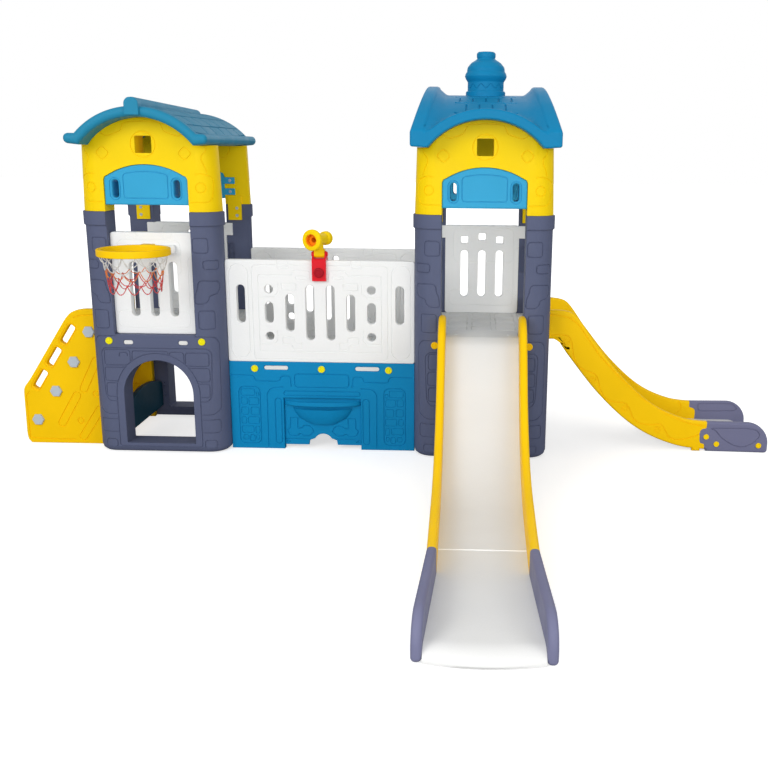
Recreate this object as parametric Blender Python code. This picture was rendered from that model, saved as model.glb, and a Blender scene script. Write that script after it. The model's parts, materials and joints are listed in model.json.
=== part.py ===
"""Indoor playhouse: two roofed towers, a bridge, two slides, a climber, a hoop and a toy telescope."""

import math

import bmesh
import bpy

# Gap between pieces, and how far a cutter runs past what it cuts
GAP = 0.0003
BIG = 0.05

# Sides of round pins and their holes, sides of hexagonal bolts, and steps along the roof's arc
ROUND_STEPS = 12
HEX_SIDES = 6
ROOF_STEPS = 16
HOOP_STEPS = 24

# Towers
TOWER_SPACING = 1.636
TOWER_HALF = 0.34
TOWER_DEPTH = 0.82
WALL_DEPTH = 0.125
CORNER_RADIUS = 0.10
FOOT_ROUNDING = 0.03
DOOR_HALF = 0.177
DOOR_SILL = 0.05
DOOR_SPRING = 0.309
OPENING_HALF = 0.205
BEAM_TOP = 0.617
COLLAR_BOTTOM = 1.156
COLLAR_TOP = 1.226
COLLAR_PROUD = 0.008

# Tower decks and the tabs that hook through the beams
DECK_INSET = 0.005
DECK_TOP = 0.635
DECK_BOTTOM = 0.566
DECK_TONGUE_Y = 0.08
TAB_X = 0.1385
TAB_WIDTH = 0.048
TAB_HEIGHT = 0.022
TAB_SETBACK = 0.004

# Gables and visors
GABLE_TOP_HALF = 0.33
EAVE_Z = 1.546
EAVE_INNER_X = 0.27
ROOF_RADIUS = 0.347
ROOF_CENTRE_Z = 1.323
ARCH_SHOULDER_X = 0.185
ARCH_SHOULDER_Z = 1.40
ARCH_TOP = 1.452
ARCH_CORNER = 0.022
ARCH_BEND = 0.3
WINDOW_SIZE = 0.08
WINDOW_Z = 1.5445
TONGUE_X = 0.258
TONGUE_WIDTH = 0.075
TONGUE_BOTTOM = 1.14
TONGUE_TOP = 1.27
TONGUE_THICKNESS = 0.010
VISOR_BOTTOM = 1.258
VISOR_FRONT = 0.004
VISOR_BACK = 0.130
VISOR_HOLE_X = 0.15
VISOR_HOLE_Z = 1.335
VISOR_HOLE_WIDTH = 0.03
VISOR_HOLE_HEIGHT = 0.085
VISOR_TAB_OVERLAP = 0.057
VISOR_TAB_HEIGHT = 0.035
VISOR_TAB_THICKNESS = 0.008
VISOR_TAB_ROOT = 0.02
VISOR_TAB_LEVELS = (1.295, 1.355)

# Roofs
ROOF_THICKNESS = 0.048
ROOF_ROUNDING = 0.012
ROOF_HALF = 0.34
ROOF_FRONT_OVERHANG = 0.12
ROOF_BACK_OVERHANG = 0.10
RIDGE_WIDTH = 0.068
RIDGE_ROUNDING = 0.008
RIDGE_FRONT_Z = 1.757
RIDGE_BACK_Z = 1.738
RIDGE_BLOCK_BOTTOM = 1.676
RIDGE_BLOCK_REACH = 0.015
RIDGE_BLOCK_DEPTH = 0.05
WING_HALF = 0.352
WING_EAVE_TOP = 1.61
WING_PEAK_Z = 1.842
WING_PEAK_X = 0.289
WING_RIM = 0.055
WING_STEP = 0.008
WING_ROWS = 16
WING_RADIUS = 0.744
SADDLE_HALF = 0.194
SADDLE_Z = 1.80
PEDESTAL_RADIUS = 0.10
PEDESTAL_TOP = 1.82

# Turned finial, as radius and height above the pedestal
FINIAL_PROFILE = (
    (0.091, 0.0),
    (0.091, 0.045),
    (0.100, 0.058),
    (0.106, 0.072),
    (0.102, 0.086),
    (0.095, 0.095),
    (0.095, 0.105),
    (0.092, 0.117),
    (0.075, 0.137),
    (0.053, 0.151),
    (0.044, 0.158),
    (0.0475, 0.165),
    (0.0475, 0.183),
    (0.040, 0.190),
)

# Railing panels of the towers
FENCE_TOP = 1.125
FENCE_THICKNESS = 0.045
FENCE_FRONT_Y = 0.03
FENCE_CORNER = 0.008
FENCE_SLOT_PITCH = 0.098
FENCE_SLOT_WIDTH = 0.0415
FRONT_SLOT_BOTTOM = 0.706
FRONT_SLOT_TOP = 0.979
BACK_SLOT_BOTTOM = 0.726
BACK_SLOT_TOP = 0.988
BACK_FENCE_INSET = 0.010
BACK_SQUARE = 0.04
BACK_SQUARE_Z = 1.045
BACK_MIDDLE_SQUARE_Z = 1.062
BACK_TAB_OVERLAP = 0.035
BACK_TAB_BOTTOM = 1.055
BACK_TAB_TOP = 1.123
BACK_TAB_ROOT = 0.03

# Low board inside the left tower
SIDE_BOARD_INSET = 0.098
SIDE_BOARD_X = TOWER_HALF - SIDE_BOARD_INSET
SIDE_BOARD_THICKNESS = 0.03
SIDE_BOARD_BOTTOM = 0.06
SIDE_BOARD_TOP = 0.25
SIDE_BOARD_RISE = 0.05
SIDE_BOARD_ROUNDING = 0.004

# Bridge
BRIDGE_Y = 0.10
BRIDGE_THICKNESS = 0.04
BASE_TOP = 0.466
BRIDGE_FENCE_TOP = 0.988
BRIDGE_CORNER = 0.006
BAY_HALF = 0.20
BAY_TOP = 0.275
BRIDGE_SLOT_X = 0.235
BRIDGE_SLOT_WIDTH = 0.124
BRIDGE_SLOT_Z = 0.434
BRIDGE_SLOT_HEIGHT = 0.022
BRIDGE_DECK_TOP = 0.49
PORT_WIDTH = 0.043
# Each row of ports: distance from the middle, bottom and top
BRIDGE_PORTS = (
    (0.052, 0.58, 0.862),
    (0.155, 0.625, 0.816),
    (0.26, 0.667, 0.775),
    (0.403, 0.666, 0.862),
)
ROUND_PORT_X = 0.26
ROUND_PORT_LEVELS = (0.60, 0.84)
SCREW_HOLE_RADIUS = 0.017
SCREW_Z = 0.93
CAP_RADIUS = 0.018
CAP_PROUD = 0.006
CAP_STEM_RADIUS = 0.008
CAP_Z = 0.43
CAP_INSET = 0.1327

# Basin in the bay under the bridge
BASIN_Y = 0.115
BASIN_THICKNESS = 0.015
BASIN_BOTTOM = 0.02
BASIN_RIM_BOTTOM = 0.238
BASIN_RIM_TOP = 0.262
BASIN_REACH = 0.065
BASIN_WALL = 0.012
BASIN_FLOOR = 0.193
BASIN_FLOOR_HALF = 0.09
BASIN_FLOOR_REACH = 0.026
# Outside of the scoop below the rim: half width, reach and height of each ring
BASIN_SCOOP = [
    (0.160, 0.052, 0.228),
    (0.148, 0.048, 0.199),
    (0.126, 0.041, 0.167),
    (0.070, 0.026, 0.135),
]
BASIN_CUTOUT_HALF = 0.075
BASIN_CUTOUT_NECK = 0.07
BASIN_CUTOUT_BEND = 0.045
BASIN_CUTOUT_TOP = 0.08
BASIN_CUTOUT_RADIUS = 0.05

# Climber
CLIMBER_THICKNESS = 0.04
CLIMBER_TUCK = 0.085
CLIMBER_TUCK_TOP = 0.54
# Outer edge of a climber panel, as distance out from the tower's side and height
CLIMBER_EDGE = (
    (0.0, 0.721),
    (0.078, 0.721),
    (0.132, 0.708),
    (0.166, 0.673),
    (0.384, 0.340),
    (0.414, 0.305),
    (0.419, 0.277),
    (0.422, 0.045),
    (0.416, 0.018),
    (0.400, 0.0),
)
# Tread bolts, as distance out from the tower's side and height
CLIMBER_BOLTS = (
    (0.351, 0.130),
    (0.243, 0.286),
    (0.137, 0.444),
    (0.046, 0.604),
)
CLIMBER_SLOTS = (
    (0.324, 0.346),
    (0.242, 0.468),
    (0.160, 0.588),
)
CLIMBER_SLOT_LENGTH = 0.11
CLIMBER_SLOT_WIDTH = 0.035
CLIMBER_SLOT_CORNER = 0.009
CLIMBER_SLOPE = 56.8
TREAD_DEPTH = 0.09
TREAD_HEIGHT = 0.036
TREAD_CORNER = 0.012
HEX_ACROSS = 0.055
HEX_HEIGHT = 0.012
HEX_CHAMFER = 0.0035
BOLT_RADIUS = 0.008

# Slides. Each path is the top edge of the side rails, as distance out and height
RAIL_THICKNESS = 0.036
RAIL_HEIGHT = 0.150
RAIL_STAND = 0.10
RAIL_ROUNDING = 0.012
BED_THICKNESS = 0.022
BED_BOW_LENGTH = 0.15
FOOT_NOSE = 0.11
FOOT_CORNER = 0.014
LIP_NOSE = 0.08
LIP_CLEARANCE = 0.002
LIP_TURN = 80
LIP_STEPS = 4
PATH_STEPS = 15
PATH_MARGIN = 0.004

FRONT_SLIDE_JOINT = 1.45
FRONT_SLIDE_FOOT_END = 1.985
FRONT_BED_JOINT = 1.265
FRONT_SLIDE_LIP = 2.01
FRONT_SLIDE_TOP_HALF = 0.2135
FRONT_SLIDE_JOINT_HALF = 0.203
FRONT_SLIDE_TOE_HALF = 0.229
FRONT_SLIDE_PATH = (
    (0.08, 0.740),
    (0.18, 0.700),
    (0.26, 0.620),
    (0.42, 0.430),
    (0.62, 0.280),
    (0.85, 0.195),
    (1.15, 0.165),
    (1.45, 0.152),
    (2.01, 0.148),
)

SIDE_SLIDE_JOINT = 0.85
SIDE_SLIDE_FOOT_END = 1.166
SIDE_SLIDE_LIP = 1.15
SIDE_SLIDE_HALF = 0.225
SIDE_SLIDE_TOE_HALF = 0.238
SIDE_RAIL_TONGUE = 0.10
SIDE_BED_BOW = 0.02
SIDE_SLIDE_PATH = (
    (0.0, 0.738),
    (0.07, 0.738),
    (0.14, 0.713),
    (0.237, 0.584),
    (0.386, 0.402),
    (0.552, 0.254),
    (0.714, 0.179),
    (0.85, 0.160),
    (1.166, 0.154),
)
RAIL_TAB_START = 0.778
RAIL_TAB_LENGTH = 0.042

# Hoop
HOOP_Y = 0.22
HOOP_RADIUS = 0.168
HOOP_BORE = 0.150
HOOP_BOTTOM = 1.04
HOOP_TOP = 1.073
HOOP_ARM_HALF = 0.03
BRACKET_HALF = 0.125
BRACKET_BOTTOM = 1.023
BRACKET_TOP = 1.065
BRACKET_CORNER = 0.010
HOOP_ROUNDING = 0.004
NET_COLUMNS = 12
NET_TOP_RADIUS = 0.155
NET_BOTTOM_RADIUS = 0.115
NET_BOTTOM = 0.867
NET_ROWS = 5
NET_CORD = 0.0045

# Telescope on the bridge railing
CLAMP_HALF = 0.035
CLAMP_LEG = 0.0185
CLAMP_BOTTOM = 0.887
CLAMP_CHAMFER = 0.006
SADDLE_THICKNESS = 0.0097
PIN_Z = 1.018
PIN_RADIUS = 0.006
PIN_HEAD_RADIUS = 0.012
PIN_HEAD_HEIGHT = 0.006
EAR_RADIUS = 0.016
NECK_HALF = 0.026
NECK_RADIUS = 0.018
NECK_TOP = 1.043
KNOB_RADIUS = 0.025
KNOB_DEPTH = 0.012
KNOB_CHAMFER = 0.0037
SCREW_RADIUS = 0.010
TUBE_Z = 1.093
TUBE_YAW = 22.0
TUBE_HALF_LENGTH = 0.08
FRONT_BELL_RADIUS = 0.053
REAR_BELL_RADIUS = 0.035
TUBE_RADIUS = 0.028
TUBE_BORE = 0.017
FRONT_BORE = 0.031
BORE_STEP = 0.03
BELL_CHAMFER = 0.006
BELL_LENGTH = 0.022
BELL_END = 0.048
REAR_BELL_LENGTH = 0.038
LINER_THICKNESS = 0.004
TUBE_STEPS = 20
POST_RADIUS = 0.020

# Values worked out from the sizes above
LEFT_X = -TOWER_SPACING / 2
RIGHT_X = TOWER_SPACING / 2
TOWER_MIDDLE_Y = TOWER_DEPTH / 2
BRIDGE_HALF = RIGHT_X - TOWER_HALF - GAP
CAP_X = BRIDGE_HALF - CAP_INSET
BEAM_SEAT = BEAM_TOP + GAP
FENCE_HALF = OPENING_HALF - GAP
FINIAL_SEAT = PEDESTAL_TOP + GAP
X_MIN = LEFT_X - TOWER_HALF - max(out for out, height in CLIMBER_EDGE)
X_MAX = RIGHT_X + TOWER_HALF + SIDE_SLIDE_FOOT_END
Y_MIN = -FRONT_SLIDE_LIP
Y_MAX = TOWER_DEPTH + ROOF_BACK_OVERHANG

# Plastics: colour, roughness and metallic value
SLATE = ((0.125, 0.133, 0.205), 0.42, 0.0)
FOOT_GREY = ((0.195, 0.195, 0.345), 0.42, 0.0)
YELLOW = ((0.98, 0.63, 0.002), 0.38, 0.0)
WHITE = ((0.88, 0.89, 0.89), 0.40, 0.0)
CREAM = ((0.74, 0.72, 0.69), 0.42, 0.0)
SKY_BLUE = ((0.03, 0.34, 0.62), 0.38, 0.0)
BLUE = ((0.004, 0.24, 0.50), 0.40, 0.0)
NAVY = ((0.03, 0.04, 0.10), 0.45, 0.0)
RED = ((0.75, 0.012, 0.025), 0.35, 0.0)
ORANGE = ((0.95, 0.22, 0.005), 0.40, 0.0)
BOLT_GREY = ((0.45, 0.52, 0.60), 0.35, 0.0)
CORD_WHITE = ((0.80, 0.78, 0.74), 0.85, 0.0)


# Scene and objects


def clear_scene():
    for obj in list(bpy.data.objects):
        bpy.data.objects.remove(obj, do_unlink=True)


def new_object(name, mesh, parent):
    obj = bpy.data.objects.new(name, mesh)
    bpy.context.scene.collection.objects.link(obj)
    obj.parent = parent
    return obj


def new_empty(name, parent, location):
    empty = new_object(name, None, parent)
    empty.location = location
    return empty


def finish(obj, plastic):
    """Gives the object its own material and smooth shading with crisp edges."""
    colour, roughness, metallic = plastic
    material = bpy.data.materials.new(obj.name + "_plastic")
    material.use_nodes = True
    shader = material.node_tree.nodes["Principled BSDF"]
    shader.inputs["Base Color"].default_value = (*colour, 1.0)
    shader.inputs["Roughness"].default_value = roughness
    shader.inputs["Metallic"].default_value = metallic
    obj.data.materials.append(material)
    obj.data.shade_smooth()
    obj.data.set_sharp_from_angle(angle=math.radians(38))
    normals = obj.modifiers.new("Normals", "WEIGHTED_NORMAL")
    normals.keep_sharp = True
    return obj


def combine(target, operation, tool_mesh):
    """Adds a Boolean with a helper object that stays out of the render."""
    tool = new_object(target.name + "_" + operation.lower() + "_tool", tool_mesh, target)
    tool.hide_render = True
    tool.display_type = "WIRE"
    modifier = target.modifiers.new(operation.title(), "BOOLEAN")
    modifier.operation = operation
    modifier.solver = "EXACT"
    modifier.object = tool


# Outlines


def arc(centre_x, centre_y, radius, start, end, steps):
    """Points along an arc, from one angle in degrees to the other."""
    points = []
    for step in range(steps + 1):
        angle = math.radians(start + (end - start) * step / steps)
        points.append((centre_x + radius * math.cos(angle), centre_y + radius * math.sin(angle)))
    return points


def circle(centre_x, centre_y, radius, steps):
    return arc(centre_x, centre_y, radius, 0, 360, steps)[:-1]


def rectangle(left, bottom, right, top):
    return [(left, bottom), (right, bottom), (right, top), (left, top)]


def rounded(left, bottom, right, top, radius, steps=3):
    """A rectangle with rounded corners, or a slot when the radius is half its width."""
    points = arc(right - radius, bottom + radius, radius, -90, 0, steps)
    points += arc(right - radius, top - radius, radius, 0, 90, steps)
    points += arc(left + radius, top - radius, radius, 90, 180, steps)
    points += arc(left + radius, bottom + radius, radius, 180, 270, steps)
    return points


def upright_slot(middle, bottom, top, width):
    points = arc(middle, top - width / 2, width / 2, 0, 180, 5)
    return points + arc(middle, bottom + width / 2, width / 2, 180, 360, 5)


def turned_about(points, centre, degrees):
    """The points turned about a centre."""
    cos = math.cos(math.radians(degrees))
    sin = math.sin(math.radians(degrees))
    cx, cy = centre
    offsets = [(x - cx, y - cy) for x, y in points]
    return [(cx + x * cos - y * sin, cy + x * sin + y * cos) for x, y in offsets]


def wound(points, clockwise):
    """The loop in the wanted direction, without doubled points."""
    kept = [p for p, q in zip(points, points[1:] + points[:1]) if math.dist(p, q) > 1e-6]
    pairs = zip(kept, kept[1:] + kept[:1])
    area = sum(p[0] * q[1] - q[0] * p[1] for p, q in pairs)
    return kept[::-1] if (area < 0) != clockwise else kept


def smooth_path(knots, steps_per_metre):
    """Points on a smooth curve of height over distance that passes through the knots."""
    slopes = []
    for index, (out, height) in enumerate(knots):
        before = knots[max(index - 1, 0)]
        after = knots[min(index + 1, len(knots) - 1)]
        slopes.append((after[1] - before[1]) / (after[0] - before[0]))
    points = []
    for index in range(len(knots) - 1):
        (x0, z0), (x1, z1) = knots[index], knots[index + 1]
        span = x1 - x0
        steps = max(1, round(span * steps_per_metre))
        for step in range(steps):
            s = step / steps
            height = z0 * (2 * s**3 - 3 * s**2 + 1) + z1 * (3 * s**2 - 2 * s**3)
            height += span * slopes[index] * (s**3 - 2 * s**2 + s)
            height += span * slopes[index + 1] * (s**3 - s**2)
            points.append((x0 + span * s, height))
    return points + [knots[-1]]


def offset_path(points, distance):
    """The path moved down by a distance, square to itself."""
    moved = []
    for index, (x, z) in enumerate(points):
        x0, z0 = points[max(index - 1, 0)]
        x1, z1 = points[min(index + 1, len(points) - 1)]
        length = math.hypot(x1 - x0, z1 - z0)
        moved.append((x + (z1 - z0) / length * distance, z - (x1 - x0) / length * distance))
    return moved


def cut_path(points, start, end):
    """The stretch of a path between two distances out, with points set at both ends."""

    def height_at(out):
        for (x0, z0), (x1, z1) in zip(points, points[1:]):
            if x0 <= out <= x1:
                return z0 + (z1 - z0) * (out - x0) / (x1 - x0)
        return points[0][1] if out < points[0][0] else points[-1][1]

    inner = [(x, z) for x, z in points if start + PATH_MARGIN < x < end - PATH_MARGIN]
    return [(start, height_at(start))] + inner + [(end, height_at(end))]


# Meshes


def place(mesh, plane, low, high):
    """Turns a mesh made in local x, y and 0 to 1 depth into the wanted plane and depth range."""
    for vertex in mesh.verts:
        across, up, depth = vertex.co
        depth = low + depth
        if plane == "XZ":
            vertex.co = (across, depth, up)
        elif plane == "YZ":
            vertex.co = (depth, across, up)
        else:
            vertex.co = (across, up, depth)
    mesh.normal_update()
    bmesh.ops.recalc_face_normals(mesh, faces=mesh.faces)


def plate(name, plane, outline, holes, low, high, rounding=0.0, rounding_steps=0):
    """Closed mesh of a flat outline with holes, between two depths, its rims rounded."""
    curve = bpy.data.curves.new(name, "CURVE")
    curve.dimensions = "2D"
    curve.fill_mode = "BOTH"
    curve.extrude = (high - low) / 2 - rounding
    curve.bevel_depth = rounding
    curve.bevel_resolution = rounding_steps
    curve.offset = -rounding
    loops = [wound(outline, False)] + [wound(hole, True) for hole in holes]
    for loop in loops:
        spline = curve.splines.new("POLY")
        spline.points.add(len(loop) - 1)
        for point, (across, up) in zip(spline.points, loop):
            point.co = (across, up, 0.0, 1.0)
        spline.use_cyclic_u = True
    guide = new_object(name + "_guide", curve, None)
    graph = bpy.context.evaluated_depsgraph_get()
    mesh = bpy.data.meshes.new_from_object(guide.evaluated_get(graph))
    bpy.data.objects.remove(guide, do_unlink=True)
    shape = bmesh.new()
    shape.from_mesh(mesh)
    bmesh.ops.remove_doubles(shape, verts=shape.verts, dist=1e-6)
    caps = [face for face in shape.faces if len({round(v.co.z, 6) for v in face.verts}) == 1]
    inner_edges = [edge for edge in shape.edges if all(face in caps for face in edge.link_faces)]
    bmesh.ops.beautify_fill(shape, faces=caps, edges=inner_edges)
    bmesh.ops.translate(shape, verts=shape.verts, vec=(0.0, 0.0, (high - low) / 2))
    place(shape, plane, low, high)
    shape.to_mesh(mesh)
    shape.free()
    mesh.name = name
    return mesh


def bridged(name, loops, closed_ends=True):
    """Closed mesh through loops of equally many points, capped, or joined end to start."""
    shape = bmesh.new()
    rings = [[shape.verts.new(point) for point in loop] for loop in loops]
    pairs = list(zip(rings, rings[1:]))
    if not closed_ends:
        pairs.append((rings[-1], rings[0]))
    for lower, upper in pairs:
        for index in range(len(lower)):
            after = (index + 1) % len(lower)
            shape.faces.new((lower[index], lower[after], upper[after], upper[index]))
    if closed_ends:
        shape.faces.new(rings[0][::-1])
        shape.faces.new(rings[-1])
    shape.normal_update()
    bmesh.ops.recalc_face_normals(shape, faces=shape.faces)
    mesh = bpy.data.meshes.new(name)
    shape.to_mesh(mesh)
    shape.free()
    return mesh


def turned(name, profile, steps, axis, centre, bored=False):
    """A turned solid from radius and position along its axis; a bored one has a ring section."""
    loops = []
    for radius, along in profile:
        loop = []
        for across, up in circle(0.0, 0.0, radius, steps):
            if axis == "X":
                offset = (along, across, up)
            elif axis == "Y":
                offset = (across, along, up)
            else:
                offset = (across, up, along)
            loop.append(tuple(c + o for c, o in zip(centre, offset)))
        loops.append(loop)
    return bridged(name, loops, closed_ends=not bored)


def merged(name, meshes):
    """One mesh that holds several closed bodies."""
    shape = bmesh.new()
    for mesh in meshes:
        shape.from_mesh(mesh)
    mesh = bpy.data.meshes.new(name)
    shape.to_mesh(mesh)
    shape.free()
    return mesh


def box(name, low, high):
    outline = rectangle(low[0], low[1], high[0], high[1])
    return plate(name, "XY", outline, [], low[2], high[2])


# Towers


def wall_ring(half, grow, height):
    """Plan outline of a wall: flat inside, round outer corners, grown on all but the inside."""
    radius = CORNER_RADIUS + grow
    points = [(-half - grow, WALL_DEPTH)]
    points += arc(-half + CORNER_RADIUS, CORNER_RADIUS, radius, 180, 270, 5)
    points += arc(half - CORNER_RADIUS, CORNER_RADIUS, radius, 270, 360, 5)
    points += [(half + grow, WALL_DEPTH)]
    return [(x, y, height) for x, y in points]


def door_outline():
    points = [(-DOOR_HALF, DOOR_SILL), (DOOR_HALF, DOOR_SILL)]
    return points + arc(0.0, DOOR_SPRING, DOOR_HALF, 0, 180, 12)


def tab_slots(grow):
    slots = []
    for side in (-1, 1):
        left = side * TAB_X - TAB_WIDTH / 2 - grow
        right = side * TAB_X + TAB_WIDTH / 2 + grow
        slots.append(rectangle(left, DECK_BOTTOM - grow, right, DECK_BOTTOM + TAB_HEIGHT + grow))
    return slots


def build_wall(name, tower):
    rings = [
        wall_ring(TOWER_HALF, -FOOT_ROUNDING, 0.0),
        wall_ring(TOWER_HALF, -0.3 * FOOT_ROUNDING, 0.3 * FOOT_ROUNDING),
        wall_ring(TOWER_HALF, 0.0, FOOT_ROUNDING),
        wall_ring(TOWER_HALF, 0.0, COLLAR_BOTTOM),
        wall_ring(TOWER_HALF, COLLAR_PROUD, COLLAR_BOTTOM + COLLAR_PROUD / 2),
        wall_ring(TOWER_HALF, COLLAR_PROUD, COLLAR_TOP),
    ]
    wall = new_object(name, bridged(name, rings), tower)
    outline = [(-TOWER_HALF - BIG, -BIG), (TOWER_HALF + BIG, -BIG)]
    outline += [(TOWER_HALF + BIG, COLLAR_TOP + BIG), (OPENING_HALF, COLLAR_TOP + BIG)]
    outline += [(OPENING_HALF, BEAM_TOP), (-OPENING_HALF, BEAM_TOP)]
    outline += [(-OPENING_HALF, COLLAR_TOP + BIG), (-TOWER_HALF - BIG, COLLAR_TOP + BIG)]
    holes = [door_outline()] + tab_slots(GAP)
    tool = plate(name + "_outline", "XZ", outline, holes, -BIG, WALL_DEPTH + BIG)
    combine(wall, "INTERSECT", tool)
    return finish(wall, SLATE)


def eyebrow(half, grow):
    """The arched top of the gable's opening, from its right side over to its left."""
    shoulder_x = ARCH_SHOULDER_X + grow
    shoulder_z = ARCH_SHOULDER_Z + grow
    rise = ARCH_TOP + grow - shoulder_z
    radius = (shoulder_x**2 + rise**2) / (2 * rise)
    spread = math.degrees(math.asin(shoulder_x / radius))
    bend_x = half - (half - shoulder_x) * ARCH_BEND
    points = [(half, shoulder_z - ARCH_CORNER), (bend_x, shoulder_z - ARCH_CORNER * ARCH_BEND)]
    points += arc(0.0, ARCH_TOP + grow - radius, radius, 90 - spread, 90 + spread, 10)
    points += [(-x, z) for x, z in points[1::-1]]
    return points


def roof_arc(radius, half_width):
    """The barrel's arc from its right end over to its left, ending at a half width."""
    spread = math.degrees(math.asin(half_width / radius))
    return arc(0.0, ROOF_CENTRE_Z, radius, 90 - spread, 90 + spread, ROOF_STEPS)


def build_gable(name, tower, has_window):
    seat = COLLAR_TOP + GAP
    lean = (TOWER_HALF - GABLE_TOP_HALF) / (EAVE_Z - seat)
    top = ROOF_CENTRE_Z + ROOF_RADIUS + BIG
    rings = [
        wall_ring(TOWER_HALF + BIG * lean, 0.0, seat - BIG),
        wall_ring(TOWER_HALF - (top - seat) * lean, 0.0, top),
    ]
    gable = new_object(name, bridged(name, rings), tower)
    outline = [(-TOWER_HALF - BIG, seat), (-OPENING_HALF, seat)]
    outline += eyebrow(OPENING_HALF, 0.0)[::-1]
    outline += [(OPENING_HALF, seat), (TOWER_HALF + BIG, seat)]
    outline += [(TOWER_HALF + BIG, EAVE_Z - GAP)]
    outline += [(x, z - GAP) for x, z in roof_arc(ROOF_RADIUS, EAVE_INNER_X)]
    outline += [(-TOWER_HALF - BIG, EAVE_Z - GAP)]
    half = WINDOW_SIZE / 2
    window = rectangle(-half, WINDOW_Z - half, half, WINDOW_Z + half)
    holes = [window] if has_window else []
    tool = plate(name + "_outline", "XZ", outline, holes, -BIG, WALL_DEPTH + BIG)
    combine(gable, "INTERSECT", tool)
    combine(gable, "UNION", gable_tongues(name, seat))
    return finish(gable, YELLOW)


def gable_tongues(name, seat):
    """Two strips on the inside that hang down over the wall's posts."""
    inner = WALL_DEPTH + GAP
    buried = WALL_DEPTH - TONGUE_THICKNESS
    profile = [(inner, TONGUE_BOTTOM), (WALL_DEPTH + TONGUE_THICKNESS, TONGUE_BOTTOM)]
    profile += [(WALL_DEPTH + TONGUE_THICKNESS, TONGUE_TOP), (buried, TONGUE_TOP)]
    profile += [(buried, seat + GAP), (inner, seat + GAP)]
    strips = []
    for side in (-1, 1):
        left = side * TONGUE_X - TONGUE_WIDTH / 2
        strips.append(plate(name + "_strip", "YZ", profile, [], left, left + TONGUE_WIDTH))
    return merged(name + "_tongues", strips)


def build_visor(name, tower):
    half = OPENING_HALF - GAP
    outline = [(-half, VISOR_BOTTOM), (half, VISOR_BOTTOM)] + eyebrow(half, -GAP)
    holes = []
    for side in (-1, 1):
        low = VISOR_HOLE_Z - VISOR_HOLE_HEIGHT / 2
        holes.append(upright_slot(side * VISOR_HOLE_X, low, low + VISOR_HOLE_HEIGHT, VISOR_HOLE_WIDTH))
    body = plate(name, "XZ", outline, holes, VISOR_FRONT, VISOR_BACK)
    visor = new_object(name, body, tower)
    strips = []
    for level in VISOR_TAB_LEVELS:
        bottom = level - VISOR_TAB_HEIGHT / 2
        for side in (-1, 1):
            inner = side * (OPENING_HALF - VISOR_TAB_ROOT)
            outer = side * (OPENING_HALF + VISOR_TAB_OVERLAP)
            low = (min(inner, outer), WALL_DEPTH + GAP, bottom)
            high = (max(inner, outer), WALL_DEPTH + VISOR_TAB_THICKNESS, bottom + VISOR_TAB_HEIGHT)
            strips.append(box(name + "_tab", low, high))
    combine(visor, "UNION", merged(name + "_tabs", strips))
    return finish(visor, SKY_BLUE)


def build_deck(name, tower):
    inner = WALL_DEPTH + GAP
    half = TOWER_HALF - DECK_INSET
    low = (-half, inner, DECK_BOTTOM)
    high = (half, TOWER_DEPTH - inner, DECK_TOP)
    deck = new_object(name, box(name, low, high), tower)
    for number, slot in enumerate(tab_slots(0.0)):
        (left, bottom), (right, top) = slot[0], slot[2]
        tab_low = (left, TAB_SETBACK, bottom)
        tab_high = (right, TOWER_DEPTH - TAB_SETBACK, top)
        combine(deck, "UNION", box(f"{name}_tab_{number}", tab_low, tab_high))
    tongue_low = (-FENCE_HALF, DECK_TONGUE_Y, BEAM_SEAT)
    tongue_high = (FENCE_HALF, 2 * WALL_DEPTH, DECK_TOP)
    combine(deck, "UNION", box(name + "_tongue", tongue_low, tongue_high))
    return finish(deck, CREAM)


def build_front_fence(name, tower):
    outline = rounded(-FENCE_HALF, BEAM_SEAT, FENCE_HALF, FENCE_TOP, FENCE_CORNER, 1)
    holes = []
    for place_x in (-FENCE_SLOT_PITCH, 0.0, FENCE_SLOT_PITCH):
        holes.append(upright_slot(place_x, FRONT_SLOT_BOTTOM, FRONT_SLOT_TOP, FENCE_SLOT_WIDTH))
    back = FENCE_FRONT_Y + FENCE_THICKNESS
    mesh = plate(name, "XZ", outline, holes, FENCE_FRONT_Y, back)
    return finish(new_object(name, mesh, tower), WHITE)


def build_back_fence(name, tower):
    front = TOWER_DEPTH - WALL_DEPTH - BACK_FENCE_INSET
    outline = rounded(-FENCE_HALF, DECK_TOP + GAP, FENCE_HALF, FENCE_TOP, FENCE_CORNER, 1)
    holes = []
    for place_x in (-FENCE_SLOT_PITCH, 0.0, FENCE_SLOT_PITCH):
        holes.append(upright_slot(place_x, BACK_SLOT_BOTTOM, BACK_SLOT_TOP, FENCE_SLOT_WIDTH))
        square_z = BACK_SQUARE_Z if place_x else BACK_MIDDLE_SQUARE_Z
        half = BACK_SQUARE / 2
        holes.append(rectangle(place_x - half, square_z - half, place_x + half, square_z + half))
    mesh = plate(name, "XZ", outline, holes, front, front + FENCE_THICKNESS)
    fence = new_object(name, mesh, tower)
    tabs = []
    for side in (-1, 1):
        inner = side * (FENCE_HALF - BACK_TAB_ROOT)
        outer = side * (OPENING_HALF + BACK_TAB_OVERLAP)
        low = (min(inner, outer), front, BACK_TAB_BOTTOM)
        high = (max(inner, outer), TOWER_DEPTH - WALL_DEPTH - GAP, BACK_TAB_TOP)
        tabs.append(box(name + "_tab", low, high))
    combine(fence, "UNION", merged(name + "_tabs", tabs))
    return finish(fence, WHITE)


def roof_section(half, eave_top):
    """Cross-section of a barrel roof with short flat eaves."""
    outer = ROOF_RADIUS + ROOF_THICKNESS
    outer_x = math.sqrt(outer**2 - (eave_top - ROOF_CENTRE_Z) ** 2)
    section = [(half, EAVE_Z), (half, eave_top)]
    section += roof_arc(outer, outer_x)
    section += [(-half, eave_top), (-half, EAVE_Z)]
    section += roof_arc(ROOF_RADIUS, EAVE_INNER_X)[::-1]
    return section


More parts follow.
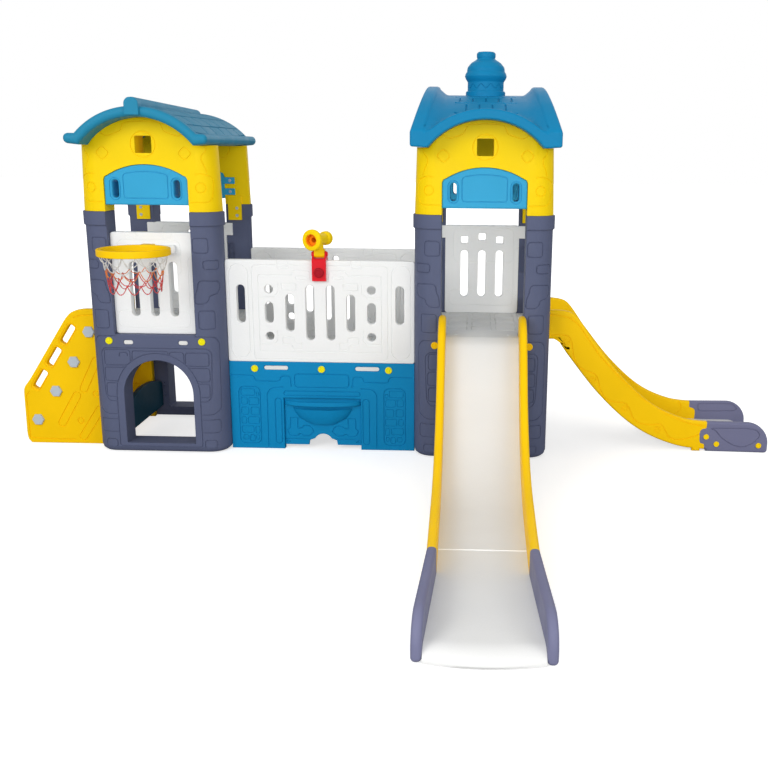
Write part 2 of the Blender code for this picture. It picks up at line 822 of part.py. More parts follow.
def build_left_roof(name, tower):
    front = -ROOF_FRONT_OVERHANG
    back = TOWER_DEPTH + ROOF_BACK_OVERHANG
    section = roof_section(ROOF_HALF, EAVE_Z + ROOF_THICKNESS)
    barrel = plate(name, "XZ", section, [], front, back, ROOF_ROUNDING, rounding_steps=1)
    roof = new_object(name, barrel, tower)
    inside = ROOF_CENTRE_Z + ROOF_RADIUS + ROOF_THICKNESS / 2
    block_front = front - RIDGE_BLOCK_REACH
    profile = [(block_front, RIDGE_BLOCK_BOTTOM), (front + RIDGE_BLOCK_DEPTH, RIDGE_BLOCK_BOTTOM)]
    profile += [(front + RIDGE_BLOCK_DEPTH, inside), (back - RIDGE_BLOCK_REACH, inside)]
    profile += [(back - RIDGE_BLOCK_REACH, RIDGE_BACK_Z), (block_front, RIDGE_FRONT_Z)]
    half = RIDGE_WIDTH / 2
    ridge = plate(name + "_ridge", "YZ", profile, [], -half, half, RIDGE_ROUNDING)
    combine(roof, "UNION", ridge)
    return finish(roof, SKY_BLUE)


def side_drop(y):
    """How far the right roof's side arches fall below their peak at a place along the depth."""
    reach = y - TOWER_MIDDLE_Y
    return WING_RADIUS - math.sqrt(WING_RADIUS**2 - reach**2)


def saddle_height(x, edge, y):
    """Height of the right roof, where its barrel and its raised side wings meet."""
    outer = ROOF_RADIUS + ROOF_THICKNESS
    barrel = ROOF_CENTRE_Z + math.sqrt(outer**2 - x**2) if x < outer else 0.0
    rim_start = edge - WING_RIM
    if x >= rim_start - WING_STEP / 2:
        wing = WING_PEAK_Z
    else:
        share = max(0.0, (x - SADDLE_HALF) / (rim_start - SADDLE_HALF))
        wing = SADDLE_Z + (WING_PEAK_Z - SADDLE_Z - WING_STEP) * share
    return max(barrel, WING_EAVE_TOP, wing - side_drop(y))


def build_right_roof(name, tower):
    front = -ROOF_FRONT_OVERHANG
    back = TOWER_DEPTH + ROOF_BACK_OVERHANG
    lean = (WING_HALF - WING_PEAK_X) / (WING_PEAK_Z - WING_EAVE_TOP)
    shape = bmesh.new()
    rows = []
    for row in range(WING_ROWS + 1):
        y = front + (back - front) * row / WING_ROWS
        edge_z = max(WING_EAVE_TOP, WING_PEAK_Z - side_drop(y))
        edge = WING_HALF - lean * (edge_z - WING_EAVE_TOP)
        rim = edge - WING_RIM
        stations = [0.0, SADDLE_HALF / 3, SADDLE_HALF * 2 / 3, SADDLE_HALF]
        stations += [(SADDLE_HALF + rim) / 2, rim - WING_STEP, rim, edge]
        stations = [-x for x in stations[:0:-1]] + stations
        rows.append([shape.verts.new((x, y, saddle_height(abs(x), edge, y))) for x in stations])
    for near, far in zip(rows, rows[1:]):
        for index in range(len(near) - 1):
            shape.faces.new((near[index], near[index + 1], far[index + 1], far[index]))
    under = roof_arc(ROOF_RADIUS, EAVE_INNER_X)[::-1]
    under = [(-WING_HALF, EAVE_Z)] + under + [(WING_HALF, EAVE_Z)]
    under_front = [shape.verts.new((x, front, z)) for x, z in under]
    under_back = [shape.verts.new((x, back, z)) for x, z in under]
    for index in range(len(under) - 1):
        strip = (under_front[index + 1], under_front[index], under_back[index], under_back[index + 1])
        shape.faces.new(strip)
    corners = {}
    for side in (-1, 1):
        for y in (front, back):
            corners[side, y] = shape.verts.new((side * WING_HALF, y, WING_EAVE_TOP))
    shape.faces.new(under_front + [corners[1, front]] + rows[0][::-1] + [corners[-1, front]])
    shape.faces.new(under_back[::-1] + [corners[-1, back]] + rows[-1] + [corners[1, back]])
    for side, end in ((-1, 0), (1, -1)):
        shape.faces.new((under_front[end], under_back[end], corners[side, back], corners[side, front]))
        rim_edge = [row[end] for row in rows]
        shape.faces.new([corners[side, front], corners[side, back]] + rim_edge[::-1])
    bmesh.ops.recalc_face_normals(shape, faces=shape.faces)
    mesh = bpy.data.meshes.new(name)
    shape.to_mesh(mesh)
    shape.free()
    roof = new_object(name, mesh, tower)
    buried = ROOF_CENTRE_Z + ROOF_RADIUS + ROOF_THICKNESS
    profile = [(PEDESTAL_RADIUS, buried), (PEDESTAL_RADIUS, PEDESTAL_TOP)]
    pedestal = turned(name + "_pedestal", profile, 24, "Z", (0.0, TOWER_MIDDLE_Y, 0.0))
    combine(roof, "UNION", pedestal)
    return finish(roof, SKY_BLUE)


def build_finial(name, tower):
    mesh = turned(name, FINIAL_PROFILE, 24, "Z", (0.0, TOWER_MIDDLE_Y, FINIAL_SEAT))
    return finish(new_object(name, mesh, tower), SKY_BLUE)


def build_side_board(name, tower):
    """Low board between the walls of the left tower, with an arched top."""
    near = WALL_DEPTH + GAP
    far = TOWER_DEPTH - WALL_DEPTH - GAP
    shoulder = SIDE_BOARD_TOP - SIDE_BOARD_RISE
    half = (far - near) / 2
    radius = (half**2 + SIDE_BOARD_RISE**2) / (2 * SIDE_BOARD_RISE)
    spread = math.degrees(math.asin(half / radius))
    outline = [(near, SIDE_BOARD_BOTTOM), (far, SIDE_BOARD_BOTTOM), (far, shoulder)]
    outline += arc(TOWER_MIDDLE_Y, SIDE_BOARD_TOP - radius, radius, 90 - spread, 90 + spread, 10)[1:-1]
    outline += [(near, shoulder)]
    low = -SIDE_BOARD_X
    mesh = plate(name, "YZ", outline, [], low, low + SIDE_BOARD_THICKNESS, SIDE_BOARD_ROUNDING)
    return finish(new_object(name, mesh, tower), NAVY)


def build_towers(root):
    towers = {}
    for side, middle in (("left", LEFT_X), ("right", RIGHT_X)):
        front = new_empty(side + "_tower", root, (middle, 0.0, 0.0))
        back = new_empty(side + "_tower_back", front, (0.0, TOWER_DEPTH, 0.0))
        back.rotation_euler = (0.0, 0.0, math.pi)
        for end, parent in (("front", front), ("back", back)):
            build_wall(f"{side}_{end}_wall", parent)
            build_gable(f"{side}_{end}_gable", parent, end == "front")
            build_visor(f"{side}_{end}_visor", parent)
        build_deck(side + "_deck", front)
        build_back_fence(side + "_back_fence", front)
        towers[side] = front
    build_front_fence("left_front_fence", towers["left"])
    build_side_board("left_side_board", towers["left"])
    build_left_roof("left_roof", towers["left"])
    build_right_roof("right_roof", towers["right"])
    build_finial("roof_finial", towers["right"])
    return towers


# Bridge


def bridge_base_outline():
    outline = [(-BRIDGE_HALF, 0.0), (-BAY_HALF, 0.0), (-BAY_HALF, BAY_TOP)]
    outline += [(BAY_HALF, BAY_TOP), (BAY_HALF, 0.0), (BRIDGE_HALF, 0.0)]
    return outline + [(BRIDGE_HALF, BASE_TOP), (-BRIDGE_HALF, BASE_TOP)]


def bridge_slots(grow):
    half = BRIDGE_SLOT_WIDTH / 2 + grow
    low = BRIDGE_SLOT_Z - BRIDGE_SLOT_HEIGHT / 2 - grow
    high = BRIDGE_SLOT_Z + BRIDGE_SLOT_HEIGHT / 2 + grow
    middles = (-BRIDGE_SLOT_X, BRIDGE_SLOT_X)
    return [rectangle(middle - half, low, middle + half, high) for middle in middles]


def build_bridge_base(name, parent, capped):
    holes = bridge_slots(GAP)
    if capped:
        for place_x in (-CAP_X, 0.0, CAP_X):
            holes.append(circle(place_x, CAP_Z, CAP_STEM_RADIUS + GAP, ROUND_STEPS))
    back = BRIDGE_Y + BRIDGE_THICKNESS
    mesh = plate(name, "XZ", bridge_base_outline(), holes, BRIDGE_Y, back)
    return finish(new_object(name, mesh, parent), BLUE)


def build_bridge_fence(name, parent):
    seat = BASE_TOP + GAP
    outline = rounded(-BRIDGE_HALF, seat, BRIDGE_HALF, BRIDGE_FENCE_TOP, BRIDGE_CORNER, 1)
    holes = [circle(0.0, SCREW_Z, SCREW_HOLE_RADIUS, ROUND_STEPS)]
    for side in (-1, 1):
        for middle, bottom, top in BRIDGE_PORTS:
            holes.append(upright_slot(side * middle, bottom, top, PORT_WIDTH))
        for level in ROUND_PORT_LEVELS:
            holes.append(circle(side * ROUND_PORT_X, level, PORT_WIDTH / 2, ROUND_STEPS))
    back = BRIDGE_Y + BRIDGE_THICKNESS
    mesh = plate(name, "XZ", outline, holes, BRIDGE_Y, back)
    return finish(new_object(name, mesh, parent), WHITE)


def build_bridge_deck(name, parent):
    slab_front = BRIDGE_Y + BRIDGE_THICKNESS + GAP
    slab_bottom = BRIDGE_SLOT_Z - BRIDGE_SLOT_HEIGHT / 2
    low = (-BRIDGE_HALF, slab_front, slab_bottom)
    high = (BRIDGE_HALF, TOWER_DEPTH - slab_front, BRIDGE_DECK_TOP)
    deck = new_object(name, box(name, low, high), parent)
    strips = []
    for outline in bridge_slots(0.0):
        low = (outline[0][0], BRIDGE_Y + TAB_SETBACK, outline[0][1])
        high = (outline[2][0], TOWER_DEPTH - BRIDGE_Y - TAB_SETBACK, outline[2][1])
        strips.append(box(name + "_tab", low, high))
    combine(deck, "UNION", merged(name + "_tabs", strips))
    return finish(deck, CREAM)


def build_cap(name, parent, place_x):
    """Push-in cap with a stem through the base panel."""
    face = -BRIDGE_THICKNESS / 2 - CAP_PROUD
    seat = -BRIDGE_THICKNESS / 2 - GAP
    chamfer = CAP_PROUD / 2
    profile = [(CAP_RADIUS - chamfer, face), (CAP_RADIUS, face + chamfer), (CAP_RADIUS, seat)]
    profile += [(CAP_STEM_RADIUS, seat), (CAP_STEM_RADIUS, BRIDGE_THICKNESS / 2 - GAP)]
    centre = (place_x, BRIDGE_Y + BRIDGE_THICKNESS / 2, CAP_Z)
    mesh = turned(name, profile, ROUND_STEPS, "Y", centre)
    return finish(new_object(name, mesh, parent), YELLOW)


def bowl_loop(half, reach, y_back, z):
    """A half-moon outline in plan, flat at the back."""
    points = []
    for step in range(13):
        angle = math.pi * step / 12
        points.append((-half * math.cos(angle), y_back - reach * math.sin(angle), z))
    return points


def build_basin(name, parent):
    half = BAY_HALF - GAP
    back = BASIN_Y + BASIN_THICKNESS
    top = BAY_TOP - GAP
    cutout = [(BASIN_CUTOUT_HALF, BASIN_BOTTOM), (BASIN_CUTOUT_NECK, BASIN_CUTOUT_BEND)]
    cutout += arc(0.0, BASIN_CUTOUT_TOP - BASIN_CUTOUT_RADIUS, BASIN_CUTOUT_RADIUS, 30, 150, 6)
    cutout += [(-BASIN_CUTOUT_NECK, BASIN_CUTOUT_BEND), (-BASIN_CUTOUT_HALF, BASIN_BOTTOM)]
    outline = [(-half, top), (-half, BASIN_BOTTOM)] + cutout[::-1]
    outline += [(half, BASIN_BOTTOM), (half, top)]
    basin = new_object(name, plate(name, "XZ", outline, [], BASIN_Y, back), parent)
    bowl_back = back - BASIN_WALL / 2
    outside = [(half, BASIN_REACH, BASIN_RIM_TOP), (half, BASIN_REACH, BASIN_RIM_BOTTOM)]
    outside += BASIN_SCOOP
    bowl = bridged(name + "_bowl", [bowl_loop(*ring[:2], bowl_back, ring[2]) for ring in outside])
    combine(basin, "UNION", bowl)
    inner_half = half - BASIN_WALL
    inner_reach = BASIN_REACH - BASIN_WALL
    inside = [(inner_half, inner_reach, BASIN_RIM_TOP + BIG)]
    inside += [(inner_half, inner_reach, BASIN_RIM_BOTTOM)]
    inside += [(BASIN_FLOOR_HALF, BASIN_FLOOR_REACH, BASIN_FLOOR)]
    hollow_back = BASIN_Y - GAP
    hollow = bridged(name + "_hollow", [bowl_loop(*ring[:2], hollow_back, ring[2]) for ring in inside])
    combine(basin, "DIFFERENCE", hollow)
    return finish(basin, BLUE)


def build_bridge(root):
    back = new_empty("bridge_back", root, (0.0, TOWER_DEPTH, 0.0))
    back.rotation_euler = (0.0, 0.0, math.pi)
    build_bridge_base("bridge_front_base", root, True)
    build_bridge_base("bridge_back_base", back, False)
    build_bridge_fence("bridge_front_fence", root)
    build_bridge_fence("bridge_back_fence", back)
    build_bridge_deck("bridge_deck", root)
    build_basin("bridge_basin", root)
    for number, place_x in enumerate((-CAP_X, 0.0, CAP_X), start=1):
        build_cap(f"bridge_cap_{number}", root, place_x)


# Climber, in a frame whose X runs out to the left from the tower's side


def build_climber_panel(name, parent, front):
    outline = [(-point[0], point[1]) for point in CLIMBER_EDGE]
    outline = [(x if x else -GAP, z) for x, z in outline]
    outline += [(CLIMBER_TUCK, 0.0), (CLIMBER_TUCK, CLIMBER_TUCK_TOP), (-GAP, CLIMBER_TUCK_TOP)]
    holes = []
    for out, height in CLIMBER_SLOTS:
        left = -out - CLIMBER_SLOT_WIDTH / 2
        right = -out + CLIMBER_SLOT_WIDTH / 2
        low = height - CLIMBER_SLOT_LENGTH / 2
        slot = rounded(left, low, right, low + CLIMBER_SLOT_LENGTH, CLIMBER_SLOT_CORNER)
        holes.append(turned_about(slot, (-out, height), CLIMBER_SLOPE - 90))
    for out, height in CLIMBER_BOLTS:
        holes.append(circle(-out, height, BOLT_RADIUS + GAP, HEX_SIDES))
    mesh = plate(name, "XZ", outline, holes, front, front + CLIMBER_THICKNESS)
    return finish(new_object(name, mesh, parent), YELLOW)


def build_tread(name, parent, bolt, near, far):
    out, height = bolt
    half = TREAD_DEPTH / 2
    low = height - TREAD_HEIGHT / 2
    outline = rounded(-out - half, low, -out + half, low + TREAD_HEIGHT, TREAD_CORNER, 2)
    hole = circle(-out, height, BOLT_RADIUS + GAP, HEX_SIDES)
    mesh = plate(name, "XZ", outline, [hole], near, far)
    return finish(new_object(name, mesh, parent), YELLOW)


def build_tie_bolt(name, parent, bolt, near, far):
    """Long bolt with a hexagonal head at the near panel and a like nut at the far one."""
    out, height = bolt
    across = HEX_ACROSS / math.sqrt(3)
    loops = []
    sections = (
        (across - HEX_CHAMFER, near - GAP - HEX_HEIGHT),
        (across, near - GAP - HEX_HEIGHT + HEX_CHAMFER),
        (across, near - GAP),
        (BOLT_RADIUS, near - GAP),
        (BOLT_RADIUS, far + GAP),
        (across, far + GAP),
        (across, far + GAP + HEX_HEIGHT),
    )
    for radius, y in sections:
        loops.append([(-out + x, y, height + z) for x, z in circle(0.0, 0.0, radius, HEX_SIDES)])
    return finish(new_object(name, bridged(name, loops), parent), BOLT_GREY)


def build_climber(tower):
    climber = new_empty("climber", tower, (-TOWER_HALF, 0.0, 0.0))
    near = WALL_DEPTH + GAP
    far = TOWER_DEPTH - WALL_DEPTH - GAP
    build_climber_panel("climber_near_panel", climber, near)
    build_climber_panel("climber_far_panel", climber, far - CLIMBER_THICKNESS)
    inner_near = near + CLIMBER_THICKNESS + GAP
    inner_far = far - CLIMBER_THICKNESS - GAP
    for number, bolt in enumerate(CLIMBER_BOLTS, start=1):
        build_tread(f"climber_tread_{number}", climber, bolt, inner_near, inner_far)
        build_tie_bolt(f"climber_bolt_{number}", climber, bolt, near, far)


# Slides, each in a frame whose X runs out along the slide and Y across it


def shear(mesh, shift_at):
    """Moves each point across the slide by an amount that depends on its distance out."""
    for vertex in mesh.vertices:
        vertex.co.y += shift_at(vertex.co.x)


def taper(knots):
    """A function that reads a straight-line table of distance out and value."""

    def value_at(out):
        for (x0, v0), (x1, v1) in zip(knots, knots[1:]):
            if out <= x1:
                return v0 + (v1 - v0) * (max(out, x0) - x0) / (x1 - x0)
        return knots[-1][1]

    return value_at


def build_rail(name, parent, side, path, half_at, joint, tongue, ground_tab):
    start = GAP
    top = cut_path(path, start, joint - GAP)
    bottom = cut_path(offset_path(path, RAIL_HEIGHT), start, joint - GAP)[::-1]
    if ground_tab:
        tab_end = RAIL_TAB_START + RAIL_TAB_LENGTH
        before = [point for point in bottom if point[0] > tab_end]
        after = [point for point in bottom if point[0] < RAIL_TAB_START]
        tab_top = before[-1][1]
        tab = [(tab_end, tab_top), (tab_end, 0.0), (RAIL_TAB_START, 0.0), (RAIL_TAB_START, tab_top)]
        bottom = before + tab + after
    outline = top + bottom
    if tongue:
        seat = DECK_TOP + GAP
        outline = [(-tongue, top[0][1])] + outline + [(start, seat), (-tongue, seat)]
    low = -RAIL_THICKNESS / 2
    mesh = plate(name, "XZ", outline, [], low, -low, RAIL_ROUNDING)
    shear(mesh, lambda out: side * (half_at(out) - RAIL_THICKNESS / 2))
    return finish(new_object(name, mesh, parent), YELLOW)


def build_foot(name, parent, side, half_at, joint, end, height):
    start = joint + GAP
    outline = [(start, 0.0)] + arc(end - FOOT_CORNER, FOOT_CORNER, FOOT_CORNER, -90, 0, 3)
    outline += arc(end - FOOT_NOSE, height - FOOT_NOSE, FOOT_NOSE, 0, 90, 6) + [(start, height)]
    low = -RAIL_THICKNESS / 2
    mesh = plate(name, "XZ", outline, [], low, -low, RAIL_ROUNDING)
    shear(mesh, lambda out: side * (half_at(out) - RAIL_THICKNESS / 2))
    return finish(new_object(name, mesh, parent), FOOT_GREY)


def build_bed(name, parent, path, half_at, start, end, bulge):
    """Riding surface: a slab between the rails, whose lower end may bow out and turn down."""
    straight_end = end - LIP_NOSE if bulge else end
    top = cut_path(offset_path(path, RAIL_STAND), start, straight_end)
    bottom = offset_path(top, BED_THICKNESS)
    bottom[0] = (start, bottom[0][1])
    bottom[-1] = (straight_end, bottom[-1][1])
    if bulge:
        lip_height = top[-1][1]
        for step in range(1, LIP_STEPS + 1):
            angle = math.radians(LIP_TURN) * step / LIP_STEPS
            x = straight_end + LIP_NOSE * math.sin(angle) / math.sin(math.radians(LIP_TURN))
            height = lip_height * math.cos(angle)
            top.append((x, height))
            bottom.append((x, max(LIP_CLEARANCE, height - BED_THICKNESS)))
    shares = (-1.0, -0.5, 0.0, 0.5, 1.0)
    sections = []
    for upper, lower in zip(top, bottom):
        section = []
        for (x, z), order in ((upper, shares), (lower, shares[::-1])):
            for share in order:
                near_end = max(0.0, (x - end) / BED_BOW_LENGTH + 1.0)
                bowed = x - bulge * near_end * share**2
                half = half_at(bowed) - RAIL_THICKNESS - GAP
                section.append((bowed, share * half, z))
        sections.append(section)
    return finish(new_object(name, bridged(name, sections), parent), CREAM)


def build_front_slide(tower):
    slide = new_empty("front_slide", tower, (0.0, 0.0, 0.0))
    slide.rotation_euler = (0.0, 0.0, -math.pi / 2)
    start_height = BEAM_SEAT + BED_THICKNESS + RAIL_STAND
    knots = ((-DECK_TONGUE_Y, start_height), (0.0, start_height)) + FRONT_SLIDE_PATH
    path = smooth_path(knots, PATH_STEPS)
    widths = ((0.0, FRONT_SLIDE_TOP_HALF), (FRONT_SLIDE_JOINT, FRONT_SLIDE_JOINT_HALF))
    widths += ((FRONT_SLIDE_FOOT_END, FRONT_SLIDE_TOE_HALF),)
    half_at = taper(widths)
    joint = FRONT_SLIDE_JOINT
    foot_height = FRONT_SLIDE_PATH[-2][1]
    for side, label in ((-1, "left"), (1, "right")):
        name = f"front_slide_{label}_rail"
        build_rail(name, slide, side, path, half_at, joint, 0.0, False)
        name = f"front_slide_{label}_foot"
        build_foot(name, slide, side, half_at, joint, FRONT_SLIDE_FOOT_END, foot_height)
    start = GAP - DECK_TONGUE_Y
    build_bed("front_slide_upper_bed", slide, path, half_at, start, FRONT_BED_JOINT - GAP, 0.0)
    bow = FRONT_SLIDE_LIP - FRONT_SLIDE_FOOT_END
    build_bed("front_slide_lower_bed", slide, path, half_at, FRONT_BED_JOINT, FRONT_SLIDE_LIP, bow)


def build_side_slide(tower):
    slide = new_empty("side_slide", tower, (TOWER_HALF, TOWER_MIDDLE_Y, 0.0))
    edge = -DECK_INSET
    knots = ((edge, SIDE_SLIDE_PATH[0][1]),) + SIDE_SLIDE_PATH
    path = smooth_path(knots, PATH_STEPS)
    joint = SIDE_SLIDE_JOINT
    half_at = taper(((joint, SIDE_SLIDE_HALF), (SIDE_SLIDE_FOOT_END, SIDE_SLIDE_TOE_HALF)))
    foot_height = SIDE_SLIDE_PATH[-2][1]
    for side, label in ((-1, "near"), (1, "far")):
        name = f"side_slide_{label}_rail"
        build_rail(name, slide, side, path, half_at, joint, SIDE_RAIL_TONGUE, True)
        name = f"side_slide_{label}_foot"
        build_foot(name, slide, side, half_at, joint, SIDE_SLIDE_FOOT_END, foot_height)
    build_bed("side_slide_bed", slide, path, half_at, edge + GAP, SIDE_SLIDE_LIP, SIDE_BED_BOW)


# Hoop


def build_hoop(tower):
    hoop = new_empty("hoop", tower, (0.0, -HOOP_Y, 0.0))
    half = BRACKET_HALF
    outline = rounded(-half, BRACKET_BOTTOM, half, BRACKET_TOP, BRACKET_CORNER, 2)
    back = HOOP_Y + FENCE_FRONT_Y - GAP
    mesh = plate("hoop_bracket", "XZ", outline, [], HOOP_Y, back, HOOP_ROUNDING)
    finish(new_object("hoop_bracket", mesh, hoop), WHITE)
    spread = math.degrees(math.asin(HOOP_ARM_HALF / HOOP_RADIUS))
    outline = arc(0.0, 0.0, HOOP_RADIUS, 90 + spread, 450 - spread, HOOP_STEPS)
    outline += [(HOOP_ARM_HALF, HOOP_Y - GAP), (-HOOP_ARM_HALF, HOOP_Y - GAP)]
    bore = circle(0.0, 0.0, HOOP_BORE, HOOP_STEPS)
    mesh = plate("hoop_ring", "XY", outline, [bore], HOOP_BOTTOM, HOOP_TOP, HOOP_ROUNDING)
    finish(new_object("hoop_ring", mesh, hoop), YELLOW)
    build_net("hoop_net", hoop)


def build_net(name, parent):
    """Knotted net: a lattice of diamonds on a cone, given its cord thickness by a Wireframe."""
    shape = bmesh.new()
    top = HOOP_BOTTOM - GAP - NET_CORD / 2
    rows = []
    for row in range(NET_ROWS + 1):
        share = row / NET_ROWS
        radius = NET_TOP_RADIUS + (NET_BOTTOM_RADIUS - NET_TOP_RADIUS) * share
        height = top + (NET_BOTTOM - top) * share
        ring = []
        for column in range(NET_COLUMNS):
            angle = 2 * math.pi * (column + 0.5 * (row % 2)) / NET_COLUMNS
            ring.append(shape.verts.new((radius * math.cos(angle), radius * math.sin(angle), height)))
        rows.append(ring)
    for column in range(NET_COLUMNS):
        after = (column + 1) % NET_COLUMNS
        shape.faces.new((rows[0][column], rows[1][column], rows[0][after]))
    for row in range(NET_ROWS - 1):
        for column in range(NET_COLUMNS):
            left = (column - 1 + row % 2) % NET_COLUMNS
            right = (column + row % 2) % NET_COLUMNS
            top_knot = rows[row][column]
            bottom_knot = rows[row + 2][column]
            shape.faces.new((top_knot, rows[row + 1][left], bottom_knot, rows[row + 1][right]))
    mesh = bpy.data.meshes.new(name)
    shape.to_mesh(mesh)
    shape.free()
    net = new_object(name, mesh, parent)
    modifier = net.modifiers.new("Cord", "WIREFRAME")
    modifier.thickness = NET_CORD
    modifier.use_boundary = True
    modifier.use_even_offset = True
    modifier.use_replace = True
    return finish(net, CORD_WHITE)


# Telescope, in a frame at the middle of the railing's thickness


def build_clamp(mount):
    inner = BRIDGE_THICKNESS / 2 + GAP
    outer = inner + CLAMP_LEG
    bottom = BRIDGE_FENCE_TOP + GAP
    top = bottom + SADDLE_THICKNESS
    chamfer = CLAMP_CHAMFER
    outline = [(-outer, CLAMP_BOTTOM), (-inner, CLAMP_BOTTOM), (-inner, bottom), (inner, bottom)]
    outline += [(inner, CLAMP_BOTTOM), (outer, CLAMP_BOTTOM), (outer, top - chamfer)]
    outline += [(outer - chamfer, top)] + arc(0.0, PIN_Z, EAR_RADIUS, 0, 180, 8)
    outline += [(-outer + chamfer, top), (-outer, top - chamfer)]
    pin_hole = circle(0.0, PIN_Z, PIN_RADIUS + GAP, ROUND_STEPS)
    half = CLAMP_HALF
    mesh = plate("telescope_clamp", "YZ", outline, [pin_hole], -half, half)
    clamp = new_object("telescope_clamp", mesh, mount)
    fork = NECK_HALF + GAP
    slot = box("fork", (-fork, -BIG, top), (fork, BIG, PIN_Z + BIG))
    bore = [(SCREW_RADIUS + GAP, -BIG), (SCREW_RADIUS + GAP, BIG)]
    drill = turned("drill", bore, ROUND_STEPS, "Y", (0.0, 0.0, SCREW_Z))
    combine(clamp, "DIFFERENCE", merged("clamp_cuts", [slot, drill]))
    finish(clamp, RED)

    face = -outer - GAP
    front = face - KNOB_DEPTH
    profile = [(KNOB_RADIUS - KNOB_CHAMFER, front), (KNOB_RADIUS, front + KNOB_CHAMFER)]
    profile += [(KNOB_RADIUS, face), (SCREW_RADIUS, face), (SCREW_RADIUS, outer)]
    mesh = turned("telescope_clamp_screw", profile, ROUND_STEPS, "Y", (0.0, 0.0, SCREW_Z))
    finish(new_object("telescope_clamp_screw", mesh, mount), RED)

    seat = CLAMP_HALF + GAP
    end = seat + PIN_HEAD_HEIGHT
    profile = [(PIN_HEAD_RADIUS, -end), (PIN_HEAD_RADIUS, -seat), (PIN_RADIUS, -seat)]
    profile += [(PIN_RADIUS, seat), (PIN_HEAD_RADIUS, seat), (PIN_HEAD_RADIUS, end)]
    mesh = turned("telescope_hinge_pin", profile, ROUND_STEPS, "X", (0.0, 0.0, PIN_Z))
    finish(new_object("telescope_hinge_pin", mesh, mount), RED)


def build_neck(tilt):
    shoulder = NECK_TOP - PIN_Z
    outline = arc(0.0, 0.0, NECK_RADIUS, 180, 360, 10)
    outline += [(NECK_RADIUS, shoulder), (-NECK_RADIUS, shoulder)]
    hole = circle(0.0, 0.0, PIN_RADIUS + GAP, ROUND_STEPS)
    mesh = plate("telescope_neck", "YZ", outline, [hole], -NECK_HALF, NECK_HALF)
    finish(new_object("telescope_neck", mesh, tilt), YELLOW)


def build_tube(swivel):
    """Tube with its bore stepped wider at the front, and the post that it turns on."""
    centre = (0.0, 0.0, TUBE_Z - NECK_TOP)
    front = -TUBE_HALF_LENGTH
    back = TUBE_HALF_LENGTH
    step = front + BORE_STEP
    seat = TUBE_BORE + GAP
    profile = [(FRONT_BORE, front), (FRONT_BELL_RADIUS - BELL_CHAMFER, front)]
    profile += [(FRONT_BELL_RADIUS, front + BELL_CHAMFER), (FRONT_BELL_RADIUS, front + BELL_LENGTH)]
    profile += [(TUBE_RADIUS, front + BELL_END), (TUBE_RADIUS, back - REAR_BELL_LENGTH)]
    profile += [(REAR_BELL_RADIUS, back - REAR_BELL_LENGTH + BELL_CHAMFER)]
    profile += [(REAR_BELL_RADIUS, back - BELL_CHAMFER), (REAR_BELL_RADIUS - BELL_CHAMFER, back)]
    profile += [(seat, back), (seat, step), (FRONT_BORE, step)]
    mesh = turned("telescope_tube", profile, TUBE_STEPS, "Y", centre, bored=True)
    tube = new_object("telescope_tube", mesh, swivel)
    tube.rotation_euler = (0.0, 0.0, -math.radians(TUBE_YAW))
    post_top = centre[2] - (seat + TUBE_RADIUS) / 2
    profile = [(POST_RADIUS, GAP), (POST_RADIUS, post_top)]
    post = turned("post", profile, TUBE_STEPS, "Z", (0.0, 0.0, 0.0))
    combine(tube, "UNION", post)
    finish(tube, YELLOW)

    inside = TUBE_BORE - LINER_THICKNESS
    wide = FRONT_BORE - GAP
    profile = [(TUBE_BORE, back), (TUBE_BORE, step - GAP), (wide, step - GAP)]
    profile += [(wide, front + BELL_CHAMFER), (wide - LINER_THICKNESS, front + BELL_CHAMFER)]
    profile += [(wide - LINER_THICKNESS, step - LINER_THICKNESS), (inside, step - LINER_THICKNESS)]
    profile += [(inside, back)]
    mesh = turned("telescope_liner", profile, TUBE_STEPS, "Y", centre, bored=True)
    liner = finish(new_object("telescope_liner", mesh, swivel), ORANGE)
    liner.rotation_euler = tube.rotation_euler


def build_telescope(root):
    rail_middle = BRIDGE_Y + BRIDGE_THICKNESS / 2
    mount = new_empty("telescope_mount", root, (0.0, rail_middle, 0.0))
    build_clamp(mount)
    tilt = new_empty("telescope_tilt_axis", mount, (0.0, 0.0, PIN_Z))
    build_neck(tilt)
    swivel = new_empty("telescope_swivel_axis", tilt, (0.0, 0.0, NECK_TOP - PIN_Z))
    build_tube(swivel)


def build_playhouse():
    clear_scene()
    centre = (-(X_MIN + X_MAX) / 2, -(Y_MIN + Y_MAX) / 2, 0.0)
    root = new_empty("playhouse", None, centre)
    towers = build_towers(root)
    build_bridge(root)
    build_climber(towers["left"])
    build_front_slide(towers["right"])
    build_side_slide(towers["right"])
    build_hoop(towers["left"])
    build_telescope(root)


build_playhouse()
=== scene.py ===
"""Playhouse with two towers, a bridge and two slides: its looks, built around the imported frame."""

import json
import math
import random

import bmesh
import bpy
from bpy.props import FloatProperty, FloatVectorProperty, IntProperty, PointerProperty
from mathutils import Matrix, Vector

